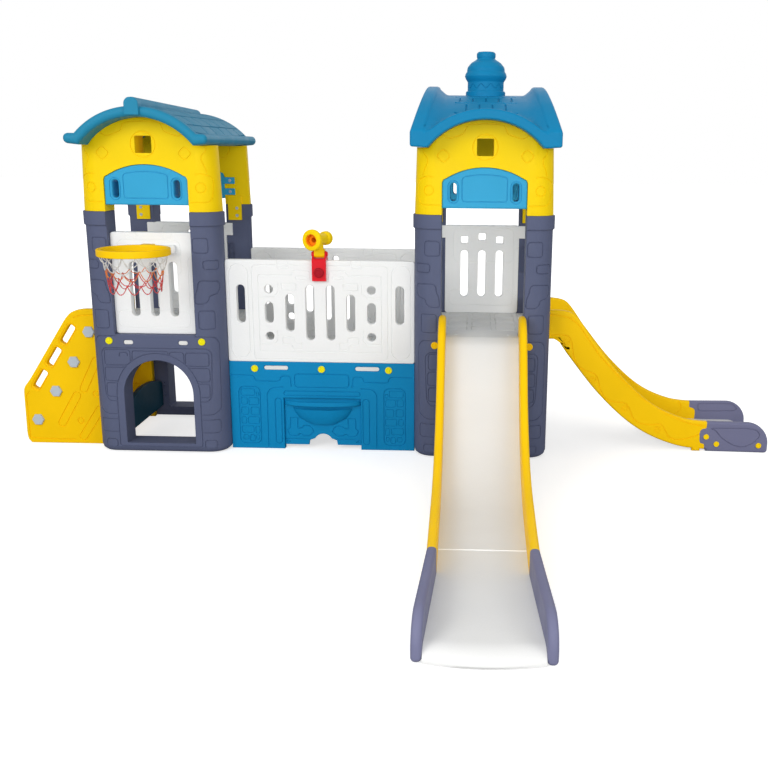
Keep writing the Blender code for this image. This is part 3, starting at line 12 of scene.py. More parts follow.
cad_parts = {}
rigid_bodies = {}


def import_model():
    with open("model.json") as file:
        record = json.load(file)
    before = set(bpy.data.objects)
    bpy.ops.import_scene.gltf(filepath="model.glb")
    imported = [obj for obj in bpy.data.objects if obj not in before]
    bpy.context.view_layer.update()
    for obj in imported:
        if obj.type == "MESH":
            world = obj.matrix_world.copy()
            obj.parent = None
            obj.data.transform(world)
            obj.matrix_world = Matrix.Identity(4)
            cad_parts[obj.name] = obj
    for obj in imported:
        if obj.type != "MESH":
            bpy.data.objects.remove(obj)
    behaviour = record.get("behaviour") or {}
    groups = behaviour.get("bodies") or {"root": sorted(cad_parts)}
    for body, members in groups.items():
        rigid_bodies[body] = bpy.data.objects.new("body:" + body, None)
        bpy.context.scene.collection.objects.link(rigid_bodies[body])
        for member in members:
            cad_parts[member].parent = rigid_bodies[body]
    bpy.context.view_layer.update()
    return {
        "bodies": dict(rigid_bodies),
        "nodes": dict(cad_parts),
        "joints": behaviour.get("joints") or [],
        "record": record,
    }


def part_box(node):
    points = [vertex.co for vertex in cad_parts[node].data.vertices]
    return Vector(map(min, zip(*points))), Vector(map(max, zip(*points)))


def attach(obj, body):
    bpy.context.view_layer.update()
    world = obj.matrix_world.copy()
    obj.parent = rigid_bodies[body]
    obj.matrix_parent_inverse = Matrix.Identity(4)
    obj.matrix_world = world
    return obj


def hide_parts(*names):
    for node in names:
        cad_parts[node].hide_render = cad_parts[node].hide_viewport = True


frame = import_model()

bl_info = {
    "name": "Playhouse",
    "version": (1, 0, 0),
    "blender": (4, 5, 0),
    "location": "View3D > Sidebar > Playhouse",
    "description": "Builds the moulded pieces, plastics and stage of an indoor playhouse",
    "category": "Add Mesh",
}

# Gap between pieces, and how far a cutter runs past what it cuts
GAP = 0.0003
BIG = 0.05

# Points of a groove lie at least this far apart
CLOSEST_POINTS = 0.0009
TOUCHING = 1e-6

# The most of a line's length that one rounded corner takes, and how far the corners of moulded
# lines are rounded: hardly, a little, plainly, as most panels are, and widely
CORNER_SHARE = 0.45
SHARP_CORNER = 0.001
SMALL_CORNER = 0.004
LINE_CORNER = 0.012
PANEL_CORNER = 0.016
WIDE_CORNER = 0.02

# Rounded edges of decks and back railings, and the angles in degrees from which an edge is
# rounded and looks sharp
SMALL_ROUNDING = 0.004
ROUNDED_FROM = 35
SHARP_FROM = 38

ORIGIN = (0.0, 0.0, 0.0)

# Depth of a groove as a multiple of its half width, and the most that a cut takes as a share
# of its tool; where more is gone, grooves cross each other and are cut more slowly
GROOVE_DEPTH = 1.35
MOST_CUT = 0.6
FINE_GROOVE = 0.0022

# Steps along round shapes
ARC_STEPS = 12
ARCH_STEPS = 24
DOOR_STEPS = 36
SMALL_STEPS = 20
TUBE_STEPS = 48
RING_STEPS = 72
ROOF_STEPS = 48
ROUND_STEPS = 32
HEX_SIDES = 6

# Towers
TOWER_HALF = 0.34
TOWER_DEPTH = 0.82
WALL_DEPTH = 0.125
CORNER_RADIUS = 0.10
FOOT_ROUNDING = 0.03
# Rings of a wall's rounded foot: growth and height, as shares of its rounding
FOOT_SHARES = ((-1.0, 0.0), (-0.55, 0.11), (-0.2, 0.4), (0.0, 1.0))
DOOR_HALF = 0.177
DOOR_SILL = 0.05
DOOR_SPRING = 0.309
OPENING_HALF = 0.205
BEAM_TOP = 0.617
COLLAR_BOTTOM = 1.156
COLLAR_TOP = 1.226
COLLAR_PROUD = 0.008

# Tower decks and the tabs that hook through the beams
DECK_INSET = 0.005
DECK_HALF = TOWER_HALF - DECK_INSET
DECK_TOP = 0.635
DECK_BOTTOM = 0.566
DECK_CORNER = 0.008
DECK_TONGUE_Y = 0.08
TAB_X = 0.1385
TAB_WIDTH = 0.048
TAB_HEIGHT = 0.022
TAB_SETBACK = 0.004
TAB_ROUNDING = 0.003
# Corner of a tab, as a share of its height
TAB_END = 0.48
TREAD_ROWS = 4
TREAD_FIRST_Y = 0.215
TREAD_ROW_PITCH = 0.13

# Gables and visors
GABLE_TOP_HALF = 0.33
EAVE_Z = 1.546
EAVE_INNER_X = 0.27
ROOF_RADIUS = 0.347
ROOF_CENTRE_Z = 1.323
ARCH_SHOULDER_X = 0.185
ARCH_SHOULDER_Z = 1.40
ARCH_TOP = 1.452
ARCH_CORNER = 0.022
ARCH_BEND = 0.3
WINDOW_SIZE = 0.08
WINDOW_Z = 1.5445
TONGUE_X = 0.258
TONGUE_WIDTH = 0.075
TONGUE_BOTTOM = 1.14
TONGUE_TOP = 1.27
TONGUE_THICKNESS = 0.010
TONGUE_ROUNDING = 0.002
VISOR_BOTTOM = 1.258
VISOR_FRONT = 0.004
VISOR_BACK = 0.130
VISOR_HOLE_X = 0.15
VISOR_HOLE_Z = 1.335
VISOR_HOLE_WIDTH = 0.03
VISOR_HOLE_HEIGHT = 0.085
VISOR_TAB_REACH = 0.262
VISOR_TAB_HEIGHT = 0.035
VISOR_TAB_THICKNESS = 0.008
VISOR_TAB_ROOT = 0.02
VISOR_TAB_LEVELS = (1.295, 1.355)

# Roofs
ROOF_THICKNESS = 0.048
ROOF_ROUNDING = 0.021
EAVE_CORNER = 0.023
ROOF_HALF = 0.34
ROOF_FRONT_OVERHANG = 0.12
ROOF_BACK_OVERHANG = 0.10
RIDGE_WIDTH = 0.068
RIDGE_ROUNDING = 0.030
RIDGE_FRONT_Z = 1.757
RIDGE_BACK_Z = 1.738
RIDGE_BLOCK_BOTTOM = 1.676
RIDGE_BLOCK_REACH = 0.015
RIDGE_BLOCK_DEPTH = 0.05
RIDGE_BLOCK_DROP = 0.0004
RIDGE_SETBACK = 0.01
RIDGE_EDGE = 0.005
WING_HALF = 0.352
WING_EAVE_TOP = 1.61
WING_PEAK_Z = 1.842
WING_PEAK_X = 0.289
WING_RIM = 0.055
WING_STEP = 0.008
WING_ROWS = 48
WING_RADIUS = 0.744
SADDLE_HALF = 0.194
SADDLE_Z = 1.80
SADDLE_STEPS = 9
PEDESTAL_RADIUS = 0.10
PEDESTAL_TOP = 1.82
PEDESTAL_DEPTH = 0.02
PEDESTAL_EASE = 0.004
WING_ROUNDING = 0.010

# Turned finial, as radius and height above the pedestal
FINIAL_PROFILE = (
    (0.091, 0.0), (0.091, 0.045), (0.100, 0.058), (0.106, 0.072), (0.102, 0.086), (0.095, 0.095),
    (0.095, 0.105), (0.092, 0.117), (0.075, 0.137), (0.053, 0.151), (0.044, 0.158), (0.0475, 0.165),
    (0.0475, 0.183), (0.040, 0.190),
)

# Railing panels of the towers
FENCE_TOP = 1.125
FENCE_THICKNESS = 0.045
FENCE_FRONT_Y = 0.03
FENCE_CORNER = 0.014
FENCE_PANEL_CORNER = 0.03
FENCE_SLOT_PITCH = 0.098
FENCE_SLOT_WIDTH = 0.0415
FRONT_SLOT_BOTTOM = 0.706
FRONT_SLOT_TOP = 0.979
BACK_SLOT_BOTTOM = 0.726
BACK_SLOT_TOP = 0.988
BACK_FENCE_INSET = 0.010
BACK_SQUARE = 0.04
BACK_SQUARE_CORNER = 0.008
BACK_SQUARE_Z = 1.045
BACK_MIDDLE_SQUARE_Z = 1.062
BACK_TAB_HALF = 0.24
BACK_TAB_BOTTOM = 1.055
BACK_TAB_TOP = 1.123
BACK_TAB_ROOT = 0.03

# Low board inside the left tower
SIDE_BOARD_X = TOWER_HALF - 0.098
SIDE_BOARD_THICKNESS = 0.03
SIDE_BOARD_BOTTOM = 0.06
SIDE_BOARD_TOP = 0.25
SIDE_BOARD_RISE = 0.05
SIDE_BOARD_ROUNDING = 0.006

# Bridge
BRIDGE_Y = 0.10
BRIDGE_THICKNESS = 0.04
BASE_TOP = 0.466
BRIDGE_FENCE_TOP = 0.988
BRIDGE_CORNER = 0.012
BAY_HALF = 0.20
BAY_TOP = 0.275
BRIDGE_SLOT_X = 0.235
BRIDGE_SLOT_WIDTH = 0.124
BRIDGE_SLOT_Z = 0.434
BRIDGE_SLOT_HEIGHT = 0.022
BRIDGE_DECK_TOP = 0.49
PORT_WIDTH = 0.043
# Each row of ports: distance from the middle, bottom and top
BRIDGE_PORTS = (
    (0.052, 0.58, 0.862), (0.155, 0.625, 0.816), (0.26, 0.667, 0.775), (0.403, 0.666, 0.862),
)
ROUND_PORT_X = 0.26
ROUND_PORT_LEVELS = (0.60, 0.84)
SCREW_HOLE_RADIUS = 0.017
SCREW_Z = 0.93
CAP_RADIUS = 0.018
CAP_PROUD = 0.006
CAP_Z = 0.43
CAP_X = 0.345

# Basin in the bay under the bridge
BASIN_Y = 0.115
BASIN_THICKNESS = 0.015
BASIN_BOTTOM = 0.02
BASIN_RIM_BOTTOM = 0.238
BASIN_RIM_TOP = 0.262
BASIN_REACH = 0.065
BASIN_WALL = 0.012
BASIN_EASE = 0.004
BASIN_FLOOR = 0.193
BASIN_FLOOR_HALF = 0.09
BASIN_FLOOR_REACH = 0.026
# Outside of the scoop below the rim: half width, reach and height of each ring
BASIN_SCOOP = (
    (0.160, 0.052, 0.228), (0.148, 0.048, 0.199), (0.126, 0.041, 0.167), (0.070, 0.026, 0.135),
)
BASIN_CUTOUT_HALF = 0.075
BASIN_CUTOUT_NECK = 0.07
BASIN_CUTOUT_BEND = 0.045
BASIN_CUTOUT_TOP = 0.08
BASIN_CUTOUT_RADIUS = 0.05

# Climber
CLIMBER_THICKNESS = 0.04
CLIMBER_CORNER = 0.03
CLIMBER_ROUNDING = 0.006
CLIMBER_TUCK = 0.085
CLIMBER_TUCK_TOP = 0.54
# Outer edge of a climber panel, as distance out from the tower's side and height
CLIMBER_EDGE = (
    (0.0, 0.721), (0.078, 0.721), (0.132, 0.708), (0.166, 0.673), (0.384, 0.340), (0.414, 0.305),
    (0.419, 0.277), (0.422, 0.045), (0.416, 0.018), (0.400, 0.0),
)
# Tread bolts, as distance out from the tower's side and height
CLIMBER_BOLTS = ((0.351, 0.130), (0.243, 0.286), (0.137, 0.444), (0.046, 0.604))
CLIMBER_SLOTS = ((0.324, 0.346), (0.242, 0.468), (0.160, 0.588))
CLIMBER_SLOT_LENGTH = 0.11
CLIMBER_SLOT_WIDTH = 0.035
CLIMBER_SLOPE = 56.8
TREAD_DEPTH = 0.09
TREAD_HEIGHT = 0.036
TREAD_CORNER = 0.012
TREAD_RIB_PITCH = 0.024
TREAD_RIB_INSET = 0.02
TREAD_RIB = 0.0025
TREAD_ROUNDING = 0.002
HEX_ACROSS = 0.055
HEX_HEIGHT = 0.012
HEX_CHAMFER = 0.0035
BOLT_RADIUS = 0.008

# Slides. Each path is the top edge of the side rails, as distance out and height
RAIL_THICKNESS = 0.036
RAIL_HEIGHT = 0.150
RAIL_STAND = 0.10
RAIL_ROUNDING = 0.015
TAB_RAIL_ROUNDING = 0.011
BED_THICKNESS = 0.022
BED_BOW_LENGTH = 0.15
FOOT_NOSE = 0.11
NOSE_STEPS = 18
FOOT_CORNER = 0.017
LIP_NOSE = 0.08
LIP_CLEARANCE = 0.002
LIP_TURN = 80
LIP_STEPS = 10
PATH_STEPS = 50
PATH_MARGIN = 0.004
FRONT_SLIDE_JOINT = 1.45
FRONT_SLIDE_FOOT_END = 1.985
FRONT_BED_JOINT = 1.265
FRONT_SLIDE_LIP = 2.01
FRONT_SLIDE_TOP_HALF = 0.2135
FRONT_SLIDE_JOINT_HALF = 0.203
FRONT_SLIDE_TOE_HALF = 0.229
# Lines along the front rails: depths below the top edge, and where they start and end
FRONT_RAIL_LINES = (0.03, 0.125)
LINE_START = 0.02
LINE_END = FRONT_SLIDE_JOINT - 0.01
FRONT_SLIDE_PATH = (
    (0.08, 0.740), (0.18, 0.700), (0.26, 0.620), (0.42, 0.430), (0.62, 0.280), (0.85, 0.195),
    (1.15, 0.165), (1.45, 0.152), (2.01, 0.148),
)
SIDE_SLIDE_JOINT = 0.85
SIDE_SLIDE_FOOT_END = 1.166
SIDE_SLIDE_LIP = 1.15
SIDE_SLIDE_HALF = 0.225
SIDE_SLIDE_TOE_HALF = 0.238
SIDE_RAIL_TONGUE = 0.10
SIDE_BED_BOW = 0.02
SIDE_SLIDE_PATH = (
    (0.0, 0.738), (0.07, 0.738), (0.14, 0.713), (0.237, 0.584), (0.386, 0.402), (0.552, 0.254),
    (0.714, 0.179), (0.85, 0.160), (1.166, 0.154),
)
RAIL_TAB_START = 0.778
RAIL_TAB_LENGTH = 0.042

# Hoop and net
HOOP_Y = 0.22
HOOP_RADIUS = 0.168
HOOP_BORE = 0.150
HOOP_BOTTOM = 1.04
HOOP_TOP = 1.073
HOOP_ARM_HALF = 0.03
BRACKET_HALF = 0.125
BRACKET_BOTTOM = 1.023
BRACKET_TOP = 1.065
BRACKET_CORNER = 0.010
HOOP_ROUNDING = 0.005
NET_COLUMNS = 12
NET_TOP_RADIUS = 0.155
NET_BOTTOM_RADIUS = 0.115
NET_BOTTOM = 0.869
NET_ROWS = 5

# Telescope on the bridge railing
CLAMP_HALF = 0.035
CLAMP_LEG = 0.0185
CLAMP_BOTTOM = 0.887
CLAMP_CHAMFER = 0.006
CLAMP_ROUNDING = 0.0045
SADDLE_THICKNESS = 0.0097
PIN_Z = 1.018
PIN_RADIUS = 0.006
PIN_HEAD_RADIUS = 0.012
PIN_HEAD_HEIGHT = 0.006
# Rings of the pin's head: radius and depth behind its end
PIN_HEAD = ((0.0072, 0.0), (0.011, 0.0008), (0.012, 0.002))
EAR_RADIUS = 0.016
NECK_HALF = 0.026
NECK_RADIUS = 0.018
NECK_TOP = 1.043
NECK_ROUNDING = 0.0015
KNOB_RADIUS = 0.025
KNOB_DEPTH = 0.012
# Rings of the knob's face: radius and depth behind it
KNOB_FACE = ((0.01375, 0.002), (0.0155, 0.0), (0.0213, 0.0), (0.024, 0.0015), (0.025, 0.0037))
KNOB_GRIPS = 12
GRIP_REACH = 0.02625
GRIP_RADIUS = 0.0028
GRIP_SETBACK = 0.003
SCREW_RADIUS = 0.010
TUBE_Z = 1.093
TUBE_YAW = 22.0
TUBE_HALF_LENGTH = 0.08
FRONT_BELL_RADIUS = 0.053
REAR_BELL_RADIUS = 0.035
TUBE_RADIUS = 0.028
TUBE_BORE = 0.017
FRONT_BORE = 0.031
BORE_STEP = 0.03
BELL_CHAMFER = 0.006
BELL_LENGTH = 0.022
BELL_END = 0.048
REAR_BELL_LENGTH = 0.038
LINER_THICKNESS = 0.004
POST_RADIUS = 0.020
POST_STEPS = 40

# Places read from the frame: the bridge's middle, the towers' fronts and the towers' middles
bridge_low, bridge_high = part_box("bridge_front_base")
BRIDGE_X = (bridge_low.x + bridge_high.x) / 2
BRIDGE_HALF = (bridge_high.x - bridge_low.x) / 2
FRONT_Y = bridge_low.y - BRIDGE_Y
TOWER_X = {}
for tower_side in ("left", "right"):
    wall_low, wall_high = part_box(tower_side + "_front_wall")
    TOWER_X[tower_side] = (wall_low.x + wall_high.x) / 2
BACK_Y = FRONT_Y + TOWER_DEPTH
FENCE_HALF = OPENING_HALF - GAP
HOOP_PLACE = (TOWER_X["left"], FRONT_Y - HOOP_Y)
TELESCOPE_PLACE = (BRIDGE_X, FRONT_Y + BRIDGE_Y + BRIDGE_THICKNESS / 2)

# Settings


def colour_setting(label, colour):
    """A colour that the sidebar shows."""
    return FloatVectorProperty(
        name=label, description=label, default=colour, size=3, subtype="COLOR"
    )


def length_setting(label, metres):
    """A length that the sidebar shows."""
    return FloatProperty(name=label, description=label, default=metres, min=0.0, unit="LENGTH")


class PlayhouseColours(bpy.types.PropertyGroup):
    slate: colour_setting("Towers' slate plastic", (0.104, 0.121, 0.202))
    foot_grey: colour_setting("Slide feet's grey plastic", (0.175, 0.180, 0.290))
    yellow: colour_setting("Yellow plastic", (0.98, 0.680, 0.002))
    golden: colour_setting("Slides' and climber's golden plastic", (0.98, 0.600, 0.001))
    white: colour_setting("Railings' white plastic", (0.88, 0.89, 0.89))
    cream: colour_setting("Decks' and slides' off-white plastic", (0.775, 0.775, 0.765))
    sky_blue: colour_setting("Visors' blue plastic", (0.041, 0.381, 0.658))
    roof_blue: colour_setting("Barrel roof's blue plastic", (0.020, 0.245, 0.410))
    wing_blue: colour_setting("Winged roof's and finial's blue plastic", (0.005, 0.227, 0.456))
    blue: colour_setting("Bridge base's blue plastic", (0.003, 0.238, 0.510))
    # The side board's colour is the visors' blue darkened to about 15 percent: painted shade for the
    # shadow inside the left tower.
    navy: colour_setting("Side board's navy plastic", (0.004, 0.058, 0.100))
    cap_yellow: colour_setting("Caps' lemon plastic", (0.88, 0.80, 0.007))
    red: colour_setting("Clamp's red plastic", (0.74, 0.014, 0.026))
    dark_red: colour_setting("Knob's dark red plastic", (0.40, 0.008, 0.018))
    orange: colour_setting("Liner's orange plastic", (0.96, 0.27, 0.006))
    bolt_grey: colour_setting("Bolts' pale grey plastic", (0.50, 0.56, 0.62))
    cord_white: colour_setting("Net's white cord", (0.80, 0.79, 0.76))
    cord_orange: colour_setting("Net's orange cord", (0.90, 0.22, 0.02))
    cord_red: colour_setting("Net's red cord", (0.72, 0.03, 0.03))


class PlayhouseSizes(bpy.types.PropertyGroup):
    groove: length_setting("Half width of the moulded grooves", 0.0029)
    rim: length_setting("Rounding of the mouldings' edges", 0.0045)
    net_cord: length_setting("Half thickness of the net's cord", 0.0021)
    net_knot: length_setting("Radius of the net's knots", 0.0034)
    rim_steps: IntProperty(
        name="Steps", description="Steps across a rounded edge", default=2, min=1
    )


def colours():
    return bpy.context.scene.playhouse_colours


def sizes():
    return bpy.context.scene.playhouse_sizes


# Outlines


def arc(centre_x, centre_y, radius, start, end, steps=ARC_STEPS):
    """Points along an arc, from one angle in degrees to the other."""
    points = []
    for step in range(steps + 1):
        angle = math.radians(start + (end - start) * step / steps)
        points.append((centre_x + radius * math.cos(angle), centre_y + radius * math.sin(angle)))
    return points


def crest(centre_x, centre_y, radius, half, steps):
    """The top of a circle over a half width, from its right end over to its left."""
    reach = math.degrees(math.asin(half / radius))
    return arc(centre_x, centre_y, radius, 90 - reach, 90 + reach, steps)


def circle(centre_x, centre_y, radius, steps=ROUND_STEPS):
    return arc(centre_x, centre_y, radius, 0, 360, steps)[:-1]


def rectangle(left, bottom, right, top):
    return [(left, bottom), (right, bottom), (right, top), (left, top)]


def rounded(left, bottom, right, top, radius, steps=5):
    """A rectangle with rounded corners, or a slot when the radius is half its width."""
    points = arc(right - radius, bottom + radius, radius, -90, 0, steps)
    points += arc(right - radius, top - radius, radius, 0, 90, steps)
    points += arc(left + radius, top - radius, radius, 90, 180, steps)
    points += arc(left + radius, bottom + radius, radius, 180, 270, steps)
    return points


def upright_slot(middle, bottom, top, width):
    points = arc(middle, top - width / 2, width / 2, 0, 180)
    return points + arc(middle, bottom + width / 2, width / 2, 180, 360)


def turned_about(points, centre, degrees):
    """The points turned about a centre."""
    cos = math.cos(math.radians(degrees))
    sin = math.sin(math.radians(degrees))
    cx, cy = centre
    offsets = [(x - cx, y - cy) for x, y in points]
    return [(cx + x * cos - y * sin, cy + x * sin + y * cos) for x, y in offsets]


def flipped(points):
    """The points on the other side of the middle, in the other order."""
    return [(-x, z) for x, z in points[::-1]]


def both_sides(path):
    """A path and its mirror image, as two separate paths."""
    return [list(path), flipped(path)]


def mirrored(line):
    """A line that starts in the middle, with its mirror image before it."""
    return flipped(line) + list(line[1:])


def softened(points, radius, closed, steps=4):
    """The path with its corners rounded."""
    count = len(points)
    result = []
    for index, corner in enumerate(points):
        if not closed and index in (0, count - 1):
            result.append(corner)
            continue
        ends = []
        for other in (points[index - 1], points[(index + 1) % count]):
            length = math.dist(corner, other)
            reach = min(radius, length * CORNER_SHARE) / length
            ends.append([c + (o - c) * reach for c, o in zip(corner, other)])
        for step in range(steps + 1):
            t = step / steps
            weights = ((1 - t) ** 2, 2 * t * (1 - t), t**2)
            triple = zip(ends[0], corner, ends[1])
            result.append(tuple(sum(w * v for w, v in zip(weights, values)) for values in triple))
    return result


def densified(points, closed, spacing):
    """The path with no two points further apart than a spacing."""
    result = []
    following = points[1:] + points[:1] if closed else points[1:]
    for (x0, z0), (x1, z1) in zip(points, following):
        steps = max(1, math.ceil(math.dist((x0, z0), (x1, z1)) / spacing))
        for step in range(steps):
            share = step / steps
            result.append((x0 + (x1 - x0) * share, z0 + (z1 - z0) * share))
    return result if closed else result + [points[-1]]


def wound(points, clockwise):
    """The loop in the wanted direction, without doubled points."""
    kept = [p for p, q in zip(points, points[1:] + points[:1]) if math.dist(p, q) > TOUCHING]
    area = sum(p[0] * q[1] - q[0] * p[1] for p, q in zip(kept, kept[1:] + kept[:1]))
    return kept[::-1] if (area < 0) != clockwise else kept


def smooth_path(knots, steps_per_metre=PATH_STEPS):
    """Points on a smooth curve of height over distance that passes through the knots."""
    slopes = []
    for index in range(len(knots)):
        before = knots[max(index - 1, 0)]
        after = knots[min(index + 1, len(knots) - 1)]
        slopes.append((after[1] - before[1]) / (after[0] - before[0]))
    points = []
    for index in range(len(knots) - 1):
        (x0, z0), (x1, z1) = knots[index], knots[index + 1]
        span = x1 - x0
        steps = max(1, round(span * steps_per_metre))
        for step in range(steps):
            s = step / steps
            height = z0 * (2 * s**3 - 3 * s**2 + 1) + z1 * (3 * s**2 - 2 * s**3)
            height += span * slopes[index] * (s**3 - 2 * s**2 + s)
            height += span * slopes[index + 1] * (s**3 - s**2)
            points.append((x0 + span * s, height))
    return points + [knots[-1]]


def offset_path(points, distance):
    """The path moved down by a distance, square to itself."""
    moved_points = []
    for index, (x, z) in enumerate(points):
        x0, z0 = points[max(index - 1, 0)]
        x1, z1 = points[min(index + 1, len(points) - 1)]
        length = math.hypot(x1 - x0, z1 - z0)
        moved_points.append((x + (z1 - z0) / length * distance, z - (x1 - x0) / length * distance))
    return moved_points


def height_on(points, out):
    """Height of a path at a distance out."""
    for (x0, z0), (x1, z1) in zip(points, points[1:]):
        if x0 <= out <= x1:
            return z0 + (z1 - z0) * (out - x0) / (x1 - x0)
    return points[0][1] if out < points[0][0] else points[-1][1]


def cut_path(points, start, end):
    """The stretch of a path between two distances out, with points set at both ends."""
    inner = [(x, z) for x, z in points if start + PATH_MARGIN < x < end - PATH_MARGIN]
    return [(start, height_on(points, start))] + inner + [(end, height_on(points, end))]


def taper(knots):
    """A function that reads a straight-line table of distance out and value."""

    def value_at(out):
        for (x0, v0), (x1, v1) in zip(knots, knots[1:]):
            if out <= x1:
                return v0 + (v1 - v0) * (max(out, x0) - x0) / (x1 - x0)
        return knots[-1][1]

    return value_at


# Meshes


def loose_object(name, data):
    """An object in the scene that is only used while a piece is made."""
    obj = bpy.data.objects.new(name, data)
    bpy.context.scene.collection.objects.link(obj)
    return obj


def mesh_of(obj):
    """The object's finished mesh; the object itself goes."""
    graph = bpy.context.evaluated_depsgraph_get()
    mesh = bpy.data.meshes.new_from_object(obj.evaluated_get(graph))
    bpy.data.objects.remove(obj, do_unlink=True)
    return mesh


def from_bmesh(shape):
    """Turns a bmesh into a mesh with its faces outwards."""
    shape.normal_update()
    bmesh.ops.recalc_face_normals(shape, faces=shape.faces)
    return new_mesh(shape)


def placed(mesh, plane, low):
    """Turns a mesh made in local x, y and depth into the wanted plane, from a depth on."""
    shape = bmesh.new()
    shape.from_mesh(mesh)
    for vertex in shape.verts:
        across, up, depth = vertex.co
        depth = low + depth
        if plane == "XZ":
            vertex.co = (across, depth, up)
        elif plane == "YZ":
            vertex.co = (depth, across, up)
        else:
            vertex.co = (across, up, depth)
    return from_bmesh(shape)


def plate(plane, outline, holes, low, high, rounding=0.0, steps=None):
    """Closed mesh of a flat outline with holes, between two depths, its rims rounded."""
    curve = bpy.data.curves.new("outline", "CURVE")
    curve.dimensions = "2D"
    curve.fill_mode = "BOTH"
    curve.extrude = (high - low) / 2 - rounding
    curve.bevel_depth = rounding
    curve.bevel_resolution = sizes().rim_steps if steps is None else steps
    curve.offset = -rounding
    for loop in [wound(outline, False)] + [wound(hole, True) for hole in holes]:
        spline = curve.splines.new("POLY")
        spline.points.add(len(loop) - 1)
        for point, (across, up) in zip(spline.points, loop):
            point.co = (across, up, 0.0, 1.0)
        spline.use_cyclic_u = True
    mesh = mesh_of(loose_object("outline", curve))
    shape = bmesh.new()
    shape.from_mesh(mesh)
    bmesh.ops.remove_doubles(shape, verts=shape.verts, dist=TOUCHING)
    bmesh.ops.translate(shape, verts=shape.verts, vec=(0.0, 0.0, (high - low) / 2))
    return placed(from_bmesh(shape), plane, low)


def bridged(loops, closed_ends=True):
    """Closed mesh through loops of equally many points, capped, or joined end to start."""
    shape = bmesh.new()
    rings = [[shape.verts.new(point) for point in loop] for loop in loops]
    pairs = list(zip(rings, rings[1:]))
    if not closed_ends:
        pairs.append((rings[-1], rings[0]))
    for lower, upper in pairs:
        for index in range(len(lower)):
            after = (index + 1) % len(lower)
            shape.faces.new((lower[index], lower[after], upper[after], upper[index]))
    if closed_ends:
        shape.faces.new(rings[0][::-1])
        shape.faces.new(rings[-1])
    return from_bmesh(shape)


def turned(profile, steps, axis, centre, bored=False):
    """A turned solid from radius and position along its axis; a bored one has a ring section."""
    loops = []
    for radius, along in profile:
        loop = []
        for across, up in circle(0.0, 0.0, radius, steps):
            if axis == "X":
                offset = (along, across, up)
            elif axis == "Y":
                offset = (across, along, up)
            else:
                offset = (across, up, along)
            loop.append(tuple(c + o for c, o in zip(centre, offset)))
        loops.append(loop)
    return bridged(loops, closed_ends=not bored)


def new_mesh(shape):
    """Turns a bmesh into a mesh."""
    mesh = bpy.data.meshes.new("mesh")
    shape.to_mesh(mesh)
    shape.free()
    return mesh


def merged(meshes):
    """One mesh that holds several bodies."""
    shape = bmesh.new()
    for mesh in meshes:
        shape.from_mesh(mesh)
    return new_mesh(shape)


def box(low, high, rounding=0.0):
    outline = rectangle(low[0], low[1], high[0], high[1])
    return plate("XY", outline, [], low[2], high[2], rounding)


def side_tabs(inner, outer, near, far, bottom, top, rounding):
    """A box at each side, between two distances from the middle."""
    tabs = []
    for side in (-1, 1):
        left, right = sorted((side * inner, side * outer))
        tabs.append(box((left, near, bottom), (right, far, top), rounding))
    return tabs


def combined(mesh, operation, tool_mesh, crossing=False):
    """The mesh joined with, cut by or kept within another one, which may cross itself."""
    target = loose_object("target", mesh)
    tool = loose_object("tool", tool_mesh)
    modifier = target.modifiers.new("Cut", "BOOLEAN")
    modifier.operation = operation
    modifier.solver = "EXACT"
    modifier.use_self = crossing
    modifier.object = tool
    result = mesh_of(target)
    bpy.data.objects.remove(tool, do_unlink=True)
    return result


def joined(mesh, parts):
    """The mesh in one piece with each of the parts."""
    return combined(mesh, "UNION", merged(parts))


def cut_out(mesh, parts):
    """The mesh without what each of the parts fills."""
    return combined(mesh, "DIFFERENCE", merged(parts))


def eased(mesh, width=None, segments=None, angle=ROUNDED_FROM, clamped=True):
    """The mesh with its sharp edges rounded."""
    target = loose_object("target", mesh)
    modifier = target.modifiers.new("Edges", "BEVEL")
    modifier.width = sizes().rim if width is None else width
    modifier.segments = sizes().rim_steps if segments is None else segments
    modifier.limit_method = "ANGLE"
    modifier.angle_limit = math.radians(angle)
    modifier.use_clamp_overlap = clamped
    return mesh_of(target)


def moved(mesh, x=0.0, y=0.0, z=0.0, degrees=0.0):
    """A copy of the mesh turned about the upright axis, then shifted."""
    copy = mesh.copy()
    copy.transform(Matrix.Translation((x, y, z)) @ Matrix.Rotation(math.radians(degrees), 4, "Z"))
    return copy


# Grooves


def flat_front(depth):
    """Lays a path on an upright plane that faces the front."""
    return lambda x, z: (Vector((x, depth, z)), Vector((0.0, -1.0, 0.0)))


def flat_back(depth):
    """Lays a path on an upright plane that faces the back."""
    return lambda x, z: (Vector((x, depth, z)), Vector((0.0, 1.0, 0.0)))


def flat_top(height):
    """Lays a path on a level plane that faces up."""
    return lambda x, y: (Vector((x, y, height)), Vector((0.0, 0.0, 1.0)))


def thinned(laid, closed):
    """Laid points without those that nearly coincide with the one before."""
    kept = []
    for here, normal in laid:
        if not kept or (here - kept[-1][0]).length > CLOSEST_POINTS:
            kept.append((here, normal))
    if closed and (kept[0][0] - kept[-1][0]).length < CLOSEST_POINTS:
        kept.pop()
    return kept


def volume_of(mesh):
    shape = bmesh.new()
    shape.from_mesh(mesh)
    volume = shape.calc_volume()
    shape.free()
    return volume


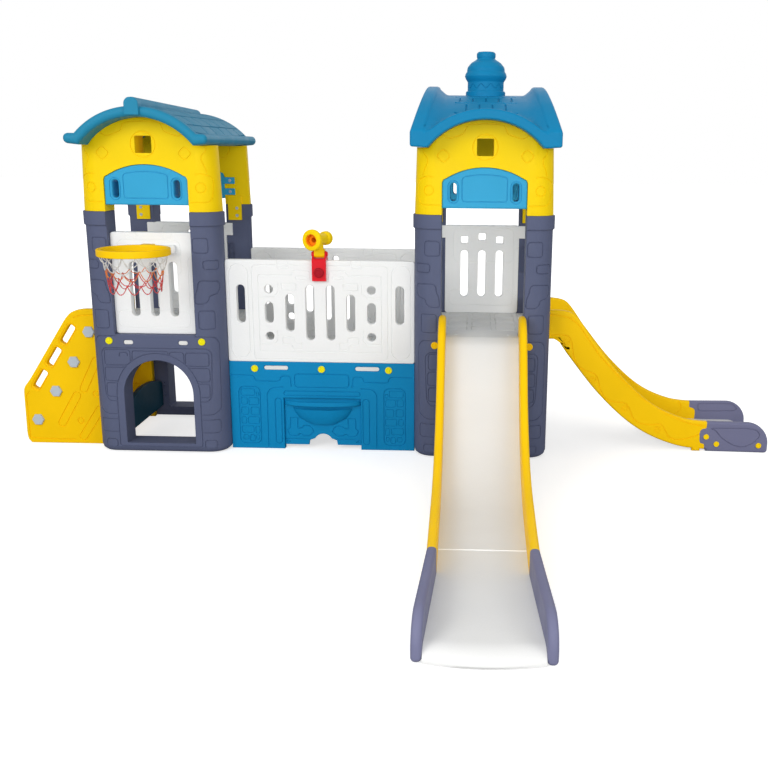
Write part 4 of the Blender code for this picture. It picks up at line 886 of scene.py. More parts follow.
def groove_tool(paths, lay, radius, sides=8, spacing=0.0):
    """Round tubes along paths of (points, closed), each laid on a surface."""
    shape = bmesh.new()
    for points, closed in paths:
        if spacing:
            points = densified(points, closed, spacing)
        laid = thinned([lay(*point) for point in points], closed)
        count = len(laid)
        rings = []
        for index, (here, normal) in enumerate(laid):
            before = laid[index - 1 if index or closed else 0][0]
            after = laid[(index + 1) % count if closed else min(index + 1, count - 1)][0]
            into = (here - before).normalized() or (after - here).normalized()
            onward = (after - here).normalized() or into
            tangent = (into + onward).normalized()
            side = normal.cross(tangent).normalized() * (radius / max(0.5, into.dot(tangent)))
            lift = normal * radius * GROOVE_DEPTH
            ring = []
            for step in range(sides):
                angle = 2 * math.pi * (step + 0.5) / sides
                offset = side * math.cos(angle) + lift * math.sin(angle)
                ring.append(shape.verts.new(here + offset))
            rings.append(ring)
        pairs = list(zip(rings, rings[1:]))
        if closed:
            pairs.append((rings[-1], rings[0]))
        else:
            shape.faces.new(rings[0])
            shape.faces.new(rings[-1])
        for near, far in pairs:
            for index in range(sides):
                after = (index + 1) % sides
                shape.faces.new((near[index], near[after], far[after], far[index]))
    return from_bmesh(shape)


def carved(mesh, lay, loops=(), lines=(), corner=PANEL_CORNER, radius=None, spacing=0.0):
    """The mesh with grooves cut along closed loops and open lines."""
    paths = [(softened(loop, corner, True), True) for loop in loops]
    paths += [(softened(line, corner, False), False) for line in lines]
    tool = groove_tool(paths, lay, radius or sizes().groove, spacing=spacing)
    cut = combined(mesh, "DIFFERENCE", tool)
    lost = volume_of(mesh) - volume_of(cut)
    if not 0.0 <= lost <= MOST_CUT * abs(volume_of(tool)):
        cut = combined(mesh, "DIFFERENCE", tool, crossing=True)
    return cut


# Pieces


def show(name, mesh, material, nodes, body="root"):
    """Puts a finished piece in the scene in place of the frame's nodes."""
    obj = loose_object(name, mesh)
    mesh.name = name
    mesh.materials.clear()
    mesh.materials.append(material)
    mesh.shade_smooth()
    mesh.set_sharp_from_angle(angle=math.radians(SHARP_FROM))
    normals = obj.modifiers.new("Normals", "WEIGHTED_NORMAL")
    normals.keep_sharp = True
    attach(obj, body)
    if nodes:
        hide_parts(*nodes)
    return obj


def show_part(node, mesh, finish, place, kind="moulding", body="root"):
    """Puts a piece in place of a node: its place is an x, a y, a height and a turn in degrees."""
    mesh = moved(mesh, *place)
    show(f"{node}_{kind}", mesh, PLASTICS[finish], [node], body)


def show_front_and_back(places, part, finish, mesh, back_mesh=None):
    """Puts a moulding at the front of each named place and, turned round, at its back."""
    for label, x in places.items():
        show_part(f"{label}_front_{part}", mesh, finish, (x, FRONT_Y))
        show_part(f"{label}_back_{part}", back_mesh or mesh, finish, (x, BACK_Y, 0.0, 180))


# Plastics

PLASTICS = {}
# Values of the plastics that differ from the usual one
PLASTIC_VALUES = {
    "slate": {"roughness": 0.44, "grain": 0.4},
    "white": {"drift": 0.02},
    "cream": {"roughness": 0.36, "drift": 0.03},
    "red": {"roughness": 0.32, "coat": 0.1},
    "bolt_grey": {"roughness": 0.35},
}
DUST_COLOUR = (0.62, 0.60, 0.56, 1.0)


def new_tree(name, kind, inputs, output):
    """A node group with named sockets, and the sockets of its input and output nodes."""
    tree = bpy.data.node_groups.new(name, kind)
    for label, socket_kind, *default in inputs:
        socket = tree.interface.new_socket(
            label, in_out="INPUT", socket_type="NodeSocket" + socket_kind
        )
        if default:
            socket.default_value = default[0]
    label, socket_kind = output
    tree.interface.new_socket(label, in_out="OUTPUT", socket_type="NodeSocket" + socket_kind)
    entry = tree.nodes.new("NodeGroupInput").outputs
    return tree, entry, tree.nodes.new("NodeGroupOutput").inputs


def new_node(tree, kind, inputs=(), **settings):
    """A node whose inputs each take a value or a link from another node's socket."""
    node = tree.nodes.new(kind)
    for label, value in settings.items():
        setattr(node, label, value)
    for label, value in dict(inputs).items():
        if isinstance(value, bpy.types.NodeSocket):
            tree.links.new(value, node.inputs[label])
        else:
            node.inputs[label].default_value = value
    return node


def calculated(tree, operation, first, second):
    """The result of a sum on two values or sockets."""
    return new_node(tree, "ShaderNodeMath", {0: first, 1: second}, operation=operation).outputs[0]


def noise(tree, vector, scale, detail):
    """A noise texture at a size in repeats per metre."""
    inputs = {"Vector": vector, "Scale": scale, "Detail": detail}
    return new_node(tree, "ShaderNodeTexNoise", inputs).outputs["Fac"]


def spread(tree, value, low, high, low_out, high_out):
    """A value stretched from one range to another."""
    inputs = {"Value": value, "From Min": low, "From Max": high}
    inputs |= {"To Min": low_out, "To Max": high_out}
    return new_node(tree, "ShaderNodeMapRange", inputs).outputs["Result"]


def bump(tree, height, strength, distance, **normal):
    """A bumped normal, on top of another Normal where one is given."""
    inputs = {"Height": height, "Strength": strength, "Distance": distance, **normal}
    return new_node(tree, "ShaderNodeBump", inputs).outputs["Normal"]


def skin_group():
    """Fine grain over the faint waviness of a blow moulding, as a normal."""
    inputs = (
        ("Vector", "Vector"),
        ("Grain", "Float", 0.25),
        ("Grain Scale", "Float", 900.0),
        ("Waviness", "Float", 0.2),
        ("Wave Scale", "Float", 14.0),
    )
    tree, entry, leave = new_tree("Moulded Skin", "ShaderNodeTree", inputs, ("Normal", "Vector"))
    waves = noise(tree, entry["Vector"], entry["Wave Scale"], 1.0)
    wavy = bump(tree, waves, entry["Waviness"], 0.004)
    grain = noise(tree, entry["Vector"], entry["Grain Scale"], 3.0)
    tree.links.new(bump(tree, grain, entry["Grain"], 0.0002, Normal=wavy), leave["Normal"])
    return tree


def tone_group():
    """Slow drift of brightness over a moulding, with a little dust on what faces up."""
    inputs = (
        ("Vector", "Vector"),
        ("Color", "Color", (0.5, 0.5, 0.5, 1.0)),
        ("Drift", "Float", 0.05),
        ("Drift Scale", "Float", 5.0),
        ("Speckle", "Float", 0.02),
        ("Dust", "Float", 0.008),
    )
    tree, entry, leave = new_tree("Moulded Tone", "ShaderNodeTree", inputs, ("Color", "Color"))
    place = entry["Vector"]
    darkest = calculated(tree, "SUBTRACT", 1.0, entry["Drift"])
    drift = spread(tree, noise(tree, place, entry["Drift Scale"], 2.0), 0.3, 0.7, darkest, 1.0)
    darkest = calculated(tree, "SUBTRACT", 1.0, entry["Speckle"])
    speckle = spread(tree, noise(tree, place, 260.0, 2.0), 0.35, 0.65, darkest, 1.0)
    level = calculated(tree, "MULTIPLY", drift, speckle)
    tone = new_node(tree, "ShaderNodeHueSaturation", {"Value": level, "Color": entry["Color"]})
    facing = tree.nodes.new("ShaderNodeNewGeometry").outputs["Normal"]
    upward = new_node(tree, "ShaderNodeSeparateXYZ", {"Vector": facing}).outputs["Z"]
    upward = spread(tree, upward, 0.6, 1.0, 0.0, entry["Dust"])
    patches = spread(tree, noise(tree, place, 22.0, 4.0), 0.35, 0.7, 0.2, 1.0)
    dust = calculated(tree, "MULTIPLY", upward, patches)
    # Inputs 6 and 7 and output 2 of a Mix node are its colours
    inputs = {"Factor": dust, 6: tone.outputs["Color"], 7: DUST_COLOUR}
    mix = new_node(tree, "ShaderNodeMix", inputs, data_type="RGBA")
    tree.links.new(mix.outputs[2], leave["Color"])
    return tree


def wear_group():
    """Roughness that varies with handling: hairline rubs and duller patches."""
    inputs = (
        ("Vector", "Vector"),
        ("Roughness", "Float", 0.4),
        ("Rubbed", "Float", 0.08),
        ("Dulled", "Float", 0.08),
    )
    tree, entry, leave = new_tree("Handling Wear", "ShaderNodeTree", inputs, ("Roughness", "Float"))
    inputs = {"Vector": entry["Vector"], "Scale": (6.0, 30.0, 260.0), "Rotation": (0.3, 0.5, 0.2)}
    stretched = new_node(tree, "ShaderNodeMapping", inputs).outputs["Vector"]
    rubs = spread(tree, noise(tree, stretched, 1.0, 2.0), 0.60, 0.72, 0.0, entry["Rubbed"])
    patches = noise(tree, entry["Vector"], 9.0, 3.0)
    patches = spread(tree, patches, 0.35, 0.65, 0.0, entry["Dulled"])
    total = calculated(tree, "ADD", entry["Roughness"], rubs)
    tree.links.new(calculated(tree, "ADD", total, patches), leave["Roughness"])
    return tree


def new_material(name, values):
    """A material, its tree, its shader's inputs with their values, and its place on the object."""
    material = bpy.data.materials.new(name)
    material.use_nodes = True
    tree = material.node_tree
    shader = tree.nodes["Principled BSDF"].inputs
    for label, value in values.items():
        shader[label].default_value = value
    return material, tree, shader, tree.nodes.new("ShaderNodeTexCoord").outputs["Object"]


def plastic(name, colour, groups, roughness=0.42, grain=0.25, drift=0.05, coat=0.0):
    """Moulded plastic with grain, waviness, drifting tone, dust and wear."""
    values = {"Specular IOR Level": 0.11, "Coat Weight": coat, "Coat Roughness": 0.2}
    material, tree, shader, place = new_material(name, values)
    effects = (
        ({"Grain": grain}, "Normal", "Normal"),
        ({"Color": (*colour, 1.0), "Drift": drift}, "Color", "Base Color"),
        ({"Roughness": roughness}, "Roughness", "Roughness"),
    )
    for group, (inputs, output, socket) in zip(groups, effects):
        effect = new_node(tree, "ShaderNodeGroup", {"Vector": place, **inputs}, node_tree=group)
        tree.links.new(effect.outputs[output], shader[socket])
    return material


def build_plastics():
    """One material for each colour of the sidebar: cord for the net, and plastic for the rest."""
    groups = (skin_group(), tone_group(), wear_group())
    for finish in PlayhouseColours.__annotations__:
        colour = getattr(colours(), finish)
        if finish.startswith("cord"):
            PLASTICS[finish] = twine(finish, colour, groups[1])
        else:
            values = PLASTIC_VALUES.get(finish, {})
            PLASTICS[finish] = plastic(finish + "_plastic", colour, groups, **values)


TWINE_RIDGES = 160.0
TWINE_BUMP = (0.6, 0.0008)


def twine(name, colour, tone):
    """Twisted cord: fine ridges across it and a dull finish."""
    material, tree, shader, place = new_material(name, {"Sheen Weight": 0.3, "Roughness": 0.85})
    inputs = {"Vector": place, "Color": (*colour, 1.0), "Drift": 0.12, "Speckle": 0.2}
    shade = new_node(tree, "ShaderNodeGroup", inputs, node_tree=tone)
    tree.links.new(shade.outputs["Color"], shader["Base Color"])
    inputs = {"Vector": place, "Scale": TWINE_RIDGES, "Distortion": 1.0}
    ridges = new_node(tree, "ShaderNodeTexWave", inputs, bands_direction="DIAGONAL")
    tree.links.new(bump(tree, ridges.outputs["Fac"], *TWINE_BUMP), shader["Normal"])
    return material


# Stage

# Floor: where its fade to white starts and ends, its glow near the object, the light that it
# throws on the object and its own shade, as the camera sees it
FLOOR_REACH = 40.0
FLOOR_NEAR = 1.2
FLOOR_FAR = 4.5
FLOOR_GLOW = 0.58
FLOOR_BOUNCE = 0.45
FLOOR_SHADE = 0.68
WORLD_LIGHT = 0.52
LAMP_AIM = Vector((0.0, 0.4, 0.8))
# Each lamp: name, place, size and power
LAMPS = (
    ("key", (-3.4, -4.8, 3.6), 3.2, 172.0),
    ("fill", (4.8, -4.2, 2.8), 3.6, 105.0),
    ("front", (0.4, -5.2, 1.6), 1.8, 70.0),
    ("top", (0.0, 0.2, 6.0), 3.0, 12.0),
    ("back", (1.0, 5.5, 3.6), 4.0, 50.0),
)


def build_stage():
    """Floor, backdrop light, lamps and the photo's camera."""
    scene = bpy.context.scene
    scene.view_settings.view_transform = "Standard"
    floor = loose_object("floor", bpy.data.meshes.new("floor"))
    corners = rectangle(-FLOOR_REACH, -FLOOR_REACH, FLOOR_REACH, FLOOR_REACH)
    floor.data.from_pydata([(x, y, 0.0) for x, y in corners], [], [(0, 1, 2, 3)])
    floor.data.materials.append(floor_material())
    build_world(scene)
    for name, spot, size, power in LAMPS:
        light = bpy.data.lights.new(name, "AREA")
        light.size = size
        light.energy = power
        lamp = loose_object(name, light)
        lamp.location = spot
        lamp.rotation_mode = "QUATERNION"
        lamp.rotation_quaternion = (LAMP_AIM - Vector(spot)).to_track_quat("-Z", "Y")
    build_camera(scene)


def seen_by_camera(tree):
    """1 for rays that show the backdrop, and 0 for light that falls on the object."""
    path = tree.nodes.new("ShaderNodeLightPath").outputs
    return calculated(tree, "MAXIMUM", path["Is Camera Ray"], path["Is Transmission Ray"])


def floor_material():
    """Floor that shows the object's shadow near it and fades to white away from it."""
    values = {"Roughness": 1.0, "Specular IOR Level": 0.0, "Emission Color": (1.0, 1.0, 1.0, 1.0)}
    material, tree, shader, place = new_material("floor", values)
    seen = seen_by_camera(tree)
    distance = new_node(tree, "ShaderNodeVectorMath", {0: place}, operation="LENGTH")
    fade = spread(tree, distance.outputs["Value"], FLOOR_NEAR, FLOOR_FAR, FLOOR_GLOW, 1.0)
    tree.links.new(spread(tree, seen, 0.0, 1.0, 0.0, fade), shader["Emission Strength"])
    level = spread(tree, seen, 0.0, 1.0, FLOOR_BOUNCE, FLOOR_SHADE)
    shade = new_node(tree, "ShaderNodeCombineColor", {"Red": level, "Green": level, "Blue": level})
    tree.links.new(shade.outputs["Color"], shader["Base Color"])
    return material


def build_world(scene):
    """Soft light from all round, behind a white backdrop."""
    scene.world = bpy.data.worlds.new("studio")
    scene.world.use_nodes = True
    tree = scene.world.node_tree
    backdrop = tree.nodes["Background"].inputs
    backdrop["Color"].default_value = (1.0, 1.0, 1.0, 1.0)
    strength = spread(tree, seen_by_camera(tree), 0.0, 1.0, WORLD_LIGHT, 1.0)
    tree.links.new(strength, backdrop["Strength"])


CAMERA_SPOT = (0.757, -4.578, 1.539)
CAMERA_PITCH = 13.56
CAMERA_YAW = 1.749
CAMERA_ROLL = 0.512
CAMERA_LENS = 44.098
SENSOR_WIDTH = 36.0
FARTHEST_SEEN = 200.0
CAMERA_SHIFT = (-0.0743, -0.0116)


def build_camera(scene):
    """The photo's camera, from its place before the towers and its three angles."""
    data = bpy.data.cameras.new("camera")
    data.lens = CAMERA_LENS
    data.sensor_width = SENSOR_WIDTH
    data.shift_x, data.shift_y = CAMERA_SHIFT
    data.clip_end = FARTHEST_SEEN
    scene.camera = loose_object("camera", data)
    yaw, pitch, roll = (math.radians(angle) for angle in (CAMERA_YAW, CAMERA_PITCH, CAMERA_ROLL))
    level = Vector((math.cos(yaw), math.sin(yaw), 0.0))
    ahead = Vector((-level.y * math.cos(pitch), level.x * math.cos(pitch), -math.sin(pitch)))
    upright = level.cross(ahead)
    right = level * math.cos(roll) + upright * math.sin(roll)
    up = upright * math.cos(roll) - level * math.sin(roll)
    matrix = Matrix((right, up, -ahead)).transposed().to_4x4()
    matrix.translation = Vector(CAMERA_SPOT) + Vector((BRIDGE_X, FRONT_Y, 0.0))
    scene.camera.matrix_world = matrix


# Towers


def wall_ring(half, grow, height):
    """Plan outline of a wall: flat inside, round outer corners, grown on all but the inside."""
    radius = CORNER_RADIUS + grow
    points = [(-half - grow, WALL_DEPTH)]
    points += arc(-half + CORNER_RADIUS, CORNER_RADIUS, radius, 180, 270)
    points += arc(half - CORNER_RADIUS, CORNER_RADIUS, radius, 270, 360)
    points += [(half + grow, WALL_DEPTH)]
    return [(x, y, height) for x, y in points]


def door_arch(half, bottom, steps):
    """Outline of the door's opening or of the frame round it."""
    return [(-half, bottom), (half, bottom)] + arc(0.0, DOOR_SPRING, half, 0, 180, steps)


def tab_slots(grow):
    """Round-ended outlines of the deck's tabs, or of the slots for them."""
    slots = []
    for side in (-1, 1):
        left = side * TAB_X - TAB_WIDTH / 2 - grow
        right = side * TAB_X + TAB_WIDTH / 2 + grow
        top = DECK_BOTTOM + TAB_HEIGHT + grow
        radius = TAB_HEIGHT * TAB_END + grow
        slots.append(rounded(left, DECK_BOTTOM - grow, right, top, radius))
    return slots


def on_wall(s, z):
    """The place on a wall at a distance along its front from the middle, round its corners."""
    flat = TOWER_HALF - CORNER_RADIUS
    bend = CORNER_RADIUS * math.pi / 2
    side = 1 if s >= 0 else -1
    run = abs(s) - flat
    if run <= 0:
        return Vector((s, 0.0, z)), Vector((0.0, -1.0, 0.0))
    if run > bend:
        return Vector((side * TOWER_HALF, CORNER_RADIUS + run - bend, z)), Vector((side, 0.0, 0.0))
    angle = run / CORNER_RADIUS
    normal = Vector((side * math.sin(angle), -math.cos(angle), 0.0))
    middle = Vector((side * flat, CORNER_RADIUS, z))
    return middle + normal * CORNER_RADIUS, normal


# Relief of a wall, as distance along the front from the middle and height
DOOR_FRAME_HALF = 0.2135
DOOR_FRAME_BOTTOM = 0.032
POST_CLOUD = (
    (0.214, 0.822), (0.228, 0.853), (0.231, 0.883), (0.248, 0.892), (0.337, 0.888), (0.345, 0.854),
    (0.328, 0.826), (0.301, 0.820), (0.283, 0.814), (0.278, 0.791), (0.257, 0.776), (0.211, 0.776),
)
POST_BLOCKS = (
    (0.213, 1.028, 0.288, 1.100), (0.260, 0.947, 0.343, 0.990), (0.226, 0.649, 0.307, 0.741),
    (0.227, 0.026, 0.288, 0.069),
)
# Stones beside the door; each line starts and ends on the door's frame
DOOR_STONES = (
    ((-0.151, 0.460), (-0.265, 0.460), (-0.265, 0.540), (-0.133, 0.540), (-0.133, 0.476)),
    ((0.151, 0.459), (0.266, 0.459), (0.266, 0.527), (0.148, 0.527), (0.148, 0.463)),
    ((-0.123, 0.4835), (-0.123, 0.534), (0.059, 0.534), (0.059, 0.514)),
    ((-0.187, 0.505), (-0.187, 0.526), (-0.147, 0.526), (-0.147, 0.508)),
    ((0.068, 0.5112), (0.068, 0.530), (0.140, 0.530), (0.140, 0.4702)),
)
PAIRED_STONES = (
    ((0.203, 0.378), (0.268, 0.378), (0.268, 0.448), (0.166, 0.448)),
    ((0.2135, 0.296), (0.264, 0.296), (0.264, 0.367), (0.206, 0.367)),
    ((0.2135, 0.109), (0.313, 0.109), (0.313, 0.177), (0.2135, 0.177)),
)
PANEL_LINE = (
    (0.201, 0.611), (0.300, 0.607), (0.325, 0.577), (0.320, 0.235), (0.281, 0.206), (0.2135, 0.203),
)
INNER_LINE = (
    (0.0, 0.549), (0.262, 0.549), (0.282, 0.526), (0.273, 0.304), (0.254, 0.274), (0.2135, 0.272),
)
CORNER_SPACING = 0.010
# Pockets on a wall's inside: distance from the middle, bottom and top
INNER_POCKETS = ((0.207, 0.114, 0.210), (0.2285, 0.866, 1.013))
POCKET_WIDTH = 0.034
POCKET_DEPTH = 0.012
POCKET_STUDS = 4
STUD_RADIUS = 0.0045


def pocketed(wall):
    """The wall with pill-shaped pockets on its inside, each with a row of studs."""
    floor = WALL_DEPTH - POCKET_DEPTH
    pockets = []
    studs = []
    for middle, low, high in INNER_POCKETS:
        for x in (-middle, middle):
            slot = upright_slot(x, low, high, POCKET_WIDTH)
            pockets.append(plate("XZ", slot, [], floor, WALL_DEPTH + BIG))
            for step in range(1, POCKET_STUDS + 1):
                z = low + (high - low) * step / (POCKET_STUDS + 1)
                profile = [(STUD_RADIUS, floor - GAP), (STUD_RADIUS, floor + POCKET_DEPTH / 2)]
                studs.append(turned(profile, ARC_STEPS, "Y", (x, 0.0, z)))
    wall = cut_out(wall, pockets)
    return joined(wall, studs)


def wall_mesh():
    """The wall of a tower: two posts, a beam and a framed arch door, with its moulded relief."""
    grows = [(grow * FOOT_ROUNDING, height * FOOT_ROUNDING) for grow, height in FOOT_SHARES]
    grows += [
        (0.0, COLLAR_BOTTOM),
        (COLLAR_PROUD, COLLAR_BOTTOM + COLLAR_PROUD / 2),
        (COLLAR_PROUD, COLLAR_TOP),
    ]
    wall = bridged([wall_ring(TOWER_HALF, grow, height) for grow, height in grows])
    far = TOWER_HALF + BIG
    top = COLLAR_TOP + BIG
    side = [(far, -BIG), (far, top), (OPENING_HALF, top), (OPENING_HALF, BEAM_TOP)]
    holes = [door_arch(DOOR_HALF, DOOR_SILL, DOOR_STEPS)] + tab_slots(GAP)
    tool = plate("XZ", side + flipped(side), holes, -BIG, WALL_DEPTH + BIG)
    wall = pocketed(eased(combined(wall, "INTERSECT", tool)))
    blocks = []
    for left, bottom, right, top in POST_BLOCKS:
        blocks += both_sides(rectangle(left, bottom, right, top))
    blocks += both_sides(POST_CLOUD)
    frame = door_arch(DOOR_FRAME_HALF, DOOR_FRAME_BOTTOM, ROUND_STEPS)
    wall = carved(wall, on_wall, [frame] + blocks, spacing=CORNER_SPACING)
    lines = both_sides(PANEL_LINE) + [mirrored(INNER_LINE)]
    wall = carved(wall, on_wall, (), lines, spacing=CORNER_SPACING)
    stones = list(DOOR_STONES)
    for stone in PAIRED_STONES:
        stones += both_sides(stone)
    return carved(wall, on_wall, (), stones, spacing=CORNER_SPACING)


def eyebrow(half, grow):
    """The arched top of the gable's opening, from its right side over to its left."""
    shoulder_x = ARCH_SHOULDER_X + grow
    shoulder_z = ARCH_SHOULDER_Z + grow
    rise = ARCH_TOP + grow - shoulder_z
    radius = (shoulder_x**2 + rise**2) / (2 * rise)
    bend_x = half - (half - shoulder_x) * ARCH_BEND
    points = [(half, shoulder_z - ARCH_CORNER), (bend_x, shoulder_z - ARCH_CORNER * ARCH_BEND)]
    points += crest(0.0, ARCH_TOP + grow - radius, radius, shoulder_x, ARCH_STEPS)
    return points + flipped(points[:2])


def roof_arc(radius, half_width):
    """The barrel's arc from its right end over to its left, ending at a half width."""
    return crest(0.0, ROOF_CENTRE_Z, radius, half_width, ROOF_STEPS)


# Relief of a gable, as distance from its middle and height
CROWN_LINE = (
    (0.0, 1.653), (0.078, 1.649), (0.094, 1.638), (0.099, 1.617), (0.108, 1.604), (0.177, 1.581),
    (0.200, 1.599), (0.219, 1.599), (0.293, 1.540), (0.297, 1.518), (0.272, 1.492), (0.276, 1.465),
    (0.288, 1.444), (0.296, 1.412),
)
SIDE_PANEL_LINE = (
    (0.245, 1.406), (0.275, 1.409), (0.312, 1.395), (0.320, 1.378), (0.315, 1.292), (0.300, 1.273),
    (0.212, 1.272),
)
# Embossed panel on a gable's inside
BACK_PANEL = ((0.115, 1.500), (0.215, 1.470), (0.245, 1.530), (0.130, 1.610))
WINDOW_RING = 0.060
WINDOW_CORNER = 0.0056
DIAMOND_X = 0.199
DIAMOND_Z = 1.504
DIAMOND_REACH = 0.034
BOSS_X = 0.267
BOSS_Z = 1.342
BOSS_RADIUS = 0.023
MOST_TURN = 0.99


def on_gable(x, z):
    """The place on a gable's front at a distance from its middle, round its corners."""
    lean = (TOWER_HALF - GABLE_TOP_HALF) / (EAVE_Z - COLLAR_TOP)
    half = TOWER_HALF - max(0.0, z - COLLAR_TOP) * lean
    run = abs(x) - (half - CORNER_RADIUS)
    if run <= 0:
        return Vector((x, 0.0, z)), Vector((0.0, -1.0, 0.0))
    turn = min(run / CORNER_RADIUS, MOST_TURN)
    drop = math.sqrt(1.0 - turn**2)
    side = 1 if x >= 0 else -1
    return Vector((x, CORNER_RADIUS * (1.0 - drop), z)), Vector((side * turn, -drop, 0.0))


def gable_mesh(has_window):
    """A yellow gable with its arch, tongues, moulded relief and, at the front, a window."""
    seat = COLLAR_TOP + GAP
    lean = (TOWER_HALF - GABLE_TOP_HALF) / (EAVE_Z - seat)
    top = ROOF_CENTRE_Z + ROOF_RADIUS + BIG
    rings = [
        wall_ring(TOWER_HALF + BIG * lean, 0.0, seat - BIG),
        wall_ring(TOWER_HALF - (top - seat) * lean, 0.0, top),
    ]
    far = TOWER_HALF + BIG
    side = [(OPENING_HALF, seat), (far, seat), (far, EAVE_Z - GAP)]
    outline = side + [(x, z - GAP) for x, z in roof_arc(ROOF_RADIUS, EAVE_INNER_X)]
    outline += flipped(side) + eyebrow(OPENING_HALF, 0.0)[::-1]
    half = WINDOW_SIZE / 2
    window = rounded(-half, WINDOW_Z - half, half, WINDOW_Z + half, WINDOW_CORNER)
    holes = [window] if has_window else []
    tool = plate("XZ", outline, holes, -BIG, WALL_DEPTH + BIG)
    gable = eased(combined(bridged(rings), "INTERSECT", tool))
    gable = joined(gable, gable_tongues(seat))
    loops = both_sides(circle(DIAMOND_X, DIAMOND_Z, DIAMOND_REACH, 4))
    if has_window:
        loops.append(circle(0.0, WINDOW_Z, WINDOW_RING))
    loops += both_sides(circle(BOSS_X, BOSS_Z, BOSS_RADIUS, SMALL_STEPS))
    lines = both_sides(SIDE_PANEL_LINE) + [mirrored(CROWN_LINE)]
    gable = carved(gable, on_gable, loops, lines, spacing=CORNER_SPACING)
    return carved(gable, flat_back(WALL_DEPTH), both_sides(BACK_PANEL))


def gable_tongues(seat):
    """Two strips on the inside that hang down over the wall's posts."""
    inner = WALL_DEPTH + GAP
    buried = WALL_DEPTH - TONGUE_THICKNESS
    outer = WALL_DEPTH + TONGUE_THICKNESS
    profile = [(inner, TONGUE_BOTTOM), (outer, TONGUE_BOTTOM), (outer, TONGUE_TOP)]
    profile += [(buried, TONGUE_TOP), (buried, seat + GAP), (inner, seat + GAP)]
    strips = []
    for side in (-1, 1):
        left = side * TONGUE_X - TONGUE_WIDTH / 2
        strips.append(plate("YZ", profile, [], left, left + TONGUE_WIDTH, TONGUE_ROUNDING, 1))
    return strips


VISOR_PANEL = (
    (-0.108, 1.290), (0.108, 1.290), (0.108, 1.404), (0.060, 1.414), (0.0, 1.418), (-0.060, 1.414),
    (-0.108, 1.404),
)
VISOR_RIM_HALF = 0.0255
VISOR_ROUNDING = 0.009


def visor_mesh():
    """A blue visor with two grip holes, a moulded panel and the tabs that hold it."""
    outline = [(-FENCE_HALF, VISOR_BOTTOM), (FENCE_HALF, VISOR_BOTTOM)] + eyebrow(FENCE_HALF, -GAP)
    holes = []
    rims = []
    low = VISOR_HOLE_Z - VISOR_HOLE_HEIGHT / 2
    high = VISOR_HOLE_Z + VISOR_HOLE_HEIGHT / 2
    edge = VISOR_RIM_HALF - VISOR_HOLE_WIDTH / 2
    for middle in (-VISOR_HOLE_X, VISOR_HOLE_X):
        holes.append(upright_slot(middle, low, high, VISOR_HOLE_WIDTH))
        rims.append(upright_slot(middle, low - edge, high + edge, 2 * VISOR_RIM_HALF))
    visor = plate("XZ", outline, holes, VISOR_FRONT, VISOR_BACK, VISOR_ROUNDING, 4)
    root = OPENING_HALF - VISOR_TAB_ROOT
    near = WALL_DEPTH + GAP
    far = WALL_DEPTH + VISOR_TAB_THICKNESS
    tabs = []
    for level in VISOR_TAB_LEVELS:
        bottom = level - VISOR_TAB_HEIGHT / 2
        top = bottom + VISOR_TAB_HEIGHT
        tabs += side_tabs(root, VISOR_TAB_REACH, near, far, bottom, top, TONGUE_ROUNDING)
    visor = joined(visor, tabs)
    return carved(visor, flat_front(VISOR_FRONT), [VISOR_PANEL] + rims)


# Columns to either side of the middle, their pitch and half a tread's width
TOWER_TREADS = (2, 0.125, 0.05)
BRIDGE_TREADS = (3, 0.13, 0.052)


def tread_loops(columns, pitch, half):
    """Outlines of the square treads moulded in a deck, with as many columns to either side."""
    loops = []
    for column in range(-columns, columns + 1):
        for row in range(TREAD_ROWS):
            x = column * pitch
            y = TREAD_FIRST_Y + row * TREAD_ROW_PITCH
            loops.append(rounded(x - half, y - half, x + half, y + half, LINE_CORNER, 3))
    return loops


def deck_mesh():
    """A deck with the tabs that hook through the beams and raised treads on its top."""
    inner = WALL_DEPTH + GAP
    outline = rounded(-DECK_HALF, inner, DECK_HALF, TOWER_DEPTH - inner, DECK_CORNER)
    deck = plate("XY", outline, [], DECK_BOTTOM, DECK_TOP, SMALL_ROUNDING)
    tabs = []
    for slot in tab_slots(0.0):
        tab = plate("XZ", slot, [], TAB_SETBACK, TOWER_DEPTH - TAB_SETBACK, TAB_ROUNDING)
        tabs.append(tab)
    deck = joined(deck, tabs)
    low = (-FENCE_HALF, DECK_TONGUE_Y, BEAM_TOP + GAP)
    tongue = box(low, (FENCE_HALF, 2 * WALL_DEPTH, DECK_TOP), TAB_ROUNDING)
    deck = joined(deck, [tongue])
    return carved(deck, flat_top(DECK_TOP), tread_loops(*TOWER_TREADS), corner=SMALL_CORNER)


def build_decks():
    mesh = deck_mesh()
    for side, x in TOWER_X.items():
        show_part(side + "_deck", mesh, "cream", (x, FRONT_Y))


def fence_slots(bottom, top):
    steps = (-FENCE_SLOT_PITCH, 0.0, FENCE_SLOT_PITCH)
    return [upright_slot(x, bottom, top, FENCE_SLOT_WIDTH) for x in steps]


FRONT_FENCE_PANELS = ((-0.170, 0.914, 0.143, 1.088), (-0.188, 0.650, 0.176, 0.737))
FRONT_FENCE_TABS = (
    ((-0.128, 1.13), (-0.122, 1.098), (-0.072, 1.098), (-0.066, 1.13)),
    ((0.055, 1.13), (0.061, 1.098), (0.103, 1.098), (0.109, 1.13)),
)
FRONT_FENCE_SIDE = ((0.21, 1.012), (0.178, 0.996), (0.178, 0.745), (0.21, 0.729))


BACK_FENCE_PANELS = ((-0.157, 0.923, 0.176, 1.108), (-0.181, 0.680, 0.176, 0.768))


def fence_relief(mesh, depth, panels):
    """The moulded lines of a railing panel's front."""
    loops = [rounded(*panel, FENCE_PANEL_CORNER) for panel in panels]
    lines = list(FRONT_FENCE_TABS) + [FRONT_FENCE_SIDE]
    return carved(mesh, flat_front(depth), loops, lines, corner=LINE_CORNER, radius=FINE_GROOVE)


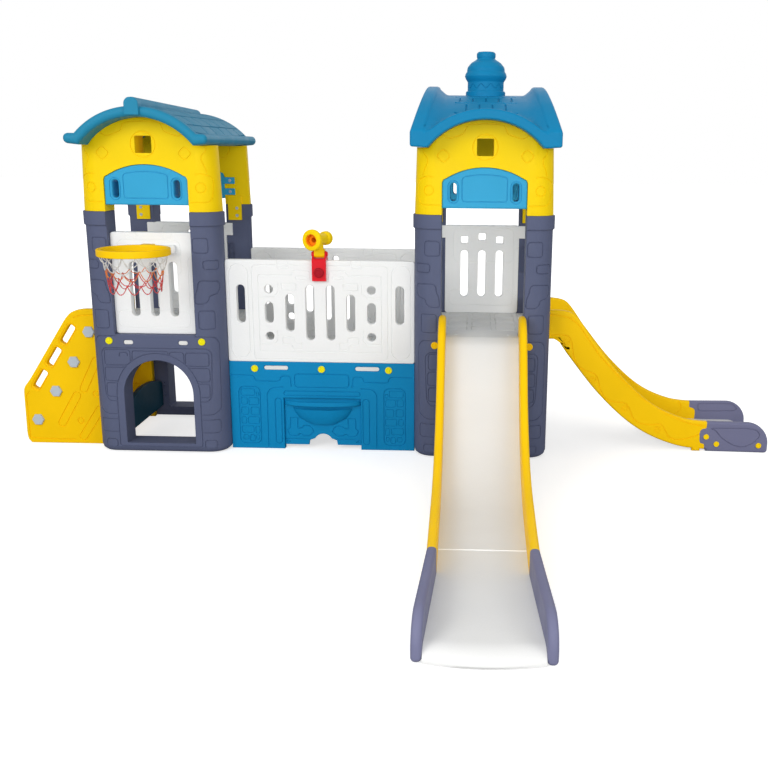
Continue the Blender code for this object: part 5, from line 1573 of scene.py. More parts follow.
def build_tower_fences():
    outline = rounded(-FENCE_HALF, BEAM_TOP + GAP, FENCE_HALF, FENCE_TOP, FENCE_CORNER)
    slots = fence_slots(FRONT_SLOT_BOTTOM, FRONT_SLOT_TOP)
    back = FENCE_FRONT_Y + FENCE_THICKNESS
    fence = plate("XZ", outline, slots, FENCE_FRONT_Y, back, sizes().rim)
    fence = fence_relief(fence, FENCE_FRONT_Y, FRONT_FENCE_PANELS)
    show_part("left_front_fence", fence, "white", (TOWER_X["left"], FRONT_Y))
    mesh = back_fence_mesh()
    for side, x in TOWER_X.items():
        show_part(side + "_back_fence", mesh, "white", (x, FRONT_Y))


def back_fence_mesh():
    front = TOWER_DEPTH - WALL_DEPTH - BACK_FENCE_INSET
    outline = rounded(-FENCE_HALF, DECK_TOP + GAP, FENCE_HALF, FENCE_TOP, FENCE_CORNER)
    holes = fence_slots(BACK_SLOT_BOTTOM, BACK_SLOT_TOP)
    half = BACK_SQUARE / 2
    for x in (-FENCE_SLOT_PITCH, 0.0, FENCE_SLOT_PITCH):
        z = BACK_SQUARE_Z if x else BACK_MIDDLE_SQUARE_Z
        holes.append(rounded(x - half, z - half, x + half, z + half, BACK_SQUARE_CORNER))
    fence = plate("XZ", outline, holes, front, front + FENCE_THICKNESS, SMALL_ROUNDING)
    root = FENCE_HALF - BACK_TAB_ROOT
    far = TOWER_DEPTH - WALL_DEPTH - GAP
    tabs = side_tabs(root, BACK_TAB_HALF, front, far, BACK_TAB_BOTTOM, BACK_TAB_TOP, TAB_ROUNDING)
    fence = joined(fence, tabs)
    return fence_relief(fence, front, BACK_FENCE_PANELS)


def build_side_board():
    """Low board between the walls of the left tower, with an arched top."""
    near = WALL_DEPTH + GAP
    far = TOWER_DEPTH - near
    shoulder = SIDE_BOARD_TOP - SIDE_BOARD_RISE
    half = (far - near) / 2
    radius = (half**2 + SIDE_BOARD_RISE**2) / (2 * SIDE_BOARD_RISE)
    top_arc = crest(TOWER_DEPTH / 2, SIDE_BOARD_TOP - radius, radius, half, ARCH_STEPS)
    outline = [(near, SIDE_BOARD_BOTTOM), (far, SIDE_BOARD_BOTTOM), (far, shoulder)]
    outline += top_arc[1:-1] + [(near, shoulder)]
    inner_x = SIDE_BOARD_THICKNESS - SIDE_BOARD_X
    board = plate("YZ", outline, [], -SIDE_BOARD_X, inner_x, SIDE_BOARD_ROUNDING)
    # The board's plastic is the visors' blue with painted shade, darkened for the shadow inside the
    # tower.
    show_part("left_side_board", board, "navy", (TOWER_X["left"], FRONT_Y))


# Roofs and finial


def roof_section(half, eave_top):
    """Cross-section of a barrel roof with short flat eaves."""
    outer = ROOF_RADIUS + ROOF_THICKNESS
    outer_x = math.sqrt(outer**2 - (eave_top - ROOF_CENTRE_Z) ** 2)
    end = arc(half - EAVE_CORNER, EAVE_Z + EAVE_CORNER, EAVE_CORNER, -90, 0, 6)
    end += arc(half - EAVE_CORNER, eave_top - EAVE_CORNER, EAVE_CORNER, 0, 90, 6)
    section = end + roof_arc(outer, outer_x) + flipped(end)
    section += roof_arc(ROOF_RADIUS, EAVE_INNER_X)[::-1]
    return section


TILE_COURSE_ANGLES = (14.0, 26.0, 38.0)
TILE_COUNT = 6
TILE_RIM = 0.045
TILE_RIDGE_ANGLE = 6.5
TILE_EAVE_ANGLE = 47.0
TILE_GAP = 0.8
TILE_GROOVE = 0.004
TILE_JOINT = 0.0035
# Corners and spacings of the tiles' grooves, in degrees round the barrel and metres along it
TILE_CORNER = 2.0
BORDER_SPACING = 4.0
COURSE_SPACING = 0.3
JOINT_SPACING = 2.0
# From row to row the joints shift this share of a tile to one side and the other
TILE_SHIFT = 0.25


def on_barrel(angle, y):
    """The place on the left roof's outside at an angle from its top and a distance back."""
    turn = math.radians(angle)
    normal = Vector((math.sin(turn), 0.0, math.cos(turn)))
    return Vector((0.0, y, ROOF_CENTRE_Z)) + normal * (ROOF_RADIUS + ROOF_THICKNESS), normal


def tile_lines():
    """Courses and joints of the moulded tiles on one side of the left roof."""
    front = TILE_RIM - ROOF_FRONT_OVERHANG
    back = TOWER_DEPTH + ROOF_BACK_OVERHANG - TILE_RIM
    levels = (TILE_RIDGE_ANGLE,) + TILE_COURSE_ANGLES + (TILE_EAVE_ANGLE,)
    courses = [[(angle, front), (angle, back)] for angle in levels[1:-1]]
    joints = []
    for row, (upper, lower) in enumerate(zip(levels, levels[1:])):
        for column in range(1, TILE_COUNT):
            place = column + (TILE_SHIFT if row % 2 else -TILE_SHIFT)
            y = front + (back - front) * place / TILE_COUNT
            joints.append([(upper + TILE_GAP, y), (lower - TILE_GAP, y)])
    first, last = levels[0], levels[-1]
    return courses, joints, [(first, front), (first, back), (last, back), (last, front)]


def build_left_roof():
    """Barrel roof with a ridge and tiles moulded in its outside."""
    front = -ROOF_FRONT_OVERHANG
    back = TOWER_DEPTH + ROOF_BACK_OVERHANG
    section = roof_section(ROOF_HALF, EAVE_Z + ROOF_THICKNESS)
    roof = plate("XZ", section, [], front, back, ROOF_ROUNDING, 4)
    courses, joints, border = tile_lines()
    for side in (-1, 1):

        def lay(angle, y, way=side):
            return on_barrel(way * angle, y)

        roof = carved(roof, lay, [border], (), TILE_CORNER, TILE_GROOVE, BORDER_SPACING)
        roof = carved(roof, lay, (), courses, radius=TILE_GROOVE, spacing=COURSE_SPACING)
        roof = carved(roof, lay, (), joints, radius=TILE_JOINT, spacing=JOINT_SPACING)
    inside = ROOF_CENTRE_Z + ROOF_RADIUS + ROOF_THICKNESS / 2
    block_front = front - RIDGE_BLOCK_REACH
    ridge_back = back - RIDGE_BLOCK_REACH
    slope = (RIDGE_BACK_Z - RIDGE_FRONT_Z) / (ridge_back - block_front)
    half = RIDGE_WIDTH / 2

    def ridge(start, end, bottom):
        loops = []
        for y in (start, end):
            top = RIDGE_FRONT_Z + slope * (y - block_front)
            curve = arc(0.0, top - RIDGE_ROUNDING, RIDGE_ROUNDING, 0, 180)
            reach = half - RIDGE_ROUNDING
            curve = [(x + (reach if x > 0 else -reach), z) for x, z in curve]
            loops.append([(x, y, z) for x, z in [(-half, bottom), (half, bottom)] + curve])
        return eased(bridged(loops), RIDGE_EDGE, 3, 50)

    roof = joined(roof, [ridge(block_front + RIDGE_SETBACK, ridge_back, inside)])
    block_end = front + RIDGE_BLOCK_DEPTH
    block = moved(ridge(block_front, block_end, RIDGE_BLOCK_BOTTOM), z=-RIDGE_BLOCK_DROP)
    roof = joined(roof, [block])
    show_part("left_roof", roof, "roof_blue", (TOWER_X["left"], FRONT_Y))


def side_drop(y):
    """How far the right roof's side arches fall below their peak at a place along the depth."""
    reach = y - TOWER_DEPTH / 2
    return WING_RADIUS - math.sqrt(WING_RADIUS**2 - reach**2)


def saddle_height(x, edge, y):
    """Height of the right roof, where its barrel and its raised side wings meet."""
    outer = ROOF_RADIUS + ROOF_THICKNESS
    barrel = ROOF_CENTRE_Z + math.sqrt(outer**2 - x**2) if x < outer else 0.0
    rim_start = edge - WING_RIM
    if x >= rim_start - WING_STEP / 2:
        wing = WING_PEAK_Z
    else:
        share = max(0.0, (x - SADDLE_HALF) / (rim_start - SADDLE_HALF))
        wing = SADDLE_Z + (WING_PEAK_Z - SADDLE_Z - WING_STEP) * share
    return max(barrel, WING_EAVE_TOP, wing - side_drop(y))


def right_roof_mesh():
    """Winged roof: a barrel whose sides rise to arched wings with raised rims."""
    front = -ROOF_FRONT_OVERHANG
    back = TOWER_DEPTH + ROOF_BACK_OVERHANG
    lean = (WING_HALF - WING_PEAK_X) / (WING_PEAK_Z - WING_EAVE_TOP)
    shape = bmesh.new()
    rows = []
    for row in range(WING_ROWS + 1):
        y = front + (back - front) * row / WING_ROWS
        edge_z = max(WING_EAVE_TOP, WING_PEAK_Z - side_drop(y))
        edge = WING_HALF - lean * (edge_z - WING_EAVE_TOP)
        rim = edge - WING_RIM
        stations = [SADDLE_HALF * step / SADDLE_STEPS for step in range(SADDLE_STEPS + 1)]
        stations += [SADDLE_HALF + (rim - WING_STEP - SADDLE_HALF) * step / 3 for step in (1, 2, 3)]
        stations += [rim, (rim + edge) / 2, edge]
        stations = [-x for x in stations[:0:-1]] + stations
        rows.append([shape.verts.new((x, y, saddle_height(abs(x), edge, y))) for x in stations])
    for near, far in zip(rows, rows[1:]):
        for index in range(len(near) - 1):
            shape.faces.new((near[index], near[index + 1], far[index + 1], far[index]))
    under = roof_arc(ROOF_RADIUS, EAVE_INNER_X)[::-1]
    under = [(-WING_HALF, EAVE_Z)] + under + [(WING_HALF, EAVE_Z)]
    under_front = [shape.verts.new((x, front, z)) for x, z in under]
    under_back = [shape.verts.new((x, back, z)) for x, z in under]
    for index in range(len(under) - 1):
        strip = under_front[index:index + 2][::-1] + under_back[index:index + 2]
        shape.faces.new(strip)
    corners = {}
    for side in (-1, 1):
        for y in (front, back):
            corners[side, y] = shape.verts.new((side * WING_HALF, y, WING_EAVE_TOP))
    shape.faces.new(under_front + [corners[1, front]] + rows[0][::-1] + [corners[-1, front]])
    shape.faces.new(under_back[::-1] + [corners[-1, back]] + rows[-1] + [corners[1, back]])
    for side, end in ((-1, 0), (1, -1)):
        ends = [under_front[end], under_back[end]]
        shape.faces.new(ends + [corners[side, back], corners[side, front]])
        rim_edge = [row[end] for row in rows]
        shape.faces.new([corners[side, front], corners[side, back]] + rim_edge[::-1])
    bmesh.ops.remove_doubles(shape, verts=shape.verts, dist=1e-5)
    return from_bmesh(shape)


BRICK_HALF = 0.150
BRICK_INSET = 0.05
BRICK_ROWS = 3
BRICK_COLUMNS = 2.4
BRICK_GAP = 0.05
BRICK_COURSE = 0.005
BRICK_JOINT = 0.0045
BRICK_COURSE_SPACING = 0.012
BRICK_JOINT_SPACING = 0.02


def on_saddle(x, y):
    """The place on the right roof's barrel at a distance from its middle and a distance back."""
    outer = ROOF_RADIUS + ROOF_THICKNESS
    rise = math.sqrt(outer**2 - x**2)
    height = saddle_height(abs(x), WING_HALF, y)
    normal = Vector((x / outer, 0.0, rise / outer))
    return Vector((x, y, height)), normal


def brick_lines():
    """Courses and joints of the bricks moulded on the right roof's barrel, front and back."""
    front = BRICK_INSET - ROOF_FRONT_OVERHANG
    back = TOWER_DEPTH + ROOF_BACK_OVERHANG - BRICK_INSET
    clear = PEDESTAL_RADIUS + BRICK_INSET
    courses = []
    joints = []
    for start, end in ((front, TOWER_DEPTH / 2 - clear), (TOWER_DEPTH / 2 + clear, back)):
        for row in range(BRICK_ROWS + 1):
            y = start + (end - start) * row / BRICK_ROWS
            courses.append([(-BRICK_HALF, y), (BRICK_HALF, y)])
            if row == BRICK_ROWS:
                continue
            gap = (end - start) * BRICK_GAP
            after = y + (end - start) / BRICK_ROWS
            for column in range(-2, 3):
                x = (column + 0.5 * (row % 2)) * BRICK_HALF / BRICK_COLUMNS
                if abs(x) < BRICK_HALF:
                    joints.append([(x, y + gap), (x, after - gap)])
    return courses, joints


def build_right_roof():
    roof = eased(right_roof_mesh(), WING_ROUNDING, 3, 40, clamped=False)
    buried = ROOF_CENTRE_Z + ROOF_RADIUS + ROOF_THICKNESS - PEDESTAL_DEPTH
    profile = [(PEDESTAL_RADIUS, buried), (PEDESTAL_RADIUS, PEDESTAL_TOP - PEDESTAL_EASE)]
    profile += [(PEDESTAL_RADIUS - PEDESTAL_EASE, PEDESTAL_TOP)]
    centre = (0.0, TOWER_DEPTH / 2, 0.0)
    roof = joined(roof, [turned(profile, TUBE_STEPS, "Z", centre)])
    courses, joints = brick_lines()
    roof = carved(roof, on_saddle, (), courses, radius=BRICK_COURSE, spacing=BRICK_COURSE_SPACING)
    roof = carved(roof, on_saddle, (), joints, radius=BRICK_JOINT, spacing=BRICK_JOINT_SPACING)
    show_part("right_roof", roof, "wing_blue", (TOWER_X["right"], FRONT_Y))


FINIAL_STEPS = 64
FINIAL_SCALLOPS = 12
FINIAL_BAND_LOW = 0.012
FINIAL_BAND_HIGH = 0.034


def build_finial():
    """Turned finial with a scalloped band round its foot."""
    profile = softened(list(FINIAL_PROFILE), SMALL_CORNER, False, 3)
    centre = (0.0, TOWER_DEPTH / 2, PEDESTAL_TOP + GAP)
    finial = turned(profile, FINIAL_STEPS, "Z", centre)
    radius = FINIAL_PROFILE[0][0]

    def on_foot(angle, height):
        turn = math.radians(angle)
        normal = Vector((math.cos(turn), math.sin(turn), 0.0))
        return Vector(centre) + normal * radius + Vector((0.0, 0.0, height)), normal

    band = []
    rise = FINIAL_BAND_HIGH - FINIAL_BAND_LOW
    for step in range(FINIAL_SCALLOPS * ARC_STEPS // 2):
        share = 2 * step / ARC_STEPS
        height = FINIAL_BAND_LOW + rise * math.sin(math.pi * share) ** 2
        band.append((360 * share / FINIAL_SCALLOPS, height))
    finial = carved(finial, on_foot, [band], corner=SHARP_CORNER, radius=FINE_GROOVE)
    show_part("roof_finial", finial, "wing_blue", (TOWER_X["right"], FRONT_Y), "turning")


# Bridge


def bridge_slots(grow):
    half = BRIDGE_SLOT_WIDTH / 2 + grow
    low = BRIDGE_SLOT_Z - BRIDGE_SLOT_HEIGHT / 2 - grow
    high = BRIDGE_SLOT_Z + BRIDGE_SLOT_HEIGHT / 2 + grow
    corner = BRIDGE_SLOT_HEIGHT * TAB_END
    slots = (-BRIDGE_SLOT_X, BRIDGE_SLOT_X)
    return [rounded(middle - half, low, middle + half, high, corner) for middle in slots]


BAND_LINE = (
    (-0.469, 0.393), (-0.350, 0.393), (-0.344, 0.364), (-0.217, 0.364), (-0.212, 0.392),
    (-0.162, 0.392), (-0.158, 0.336),
)
BAY_FRAME_LINE = ((0.285, 0.012), (0.285, 0.300), (0.262, 0.328), (0.200, 0.331))
# Left, bottom, right and top, and for the panel and the bar a corner
BASE_PANEL = (-0.140, 0.334, 0.140, 0.404, 0.018)
BAY_OVAL = (0.212, 0.030, 0.245, 0.274)
BRICK_OVAL = (0.321, 0.028, 0.432, 0.334)
BAY_BAR = (-0.197, 0.289, 0.197, 0.313, 0.0119)
# Corners of the base's lines and bricks; an oval's corner is its width, or the most that
# counts of it, through this share
BASE_CORNER = 0.003
BRICK_CORNER = 0.010
OVAL_WIDEST = 0.06
OVAL_SHARE = 2.05
# Bricks in the left end's oval, from the oval's left side: left, bottom, right and top
OVAL_BRICKS = (
    (0.011, 0.286, 0.083, 0.322), (0.090, 0.284, 0.104, 0.304), (0.010, 0.238, 0.042, 0.276),
    (0.050, 0.236, 0.102, 0.274), (0.010, 0.184, 0.048, 0.223), (0.060, 0.182, 0.103, 0.223),
    (0.010, 0.135, 0.035, 0.171), (0.045, 0.134, 0.103, 0.171), (0.010, 0.086, 0.072, 0.122),
    (0.082, 0.083, 0.103, 0.121), (0.016, 0.048, 0.043, 0.073), (0.051, 0.038, 0.076, 0.073),
    (0.083, 0.050, 0.100, 0.073),
)


def bridge_base_mesh():
    """The bridge's base: a panel with a bay below, slots for the deck and moulded relief."""
    side = [(BAY_HALF, BAY_TOP), (BAY_HALF, 0.0), (BRIDGE_HALF, 0.0), (BRIDGE_HALF, BASE_TOP)]
    back = BRIDGE_Y + BRIDGE_THICKNESS
    base = plate("XZ", side + flipped(side), bridge_slots(GAP), BRIDGE_Y, back, sizes().rim)
    lay = flat_front(BRIDGE_Y)
    loops = [rounded(*BASE_PANEL), rounded(*BAY_BAR)]
    for oval in (BAY_OVAL, BRICK_OVAL):
        corner = min(oval[2] - oval[0], OVAL_WIDEST) / OVAL_SHARE
        loops += both_sides(rounded(*oval, corner))
    base = carved(base, lay, loops, corner=BASE_CORNER)
    bricks = []
    for left, bottom, right, top in OVAL_BRICKS:
        bricks += both_sides(rectangle(left - BRICK_OVAL[2], bottom, right - BRICK_OVAL[2], top))
    base = carved(base, lay, bricks, corner=BRICK_CORNER, radius=FINE_GROOVE)
    return carved(base, lay, (), both_sides(BAND_LINE) + both_sides(BAY_FRAME_LINE))


# Left, bottom, right, top and corner
END_OVAL = (0.362, 0.486, 0.458, 0.967, 0.0475)
OUTER_FRAME = (-0.342, 0.480, 0.342, 0.962, 0.02)
FRAME_CORNER = 0.002
PAD_CORNER = 0.008
# Right half of the railing's inner frame, from the bottom round to the clamp's notch
INNER_FRAME = (
    (0.0, 0.520), (0.311, 0.520), (0.311, 0.912), (0.137, 0.912), (0.133, 0.937), (0.050, 0.937),
    (0.046, 0.890), (0.040, 0.886),
)
FENCE_TAB = ((0.159, 0.992), (0.159, 0.947), (0.211, 0.947), (0.211, 0.992))
FENCE_PADS = ((0.066, 0.890, 0.119, 0.908), (0.118, 0.838, 0.192, 0.872))
UPPER_BRACKET = ((0.305, 0.800), (0.236, 0.800), (0.212, 0.822), (0.212, 0.869))
LOWER_BRACKET = ((0.305, 0.561), (0.238, 0.561), (0.218, 0.580), (0.218, 0.633))
LOWER_PAD = (
    (0.095, 0.534), (0.141, 0.534), (0.146, 0.559), (0.194, 0.559), (0.194, 0.597), (0.141, 0.597),
    (0.137, 0.568), (0.095, 0.568),
)


def bridge_fence_mesh():
    """The bridge's railing with its ports, frames and moulded pads."""
    seat = BASE_TOP + GAP
    outline = rounded(-BRIDGE_HALF, seat, BRIDGE_HALF, BRIDGE_FENCE_TOP, BRIDGE_CORNER)
    holes = [circle(0.0, SCREW_Z, SCREW_HOLE_RADIUS)]
    for side in (-1, 1):
        for middle, bottom, top in BRIDGE_PORTS:
            holes.append(upright_slot(side * middle, bottom, top, PORT_WIDTH))
        for level in ROUND_PORT_LEVELS:
            holes.append(circle(side * ROUND_PORT_X, level, PORT_WIDTH / 2))
    back = BRIDGE_Y + BRIDGE_THICKNESS
    fence = plate("XZ", outline, holes, BRIDGE_Y, back, sizes().rim)
    loops = [rounded(*OUTER_FRAME)]
    loops += both_sides(rounded(*END_OVAL))
    pads = []
    for pad in FENCE_PADS:
        pads += both_sides(rectangle(*pad))
    pads += both_sides(LOWER_PAD)
    lines = [mirrored(INNER_FRAME)]
    for line in (UPPER_BRACKET, LOWER_BRACKET, FENCE_TAB):
        lines += both_sides(line)
    for lay in (flat_front(BRIDGE_Y), flat_back(back)):
        fence = carved(fence, lay, loops, corner=FRAME_CORNER)
        fence = carved(fence, lay, pads, lines, corner=PAD_CORNER)
    return fence


def build_bridge_deck():
    """The bridge's deck with treads moulded in its top and tabs through the base panels."""
    slab_front = BRIDGE_Y + BRIDGE_THICKNESS + GAP
    bottom = BRIDGE_SLOT_Z - BRIDGE_SLOT_HEIGHT / 2
    high = (BRIDGE_HALF, TOWER_DEPTH - slab_front, BRIDGE_DECK_TOP)
    deck = box((-BRIDGE_HALF, slab_front, bottom), high, TAB_ROUNDING)
    front = BRIDGE_Y + TAB_SETBACK
    tabs = []
    for slot in bridge_slots(0.0):
        tabs.append(plate("XZ", slot, [], front, TOWER_DEPTH - front, TAB_ROUNDING))
    deck = joined(deck, tabs)
    deck = carved(deck, flat_top(BRIDGE_DECK_TOP), tread_loops(*BRIDGE_TREADS), corner=SMALL_CORNER)
    show_part("bridge_deck", deck, "cream", (BRIDGE_X, FRONT_Y))


def bowl_mesh(rings, back):
    """A solid through half-moon outlines of a half width, reach and height, flat at the back."""
    loops = []
    for half, reach, z in rings:
        turns = [math.pi * step / ROUND_STEPS for step in range(ROUND_STEPS + 1)]
        loops.append([(-half * math.cos(turn), back - reach * math.sin(turn), z) for turn in turns])
    return bridged(loops)


def build_basin():
    """The basin with its splash panel, in the bay under the bridge."""
    half = BAY_HALF - GAP
    back = BASIN_Y + BASIN_THICKNESS
    top = BAY_TOP - GAP
    side = [(half, top), (half, BASIN_BOTTOM), (BASIN_CUTOUT_HALF, BASIN_BOTTOM)]
    side += [(BASIN_CUTOUT_NECK, BASIN_CUTOUT_BEND)]
    middle = BASIN_CUTOUT_TOP - BASIN_CUTOUT_RADIUS
    outline = side + arc(0.0, middle, BASIN_CUTOUT_RADIUS, 30, 150) + flipped(side)
    basin = plate("XZ", outline, [], BASIN_Y, back, TAB_ROUNDING)
    # Rings of the bowl's outside and of its hollow: how far each lies in from the rim, and height
    rim = (
        (BASIN_EASE, BASIN_RIM_TOP),
        (0.0, BASIN_RIM_TOP - BASIN_EASE),
        (0.0, BASIN_RIM_BOTTOM + BASIN_EASE),
        (BASIN_EASE, BASIN_RIM_BOTTOM),
    )
    outside = [(half - inset, BASIN_REACH - inset, z) for inset, z in rim] + list(BASIN_SCOOP)
    rim = ((BASIN_WALL, BASIN_RIM_TOP + BIG), (BASIN_WALL, BASIN_RIM_BOTTOM))
    inside = [(half - inset, BASIN_REACH - inset, z) for inset, z in rim]
    inside += [(BASIN_FLOOR_HALF, BASIN_FLOOR_REACH, BASIN_FLOOR)]
    basin = joined(basin, [bowl_mesh(outside, back - BASIN_WALL / 2)])
    basin = cut_out(basin, [bowl_mesh(inside, BASIN_Y - GAP)])
    loops = both_sides(BASIN_BLOCKS)
    loops += both_sides(circle(BASIN_SCREW_X, BASIN_SCREW_Z, BASIN_SCREW_RADIUS, SMALL_STEPS))
    basin = carved(basin, flat_front(BASIN_Y), loops, both_sides(BASIN_STRIP), corner=SMALL_CORNER)
    show_part("bridge_basin", basin, "blue", (BRIDGE_X, FRONT_Y))


# Relief of the splash panel, as distance from its middle and height
BASIN_BLOCKS = (
    (-0.1833, 0.0868), (-0.1681, 0.0680), (-0.1338, 0.0686), (-0.1230, 0.0798), (-0.1125, 0.0800),
    (-0.1022, 0.0692), (-0.0706, 0.0698), (-0.0490, 0.0921), (-0.0565, 0.1110), (-0.0719, 0.1244),
    (-0.1008, 0.1239), (-0.1143, 0.1100), (-0.1327, 0.1096), (-0.1312, 0.1668), (-0.1705, 0.1661),
    (-0.1722, 0.1089), (-0.1856, 0.1005),
)
BASIN_STRIP = ((-0.198, 0.049), (-0.063, 0.049))
BASIN_SCREW_X = 0.182
BASIN_SCREW_Z = 0.037
BASIN_SCREW_RADIUS = 0.006


# Climber, in a frame whose X runs out to the left from the tower's side

# Relief of a climber's panel, as distance out from the tower's side and height
CLIMBER_BOSS = 0.0155
CLIMBER_BOSSES = ((0.0334, 0.2737), (0.1257, 0.1265))
CLIMBER_OVAL_HALF = 0.020
# Corner of an almost round end, as a share of its half width
ROUND_END = 0.97
CLIMBER_OVALS = (
    ((0.2251, 0.1125), (0.1353, 0.2628)), ((0.0960, 0.3010), (0.0216, 0.4474)),
    ((0.1173, 0.0394), (0.0194, 0.1862)),
)
CLIMBER_LINES = (
    ((0.005, 0.690), (0.080, 0.690), (0.122, 0.678)),
    ((0.385, 0.278), (0.404, 0.262), (0.404, 0.028), (0.250, 0.022), (0.160, 0.022)),
)
SLOT_CORNER = 0.011
SLOT_FLARE = 0.008
CLIMBER_GROOVE = 0.003


def climber_outline():
    outline = [(-out, z) for out, z in CLIMBER_EDGE[:-1]]
    outline = softened(outline, CLIMBER_CORNER, False, 6) + [(-CLIMBER_EDGE[-1][0], 0.0)]
    outline[0] = (-GAP, outline[0][1])
    outline += [(CLIMBER_TUCK, 0.0), (CLIMBER_TUCK, CLIMBER_TUCK_TOP)]
    return outline + [(-GAP, CLIMBER_TUCK_TOP)]


def grip(out, height, grow, corner):
    """A grip slot in the climber, turned to its slope."""
    half_length = CLIMBER_SLOT_LENGTH / 2 + grow
    half_width = CLIMBER_SLOT_WIDTH / 2 + grow
    low = height - half_length
    slot = rounded(-out - half_width, low, half_width - out, height + half_length, corner)
    return turned_about(slot, (-out, height), CLIMBER_SLOPE - 90)


def climber_panel_mesh(front):
    """A climber's side panel with its grips and the grooves that follow them."""
    holes = [grip(out, height, 0.0, SLOT_CORNER) for out, height in CLIMBER_SLOTS]
    for out, height in CLIMBER_BOLTS:
        holes.append(circle(-out, height, BOLT_RADIUS + GAP, ROUND_STEPS))
    back = front + CLIMBER_THICKNESS
    panel = plate("XZ", climber_outline(), holes, front, back, CLIMBER_ROUNDING, 3)
    corner = SLOT_CORNER + SLOT_FLARE
    rims = [grip(out, height, SLOT_FLARE, corner) for out, height in CLIMBER_SLOTS]
    loops = rims + [circle(-out, z, CLIMBER_BOSS, ARCH_STEPS) for out, z in CLIMBER_BOSSES]
    for start, end in CLIMBER_OVALS:
        x = -(start[0] + end[0]) / 2
        z = (start[1] + end[1]) / 2
        half = math.dist(start, end) / 2 + CLIMBER_OVAL_HALF
        across = CLIMBER_OVAL_HALF
        oval = rounded(x - across, z - half, x + across, z + half, across * ROUND_END)
        lean = math.degrees(math.atan2(end[0] - start[0], start[1] - end[1]))
        loops.append(turned_about(oval, (x, z), -lean))
    lines = [[(-out, z) for out, z in line] for line in CLIMBER_LINES]
    for lay in (flat_front(front), flat_back(back)):
        panel = carved(panel, lay, loops, corner=SMALL_CORNER, radius=CLIMBER_GROOVE)
        panel = carved(panel, lay, (), lines, corner=LINE_CORNER, radius=CLIMBER_GROOVE)
    return panel


def tie_bolt_mesh(bolt, near, far):
    """Long bolt with a domed hexagonal head at the near panel and a like nut at the far one."""
    out, height = bolt
    across = HEX_ACROSS / math.sqrt(3)
    sections = (
        (across - HEX_CHAMFER, near - GAP - HEX_HEIGHT),
        (across, near - GAP - HEX_HEIGHT + HEX_CHAMFER),
        (across, near - GAP),
        (BOLT_RADIUS, near - GAP),
        (BOLT_RADIUS, far + GAP),
        (across, far + GAP),
        (across, far + GAP + HEX_HEIGHT - HEX_CHAMFER),
        (across - HEX_CHAMFER, far + GAP + HEX_HEIGHT),
    )
    loops = []
    for radius, y in sections:
        loops.append([(-out + x, y, height + z) for x, z in circle(0.0, 0.0, radius, HEX_SIDES)])
    return bridged(loops)


def build_climber():
    place = (TOWER_X["left"] - TOWER_HALF, FRONT_Y)
    near = WALL_DEPTH + GAP
    far = TOWER_DEPTH - WALL_DEPTH - GAP
    panel = climber_panel_mesh(near)
    show_part("climber_near_panel", panel, "golden", place)
    panel = moved(panel, y=far - CLIMBER_THICKNESS - near)
    show_part("climber_far_panel", panel, "golden", place)
    inner_near = near + CLIMBER_THICKNESS + GAP
    inner_far = far - CLIMBER_THICKNESS - GAP
    for number, (out, height) in enumerate(CLIMBER_BOLTS, start=1):
        half = TREAD_DEPTH / 2
        low = height - TREAD_HEIGHT / 2
        outline = rounded(-out - half, low, -out + half, low + TREAD_HEIGHT, TREAD_CORNER)
        hole = circle(-out, height, BOLT_RADIUS + GAP)
        tread = plate("XZ", outline, [hole], inner_near, inner_far, TREAD_ROUNDING, 1)
        top = low + TREAD_HEIGHT
        ribs = []
        for rib_out in (out + TREAD_RIB_PITCH, out, out - TREAD_RIB_PITCH):
            ends = (inner_near + TREAD_RIB_INSET, inner_far - TREAD_RIB_INSET)
            ribs.append([(-rib_out, y) for y in ends])
        tread = carved(tread, flat_top(top), (), ribs, radius=TREAD_RIB)
        show_part(f"climber_tread_{number}", tread, "golden", place)
        bolt = tie_bolt_mesh((out, height), near, far)
        show_part(f"climber_bolt_{number}", bolt, "bolt_grey", place, "detailed")


# Slides, each in a frame whose X runs out along the slide and Y across it

RAIL_TOP_LINE = (
    (0.003, 0.717), (0.100, 0.707), (0.155, 0.670), (0.197, 0.608), (0.271, 0.505), (0.387, 0.386),
    (0.511, 0.274), (0.633, 0.199), (0.755, 0.150), (0.847, 0.134),
)
RAIL_WAVE_LINE = (
    (0.010, 0.609), (0.092, 0.614), (0.120, 0.595), (0.130, 0.543), (0.140, 0.487), (0.165, 0.447),
    (0.205, 0.424), (0.252, 0.412), (0.270, 0.376), (0.280, 0.328), (0.306, 0.283), (0.346, 0.262),
    (0.417, 0.258), (0.441, 0.224), (0.457, 0.175), (0.495, 0.147), (0.558, 0.139), (0.605, 0.149),
    (0.627, 0.120), (0.649, 0.075), (0.690, 0.059), (0.745, 0.068), (0.814, 0.094),
)
RAIL_BOSSES = ((0.096, 0.576), (0.240, 0.376), (0.413, 0.225), (0.591, 0.115))
RAIL_BOSS_RADII = (0.017, 0.009)
BOSS_GROOVE = 0.0018
RAIL_INNER_LINE = (
    (0.453, 0.313), (0.542, 0.253), (0.716, 0.177), (0.790, 0.160), (0.806, 0.116), (0.770, 0.090),
)
# Stepped joint of the side slide's rail and foot, from its top down
SIDE_SEAM = (
    (0.847, 1.0), (0.847, 0.130), (0.842, 0.126), (0.824, 0.121), (0.815, 0.112), (0.812, 0.098),
    (0.814, 0.058), (0.819, 0.046), (0.838, 0.040), (0.840, 0.034), (0.840, -0.05),
)
FOOT_RECESS = (
    (0.862, 0.127), (0.892, 0.118), (0.926, 0.076), (0.984, 0.039), (1.040, 0.028), (1.093, 0.054),
    (1.125, 0.096), (1.103, 0.125), (1.047, 0.132),
)
FOOT_INNER_RECESS = (
    (0.897, 0.104), (0.895, 0.148), (0.914, 0.150), (1.085, 0.150), (1.120, 0.122), (1.105, 0.108),
)
FOOT_CAPS = ((0.847, 0.080), (0.902, 0.042), (1.118, 0.040))


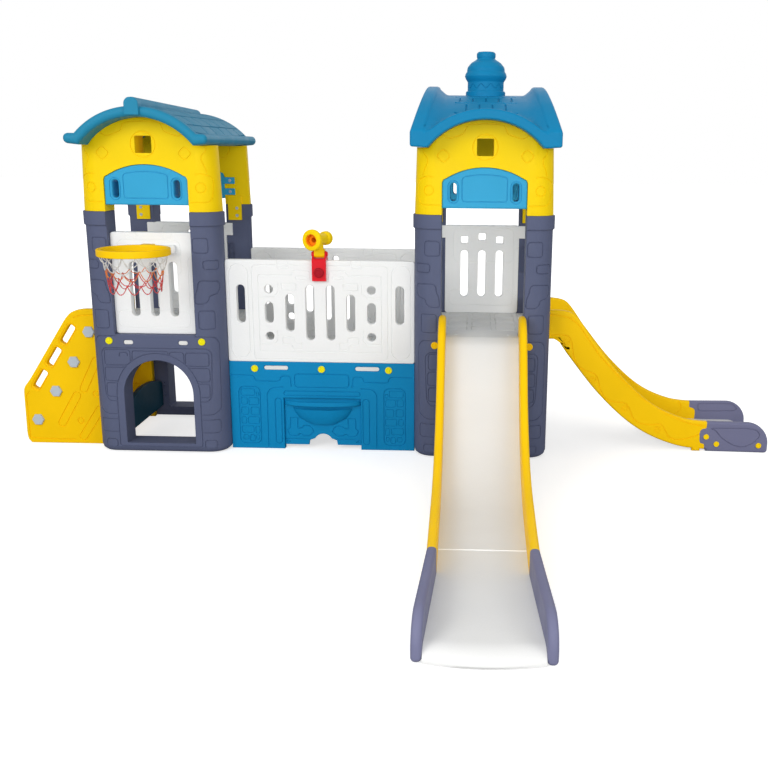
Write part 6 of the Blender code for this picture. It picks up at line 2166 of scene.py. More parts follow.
def sheared(mesh, shift_at):
    """Moves each point across the slide by an amount that depends on its distance out."""
    for vertex in mesh.vertices:
        vertex.co.y += shift_at(vertex.co.x)
    return mesh


def arm_mesh(path, joint, end, height, tongue, ground_tab):
    """A side arm before it is cut in two: a rail that ends in a foot with a round nose."""
    start = GAP
    top = cut_path(path, start, joint)
    bottom = cut_path(offset_path(path, RAIL_HEIGHT), start, joint)[::-1]
    if ground_tab:
        tab_end = RAIL_TAB_START + RAIL_TAB_LENGTH
        before = [point for point in bottom if point[0] > tab_end]
        after = [point for point in bottom if point[0] < RAIL_TAB_START]
        tab_top = before[-1][1]
        tab = [(tab_end, tab_top), (tab_end, 0.0), (RAIL_TAB_START, 0.0), (RAIL_TAB_START, tab_top)]
        bottom = before + tab + after
    nose = arc(end - FOOT_NOSE, height - FOOT_NOSE, FOOT_NOSE, 90, 0, NOSE_STEPS)
    nose += arc(end - FOOT_CORNER, FOOT_CORNER, FOOT_CORNER, 0, -90)
    outline = top + nose + [(joint, 0.0)] + bottom
    if tongue:
        seat = DECK_TOP + GAP
        outline = [(-tongue, top[0][1])] + outline + [(start, seat), (-tongue, seat)]
    low = -RAIL_THICKNESS / 2
    rounding = TAB_RAIL_ROUNDING if ground_tab else RAIL_ROUNDING
    return plate("XZ", outline, [], low, -low, rounding, 4)


def arm_parts(side, arm, half_at, seam):
    """The rail and the foot that a line down the joint parts, each moved out to its side."""
    parts = []
    for grow, operation in ((-GAP, "DIFFERENCE"), (GAP, "INTERSECT")):
        line = [(x + grow, z) for x, z in seam]
        outline = line + [(line[-1][0] + 1.0, -BIG), (line[0][0] + 1.0, 1.0)]
        tool = plate("XZ", outline, [], -RAIL_THICKNESS, RAIL_THICKNESS)
        part = combined(arm, operation, tool)
        parts.append(sheared(part, lambda out: side * (half_at(out) - RAIL_THICKNESS / 2)))
    return parts


def on_rail(side, half_at, outer):
    """Lays a path on a rail's outer or inner face."""
    setback = 0.0 if outer else RAIL_THICKNESS
    facing = side if outer else -side

    def lay(out, height):
        spot = Vector((out, side * (half_at(out) - setback), height))
        return spot, Vector((0.0, facing, 0.0))

    return lay


def bed_mesh(path, half_at, start, end, bulge):
    """Riding surface: a slab between the rails, whose lower end may bow out and turn down."""
    straight_end = end - LIP_NOSE if bulge else end
    top = cut_path(offset_path(path, RAIL_STAND), start, straight_end)
    bottom = offset_path(top, BED_THICKNESS)
    bottom[0] = (start, bottom[0][1])
    bottom[-1] = (straight_end, bottom[-1][1])
    if bulge:
        lip_height = top[-1][1]
        for step in range(1, LIP_STEPS + 1):
            angle = math.radians(LIP_TURN) * step / LIP_STEPS
            x = straight_end + LIP_NOSE * math.sin(angle) / math.sin(math.radians(LIP_TURN))
            height = lip_height * math.cos(angle)
            top.append((x, height))
            bottom.append((x, max(LIP_CLEARANCE, height - BED_THICKNESS)))
    shares = [-1.0 + 2.0 * step / ARC_STEPS for step in range(ARC_STEPS + 1)]
    sections = []
    for upper, lower in zip(top, bottom):
        section = []
        for (x, z), order in ((upper, shares), (lower, shares[::-1])):
            for share in order:
                near_end = max(0.0, (x - end) / BED_BOW_LENGTH + 1.0)
                bowed = x - bulge * near_end * share**2
                half = half_at(bowed) - RAIL_THICKNESS - GAP
                section.append((bowed, share * half, z))
        sections.append(section)
    return bridged(sections)


BED_BEAD = 0.0035
BEAD_STEPS = 16
BED_DOT_X = -0.015
BED_DOT_Y = 0.13
BED_DOT = ((0.0065, 0.0), (0.0065, 0.002), (0.00455, 0.003))


def slide_trim(path, half_at):
    """The white bead at the joint of the front slide's bed and two caps near its top."""
    bed = offset_path(path, RAIL_STAND)
    half = half_at(FRONT_BED_JOINT) - RAIL_THICKNESS - 2 * GAP
    spot = (FRONT_BED_JOINT - BED_BEAD, 0.0, height_on(bed, FRONT_BED_JOINT))
    trim = [turned([(BED_BEAD, -half), (BED_BEAD, half)], BEAD_STEPS, "Y", spot)]
    for y in (-BED_DOT_Y, BED_DOT_Y):
        spot = (BED_DOT_X, y, height_on(bed, BED_DOT_X))
        trim.append(turned(BED_DOT, SMALL_STEPS, "Z", spot))
    return merged(trim)


def build_front_slide():
    place = (TOWER_X["right"], FRONT_Y, 0.0, -90)
    start_height = BEAM_TOP + GAP + BED_THICKNESS + RAIL_STAND
    knots = ((-DECK_TONGUE_Y, start_height), (0.0, start_height)) + FRONT_SLIDE_PATH
    path = smooth_path(knots)
    widths = ((0.0, FRONT_SLIDE_TOP_HALF), (FRONT_SLIDE_JOINT, FRONT_SLIDE_JOINT_HALF))
    half_at = taper(widths + ((FRONT_SLIDE_FOOT_END, FRONT_SLIDE_TOE_HALF),))
    foot_height = FRONT_SLIDE_PATH[-2][1]
    arm = arm_mesh(path, FRONT_SLIDE_JOINT, FRONT_SLIDE_FOOT_END, foot_height, 0.0, False)
    seam = ((FRONT_SLIDE_JOINT, 1.0), (FRONT_SLIDE_JOINT, -BIG))
    top_line, low_line = (
        [point for point in offset_path(path, depth) if LINE_START < point[0] < LINE_END]
        for depth in FRONT_RAIL_LINES
    )
    for side, label in ((-1, "left"), (1, "right")):
        rail, foot = arm_parts(side, arm, half_at, seam)
        for outside, lines in ((True, [top_line, low_line]), (False, [top_line])):
            lay = on_rail(side, half_at, outside)
            rail = carved(rail, lay, (), lines, corner=SHARP_CORNER)
        show_part(f"front_slide_{label}_rail", rail, "golden", place)
        show_part(f"front_slide_{label}_foot", foot, "foot_grey", place)
    start = GAP - DECK_TONGUE_Y
    upper = bed_mesh(path, half_at, start, FRONT_BED_JOINT - GAP, 0.0)
    show_part("front_slide_upper_bed", upper, "cream", place)
    trim = moved(slide_trim(path, half_at), *place)
    show("front_slide_bed_trim", trim, PLASTICS["white"], [])
    bow = FRONT_SLIDE_LIP - FRONT_SLIDE_FOOT_END
    lower = bed_mesh(path, half_at, FRONT_BED_JOINT, FRONT_SLIDE_LIP, bow)
    show_part("front_slide_lower_bed", lower, "cream", place)


def build_side_slide():
    place = (TOWER_X["right"] + TOWER_HALF, FRONT_Y + TOWER_DEPTH / 2)
    edge = DECK_HALF - TOWER_HALF
    path = smooth_path(((edge, SIDE_SLIDE_PATH[0][1]),) + SIDE_SLIDE_PATH)
    joint = SIDE_SLIDE_JOINT
    half_at = taper(((joint, SIDE_SLIDE_HALF), (SIDE_SLIDE_FOOT_END, SIDE_SLIDE_TOE_HALF)))
    foot_height = SIDE_SLIDE_PATH[-2][1]
    rings = []
    for out, height in RAIL_BOSSES:
        rings += [circle(out, height, radius, ARCH_STEPS) for radius in RAIL_BOSS_RADII]
    mirrored = [(2 * SIDE_SEAM[0][0] - x, z) for x, z in SIDE_SEAM]
    arm = arm_mesh(path, joint, SIDE_SLIDE_FOOT_END, foot_height, SIDE_RAIL_TONGUE, True)
    for side, label in ((-1, "near"), (1, "far")):
        rail, foot = arm_parts(side, arm, half_at, SIDE_SEAM if side < 0 else mirrored)
        lay = on_rail(side, half_at, True)
        rail = carved(rail, lay, (), [RAIL_TOP_LINE, RAIL_WAVE_LINE], corner=WIDE_CORNER)
        rail = carved(rail, lay, rings, corner=SHARP_CORNER, radius=BOSS_GROOVE)
        inner = on_rail(side, half_at, False)
        rail = carved(rail, inner, (), [RAIL_INNER_LINE], corner=WIDE_CORNER)
        show_part(f"side_slide_{label}_rail", rail, "golden", place)
        foot = carved(foot, lay, [FOOT_RECESS], corner=WIDE_CORNER)
        foot = carved(foot, inner, [FOOT_INNER_RECESS], corner=WIDE_CORNER)
        show_part(f"side_slide_{label}_foot", foot, "foot_grey", place)
    bed = bed_mesh(path, half_at, edge + GAP, SIDE_SLIDE_LIP, SIDE_BED_BOW)
    show_part("side_slide_bed", bed, "cream", place)


# Hoop and net, about the ring's middle


def build_hoop():
    half = BRACKET_HALF
    back = HOOP_Y + FENCE_FRONT_Y - GAP
    outline = rounded(-half, BRACKET_BOTTOM, half, BRACKET_TOP, BRACKET_CORNER)
    bracket = plate("XZ", outline, [], HOOP_Y, back, HOOP_ROUNDING, 3)
    show_part("hoop_bracket", bracket, "white", HOOP_PLACE)
    spread_angle = math.degrees(math.asin(HOOP_ARM_HALF / HOOP_RADIUS))
    outline = arc(0.0, 0.0, HOOP_RADIUS, 90 + spread_angle, 450 - spread_angle, RING_STEPS)
    outline += [(HOOP_ARM_HALF, HOOP_Y - GAP), (-HOOP_ARM_HALF, HOOP_Y - GAP)]
    bore = circle(0.0, 0.0, HOOP_BORE, RING_STEPS)
    ring = plate("XY", outline, [bore], HOOP_BOTTOM, HOOP_TOP, HOOP_ROUNDING, 4)
    show_part("hoop_ring", ring, "golden", HOOP_PLACE)


def socket_id(tree, label):
    """The identifier of a Geometry Nodes input, by its name."""
    for item in tree.interface.items_tree:
        if item.item_type == "SOCKET" and item.in_out == "INPUT" and item.name == label:
            return item.identifier
    raise KeyError(label)


def end_tree(tree, entry, leave, geometry):
    """Ends a tree with Realize Instances and Set Material."""
    realized = new_node(tree, "GeometryNodeRealizeInstances", {"Geometry": geometry})
    inputs = {"Geometry": realized.outputs["Geometry"], "Material": entry["Material"]}
    finished = new_node(tree, "GeometryNodeSetMaterial", inputs)
    tree.links.new(finished.outputs["Geometry"], leave["Geometry"])
    return tree


def net_tree():
    """Turns a lattice of edges into round cord with a knot at each crossing."""
    inputs = (
        ("Geometry", "Geometry"),
        ("Cord Radius", "Float"),
        ("Knot Radius", "Float"),
        ("Material", "Material"),
    )
    tree, entry, leave = new_tree("Net Cord", "GeometryNodeTree", inputs, ("Geometry", "Geometry"))
    lattice = entry["Geometry"]
    strands = new_node(tree, "GeometryNodeMeshToCurve", {"Mesh": lattice}).outputs["Curve"]
    inputs = {"Resolution": CORD_SIDES, "Radius": entry["Cord Radius"]}
    section = new_node(tree, "GeometryNodeCurvePrimitiveCircle", inputs).outputs["Curve"]
    inputs = {"Curve": strands, "Profile Curve": section, "Fill Caps": True}
    cord = new_node(tree, "GeometryNodeCurveToMesh", inputs).outputs["Mesh"]
    inputs = {"Name": "knot"}
    chosen = new_node(tree, "GeometryNodeInputNamedAttribute", inputs, data_type="BOOLEAN")
    inputs = {"Mesh": lattice, "Selection": chosen.outputs["Attribute"]}
    crossings = new_node(tree, "GeometryNodeMeshToPoints", inputs).outputs["Points"]
    inputs = {"Radius": entry["Knot Radius"], "Subdivisions": 2}
    knot = new_node(tree, "GeometryNodeMeshIcoSphere", inputs).outputs["Mesh"]
    inputs = {"Points": crossings, "Instance": knot}
    knots = new_node(tree, "GeometryNodeInstanceOnPoints", inputs).outputs["Instances"]
    join = new_node(tree, "GeometryNodeJoinGeometry", {"Geometry": cord})
    tree.links.new(knots, join.inputs["Geometry"])
    return end_tree(tree, entry, leave, join.outputs["Geometry"])


def grown(mesh, tree, values):
    """The mesh after a Geometry Nodes tree, whose inputs are set by their identifiers."""
    source = loose_object("source", mesh)
    modifier = source.modifiers.new("Nodes", "NODES")
    modifier.node_group = tree
    for label, value in values.items():
        modifier[socket_id(tree, label)] = value
    return mesh_of(source)


def net_rows():
    """Knots of the net: rings on a cone, set a little unevenly as the cord hangs."""
    top = HOOP_BOTTOM - GAP - sizes().net_cord
    scatter = random.Random(NET_SEED)
    rows = []
    for row in range(NET_ROWS + 1):
        share = row / NET_ROWS
        radius = NET_TOP_RADIUS + (NET_BOTTOM_RADIUS - NET_TOP_RADIUS) * share**NET_FLARE
        height = top + (NET_BOTTOM - top) * share
        slack = 0.0 if row in (0, NET_ROWS) else NET_SLACK
        ring = []
        for column in range(NET_COLUMNS):
            turn = column + 0.5 * (row % 2) + slack * scatter.uniform(-NET_TURN, NET_TURN)
            angle = 2 * math.pi * turn / NET_COLUMNS
            z = height + slack * scatter.uniform(-1.0, 1.0)
            ring.append(Vector((radius * math.cos(angle), radius * math.sin(angle), z)))
        rows.append(ring)
    return rows


NET_SEED = 5
NET_SLACK = 0.011
NET_TURN = 8.0
NET_FLARE = 0.6
NET_SAG = 0.010
NET_STRAND_STEPS = 5
CORD_SIDES = 6
NET_BANDS = (("cord_white", 0, 2), ("cord_orange", 2, 3), ("cord_red", 3, 5))


def net_band(rows, first, last):
    """The strands between some rows of knots, each hanging in a slight curve."""
    shape = bmesh.new()
    knot = shape.verts.layers.bool.new("knot")
    rings = [[shape.verts.new(point) for point in rows[row]] for row in range(first, last + 1)]
    for ring in rings:
        for vertex in ring:
            vertex[knot] = True
    for row, (upper, lower) in enumerate(zip(rings, rings[1:]), start=first):
        shift = -1 if row % 2 == 0 else 1
        for column in range(NET_COLUMNS):
            for other in (column, (column + shift) % NET_COLUMNS):
                start, end = upper[column], lower[other]
                previous = start
                for step in range(1, NET_STRAND_STEPS):
                    share = step / NET_STRAND_STEPS
                    point = start.co.lerp(end.co, share)
                    point.z -= NET_SAG * 4 * share * (1 - share)
                    here = shape.verts.new(point)
                    shape.edges.new((previous, here))
                    previous = here
                shape.edges.new((previous, end))
    return new_mesh(shape)


def build_net():
    """Knotted net in bands of white, orange and red cord."""
    tree = net_tree()
    rows = net_rows()
    for finish, first, last in NET_BANDS:
        values = {
            "Cord Radius": sizes().net_cord,
            "Knot Radius": sizes().net_knot,
            "Material": PLASTICS[finish],
        }
        band = grown(net_band(rows, first, last), tree, values)
        band = moved(band, *HOOP_PLACE)
        show("hoop_net_" + finish, band, PLASTICS[finish], [])
    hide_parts("hoop_net")


# Telescope, in a frame at the middle of the railing's thickness


def build_clamp():
    inner = BRIDGE_THICKNESS / 2 + GAP
    outer = inner + CLAMP_LEG
    bottom = BRIDGE_FENCE_TOP + GAP
    top = bottom + SADDLE_THICKNESS
    chamfer = CLAMP_CHAMFER
    side = [(inner, bottom), (inner, CLAMP_BOTTOM), (outer, CLAMP_BOTTOM), (outer, top - chamfer)]
    side += [(outer - chamfer, top)]
    outline = side + arc(0.0, PIN_Z, EAR_RADIUS, 0, 180, SMALL_STEPS) + flipped(side)
    pin_hole = circle(0.0, PIN_Z, PIN_RADIUS + GAP)
    clamp = plate("YZ", outline, [pin_hole], -CLAMP_HALF, CLAMP_HALF)
    fork = NECK_HALF + GAP
    bore = [(SCREW_RADIUS + GAP, -BIG), (SCREW_RADIUS + GAP, BIG)]
    drill = turned(bore, ROUND_STEPS, "Y", (0.0, 0.0, SCREW_Z))
    clamp = cut_out(clamp, [box((-fork, -BIG, top), (fork, BIG, PIN_Z + BIG)), drill])
    show_part("telescope_clamp", eased(clamp, CLAMP_ROUNDING, 3), "red", TELESCOPE_PLACE)

    face = -outer - GAP
    front = face - KNOB_DEPTH
    profile = [(radius, front + depth) for radius, depth in KNOB_FACE]
    profile += [(KNOB_RADIUS, face), (SCREW_RADIUS, face), (SCREW_RADIUS, outer)]
    knob = turned(profile, TUBE_STEPS, "Y", (0.0, 0.0, SCREW_Z))
    groove = [(GRIP_RADIUS, front - BIG), (GRIP_RADIUS, face - GRIP_SETBACK)]
    grips = []
    for x, z in circle(0.0, SCREW_Z, GRIP_REACH, KNOB_GRIPS):
        grips.append(turned(groove, ARC_STEPS, "Y", (x, 0.0, z)))
    knob = cut_out(knob, grips)
    show_part("telescope_clamp_screw", knob, "dark_red", TELESCOPE_PLACE, "detailed")

    seat = CLAMP_HALF + GAP
    end = seat + PIN_HEAD_HEIGHT
    half = [(radius, end - depth) for radius, depth in PIN_HEAD]
    half += [(PIN_HEAD_RADIUS, seat), (PIN_RADIUS, seat)]
    profile = [(radius, -along) for radius, along in half] + half[::-1]
    pin = turned(profile, ROUND_STEPS, "X", (0.0, 0.0, PIN_Z))
    show_part("telescope_hinge_pin", pin, "red", TELESCOPE_PLACE, "detailed")


def build_telescope():
    build_clamp()
    shoulder = NECK_TOP - PIN_Z
    outline = arc(0.0, 0.0, NECK_RADIUS, 180, 360, ARCH_STEPS)
    outline += [(NECK_RADIUS, shoulder), (-NECK_RADIUS, shoulder)]
    hole = circle(0.0, 0.0, PIN_RADIUS + GAP)
    neck = plate("YZ", outline, [hole], -NECK_HALF, NECK_HALF, NECK_ROUNDING, 2)
    place = (*TELESCOPE_PLACE, PIN_Z)
    show_part("telescope_neck", neck, "yellow", place, body="telescope_neck_body")

    centre = (0.0, 0.0, TUBE_Z - NECK_TOP)
    front = -TUBE_HALF_LENGTH
    back = TUBE_HALF_LENGTH
    step = front + BORE_STEP
    seat = TUBE_BORE + GAP
    outside = [(FRONT_BORE, front), (FRONT_BELL_RADIUS - BELL_CHAMFER, front)]
    outside += [(FRONT_BELL_RADIUS, front + BELL_CHAMFER), (FRONT_BELL_RADIUS, front + BELL_LENGTH)]
    outside += [(TUBE_RADIUS, front + BELL_END), (TUBE_RADIUS, back - REAR_BELL_LENGTH)]
    outside += [(REAR_BELL_RADIUS, back - REAR_BELL_LENGTH + BELL_CHAMFER)]
    outside += [(REAR_BELL_RADIUS, back - BELL_CHAMFER), (REAR_BELL_RADIUS - BELL_CHAMFER, back)]
    outside += [(seat, back)]
    profile = softened(outside, SMALL_CORNER, False) + [(seat, step), (FRONT_BORE, step)]
    tube = turned(profile, TUBE_STEPS, "Y", centre, bored=True)
    tube = moved(tube, degrees=-TUBE_YAW)
    post_top = centre[2] - (seat + TUBE_RADIUS) / 2
    post = turned([(POST_RADIUS, GAP), (POST_RADIUS, post_top)], POST_STEPS, "Z", ORIGIN)
    tube = joined(tube, [post])
    place = (*TELESCOPE_PLACE, NECK_TOP)
    show_part("telescope_tube", tube, "yellow", place, body="telescope_tube_body")

    inside = TUBE_BORE - LINER_THICKNESS
    wide = FRONT_BORE - GAP
    profile = [(TUBE_BORE, back), (TUBE_BORE, step - GAP), (wide, step - GAP)]
    profile += [(wide, front + BELL_CHAMFER), (wide - LINER_THICKNESS, front + BELL_CHAMFER)]
    profile += [(wide - LINER_THICKNESS, step - LINER_THICKNESS), (inside, step - LINER_THICKNESS)]
    profile += [(inside, back)]
    liner = turned(profile, TUBE_STEPS, "Y", centre, bored=True)
    liner = moved(liner, degrees=-TUBE_YAW)
    show_part("telescope_liner", liner, "orange", place, body="telescope_tube_body")


# Fasteners


def fastener_tree():
    """Puts one fastener on every point of a mesh, facing one way."""
    inputs = (
        ("Geometry", "Geometry"),
        ("Fastener", "Object"),
        ("Facing", "Vector"),
        ("Material", "Material"),
    )
    tree, entry, leave = new_tree("Fasteners", "GeometryNodeTree", inputs, ("Geometry", "Geometry"))
    shape = new_node(tree, "GeometryNodeObjectInfo", {"Object": entry["Fastener"]})
    inputs = {"Vector": entry["Facing"]}
    turn = new_node(tree, "FunctionNodeAlignRotationToVector", inputs, axis="Z")
    points = new_node(tree, "GeometryNodeMeshToPoints", {"Mesh": entry["Geometry"]})
    inputs = {
        "Points": points.outputs["Points"],
        "Instance": shape.outputs["Geometry"],
        "Rotation": turn.outputs["Rotation"],
    }
    scatter = new_node(tree, "GeometryNodeInstanceOnPoints", inputs)
    return end_tree(tree, entry, leave, scatter.outputs["Instances"])


FOOT_CAP_RADIUS = 0.0145
# Profile of a cap, as shares of its radius and of how far it stands proud
CAP_PROFILE = (
    (1.0, 0.0), (1.0, 0.55), (0.94, 0.9), (0.86, 1.0), (0.66, 1.0), (0.60, 0.72), (0.5, 0.72),
    (0.44, 0.95), (0.2, 1.0),
)
# Profile of a screw's head as radius and height, half the length and width of its cross's bars
SCREW_PROFILE = ((0.0085, 0.0), (0.0085, 0.0012), (0.0075, 0.0025), (0.0045, 0.0032))
SCREW_CROSS = (0.0045, 0.0009)
SCREW_CROSS_FLOOR = 0.0018


def cap_mesh(radius=CAP_RADIUS):
    """Push-in cap with a rounded rim and a ring in its face."""
    profile = [(radius * across, CAP_PROUD * up) for across, up in CAP_PROFILE]
    return turned(profile, ROUND_STEPS, "Z", ORIGIN)


def screw_mesh():
    """Small screw head with a cross recess."""
    head = turned(SCREW_PROFILE, SMALL_STEPS, "Z", ORIGIN)
    for x, y in (SCREW_CROSS, SCREW_CROSS[::-1]):
        head = cut_out(head, [box((-x, -y, SCREW_CROSS_FLOOR), (x, y, BIG))])
    return head


def show_fasteners(name, shape, points, facing, finish, tree, nodes=()):
    """Shows a row of like fasteners as one piece."""
    pattern = loose_object("pattern", shape)
    mesh = bpy.data.meshes.new("points")
    mesh.from_pydata(points, [], [])
    row = grown(mesh, tree, {"Fastener": pattern, "Facing": facing, "Material": PLASTICS[finish]})
    bpy.data.objects.remove(pattern, do_unlink=True)
    show(name, row, PLASTICS[finish], nodes)


TOWER_CAP_X = 0.2345
TOWER_CAP_Z = 0.585
TONGUE_SCREW_X = TONGUE_X + 0.012
TONGUE_SCREW_LEVELS = (1.165, 1.205)
TAB_SCREW_X = 0.236
FRONT_FACING = (0.0, -1.0, 0.0)
BACK_FACING = (0.0, 1.0, 0.0)


def build_fasteners():
    """Caps of the towers and bridge, and the screws of the tongues and tabs."""
    tree = fastener_tree()
    spots = []
    for label, tower_x in TOWER_X.items():
        finish = "cap_yellow" if label == "left" else "golden"
        pair = [(tower_x + side * TOWER_CAP_X, FRONT_Y, TOWER_CAP_Z) for side in (-1, 1)]
        show_fasteners(label + "_tower_front_caps", cap_mesh(), pair, FRONT_FACING, finish, tree)
        spots += pair
    near_y = FRONT_Y + TOWER_DEPTH / 2 - SIDE_SLIDE_HALF
    slope = (SIDE_SLIDE_TOE_HALF - SIDE_SLIDE_HALF) / (SIDE_SLIDE_FOOT_END - SIDE_SLIDE_JOINT)
    foot_spots = []
    for out, z in FOOT_CAPS:
        y = near_y - max(0.0, out - SIDE_SLIDE_JOINT) * slope
        foot_spots.append((TOWER_X["right"] + TOWER_HALF + out, y, z))
    cap = cap_mesh(FOOT_CAP_RADIUS)
    show_fasteners("side_slide_near_foot_caps", cap, foot_spots, FRONT_FACING, "yellow", tree)
    spots = [(x, BACK_Y, z) for x, y, z in spots]
    show_fasteners("tower_back_caps", cap_mesh(), spots, BACK_FACING, "cap_yellow", tree)
    spots = [(BRIDGE_X + x, FRONT_Y + BRIDGE_Y, CAP_Z) for x in (-CAP_X, 0.0, CAP_X)]
    nodes = ["bridge_cap_1", "bridge_cap_2", "bridge_cap_3"]
    cap = cap_mesh()
    show_fasteners("bridge_caps_detailed", cap, spots, FRONT_FACING, "cap_yellow", tree, nodes)
    for label, depth, places in screw_rows():
        ends = (("front", FRONT_Y + depth, BACK_FACING), ("back", BACK_Y - depth, FRONT_FACING))
        for end, y, facing in ends:
            spots = [(tower_x + x, y, z) for tower_x in TOWER_X.values() for x, z in places]
            name = f"{label}_{end}_screws"
            show_fasteners(name, screw_mesh(), spots, facing, "bolt_grey", tree)


def screw_rows():
    """Rows of screws inside the walls: name, depth in from the wall's face, and places."""
    tongue_places = []
    tab_places = []
    for side in (-1, 1):
        tongue_places += [(side * TONGUE_SCREW_X, z) for z in TONGUE_SCREW_LEVELS]
        tab_places += [(side * TAB_SCREW_X, z) for z in VISOR_TAB_LEVELS]
    return (
        ("tongue", WALL_DEPTH + TONGUE_THICKNESS, tongue_places),
        ("visor_tab", WALL_DEPTH + VISOR_TAB_THICKNESS, tab_places),
    )


# Operators


class PLAYHOUSE_OT_plastics(bpy.types.Operator):
    """Makes the plastics and cords"""

    bl_idname = "playhouse.plastics"
    bl_label = "Plastics"

    def execute(self, context):
        build_plastics()
        return {"FINISHED"}


class PLAYHOUSE_OT_stage(bpy.types.Operator):
    """Makes the floor, lamps and camera"""

    bl_idname = "playhouse.stage"
    bl_label = "Stage"

    def execute(self, context):
        build_stage()
        return {"FINISHED"}


class PLAYHOUSE_OT_walls(bpy.types.Operator):
    """Makes the towers' slate walls"""

    bl_idname = "playhouse.walls"
    bl_label = "Tower walls"

    def execute(self, context):
        show_front_and_back(TOWER_X, "wall", "slate", wall_mesh())
        return {"FINISHED"}


class PLAYHOUSE_OT_gables(bpy.types.Operator):
    """Makes the yellow gables"""

    bl_idname = "playhouse.gables"
    bl_label = "Gables"

    def execute(self, context):
        show_front_and_back(TOWER_X, "gable", "yellow", gable_mesh(True), gable_mesh(False))
        return {"FINISHED"}


class PLAYHOUSE_OT_visors(bpy.types.Operator):
    """Makes the blue visors"""

    bl_idname = "playhouse.visors"
    bl_label = "Visors"

    def execute(self, context):
        show_front_and_back(TOWER_X, "visor", "sky_blue", visor_mesh())
        return {"FINISHED"}


class PLAYHOUSE_OT_decks(bpy.types.Operator):
    """Makes the towers' decks and the bridge's deck"""

    bl_idname = "playhouse.decks"
    bl_label = "Decks"

    def execute(self, context):
        build_decks()
        build_bridge_deck()
        return {"FINISHED"}


class PLAYHOUSE_OT_fences(bpy.types.Operator):
    """Makes the towers' railing panels and the low side board"""

    bl_idname = "playhouse.fences"
    bl_label = "Tower railings"

    def execute(self, context):
        build_tower_fences()
        build_side_board()
        return {"FINISHED"}


class PLAYHOUSE_OT_left_roof(bpy.types.Operator):
    """Makes the left tower's barrel roof"""

    bl_idname = "playhouse.left_roof"
    bl_label = "Barrel roof"

    def execute(self, context):
        build_left_roof()
        return {"FINISHED"}


class PLAYHOUSE_OT_right_roof(bpy.types.Operator):
    """Makes the right tower's winged roof and its finial"""

    bl_idname = "playhouse.right_roof"
    bl_label = "Winged roof"

    def execute(self, context):
        build_right_roof()
        build_finial()
        return {"FINISHED"}


class PLAYHOUSE_OT_bridge(bpy.types.Operator):
    """Makes the bridge's base panels and railings"""

    bl_idname = "playhouse.bridge"
    bl_label = "Bridge"

    def execute(self, context):
        bridge = {"bridge": BRIDGE_X}
        show_front_and_back(bridge, "base", "blue", bridge_base_mesh())
        show_front_and_back(bridge, "fence", "white", bridge_fence_mesh())
        return {"FINISHED"}


class PLAYHOUSE_OT_basin(bpy.types.Operator):
    """Makes the basin in the bay"""

    bl_idname = "playhouse.basin"
    bl_label = "Basin"

    def execute(self, context):
        build_basin()
        return {"FINISHED"}


class PLAYHOUSE_OT_climber(bpy.types.Operator):
    """Makes the climber"""

    bl_idname = "playhouse.climber"
    bl_label = "Climber"

    def execute(self, context):
        build_climber()
        return {"FINISHED"}


class PLAYHOUSE_OT_front_slide(bpy.types.Operator):
    """Makes the front slide"""

    bl_idname = "playhouse.front_slide"
    bl_label = "Front slide"

    def execute(self, context):
        build_front_slide()
        return {"FINISHED"}


class PLAYHOUSE_OT_side_slide(bpy.types.Operator):
    """Makes the side slide"""

    bl_idname = "playhouse.side_slide"
    bl_label = "Side slide"

    def execute(self, context):
        build_side_slide()
        return {"FINISHED"}


class PLAYHOUSE_OT_hoop(bpy.types.Operator):
    """Makes the hoop and its net"""

    bl_idname = "playhouse.hoop"
    bl_label = "Hoop and net"

    def execute(self, context):
        build_hoop()
        build_net()
        return {"FINISHED"}


class PLAYHOUSE_OT_telescope(bpy.types.Operator):
    """Makes the telescope and its clamp"""

    bl_idname = "playhouse.telescope"
    bl_label = "Telescope"

    def execute(self, context):
        build_telescope()
        return {"FINISHED"}


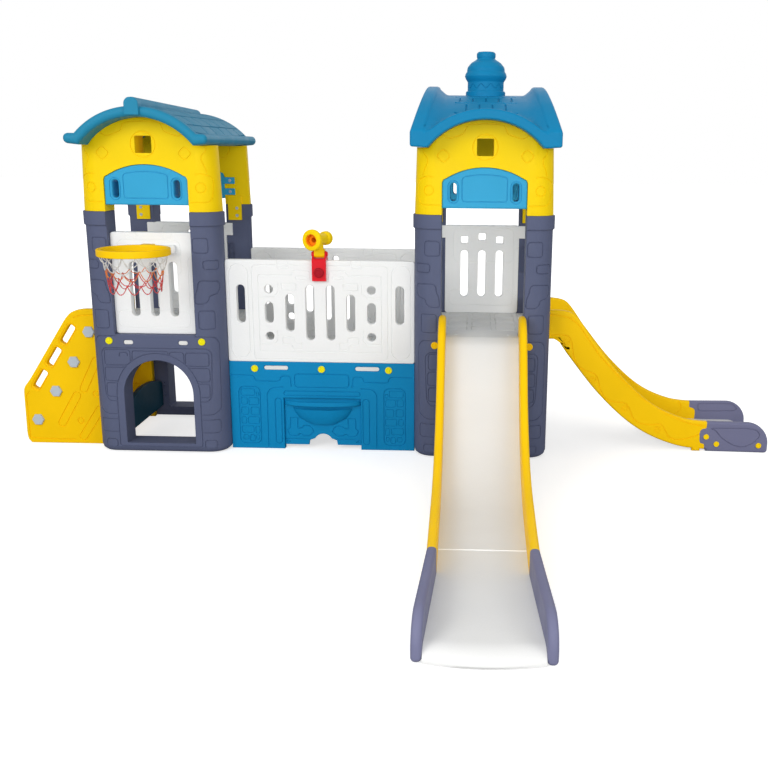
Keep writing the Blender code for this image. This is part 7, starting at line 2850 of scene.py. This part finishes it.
class PLAYHOUSE_OT_fasteners(bpy.types.Operator):
    """Makes the caps and screws"""

    bl_idname = "playhouse.fasteners"
    bl_label = "Caps and screws"

    def execute(self, context):
        build_fasteners()
        return {"FINISHED"}


OPERATORS = (
    PLAYHOUSE_OT_plastics,
    PLAYHOUSE_OT_stage,
    PLAYHOUSE_OT_walls,
    PLAYHOUSE_OT_gables,
    PLAYHOUSE_OT_visors,
    PLAYHOUSE_OT_decks,
    PLAYHOUSE_OT_fences,
    PLAYHOUSE_OT_left_roof,
    PLAYHOUSE_OT_right_roof,
    PLAYHOUSE_OT_bridge,
    PLAYHOUSE_OT_basin,
    PLAYHOUSE_OT_climber,
    PLAYHOUSE_OT_front_slide,
    PLAYHOUSE_OT_side_slide,
    PLAYHOUSE_OT_hoop,
    PLAYHOUSE_OT_telescope,
    PLAYHOUSE_OT_fasteners,
)


class PLAYHOUSE_PT_panel(bpy.types.Panel):
    """Sidebar panel with the settings and the steps"""

    bl_idname = "PLAYHOUSE_PT_panel"
    bl_label = "Playhouse"
    bl_space_type = "VIEW_3D"
    bl_region_type = "UI"
    bl_category = "Playhouse"

    def draw(self, context):
        for settings in (context.scene.playhouse_colours, context.scene.playhouse_sizes):
            column = self.layout.column(align=True)
            for name in settings.__annotations__:
                column.prop(settings, name)
        column = self.layout.column(align=True)
        for operator in OPERATORS:
            column.operator(operator.bl_idname)


CLASSES = (PlayhouseColours, PlayhouseSizes, *OPERATORS, PLAYHOUSE_PT_panel)


def register():
    for cls in CLASSES:
        bpy.utils.register_class(cls)
    bpy.types.Scene.playhouse_colours = PointerProperty(type=PlayhouseColours)
    bpy.types.Scene.playhouse_sizes = PointerProperty(type=PlayhouseSizes)


def unregister():
    del bpy.types.Scene.playhouse_sizes
    del bpy.types.Scene.playhouse_colours
    for cls in reversed(CLASSES):
        bpy.utils.unregister_class(cls)


def main():
    """Runs every step in order."""
    register()
    for operator in OPERATORS:
        getattr(bpy.ops.playhouse, operator.bl_idname.split(".")[1])()


if __name__ == "__main__":
    main()
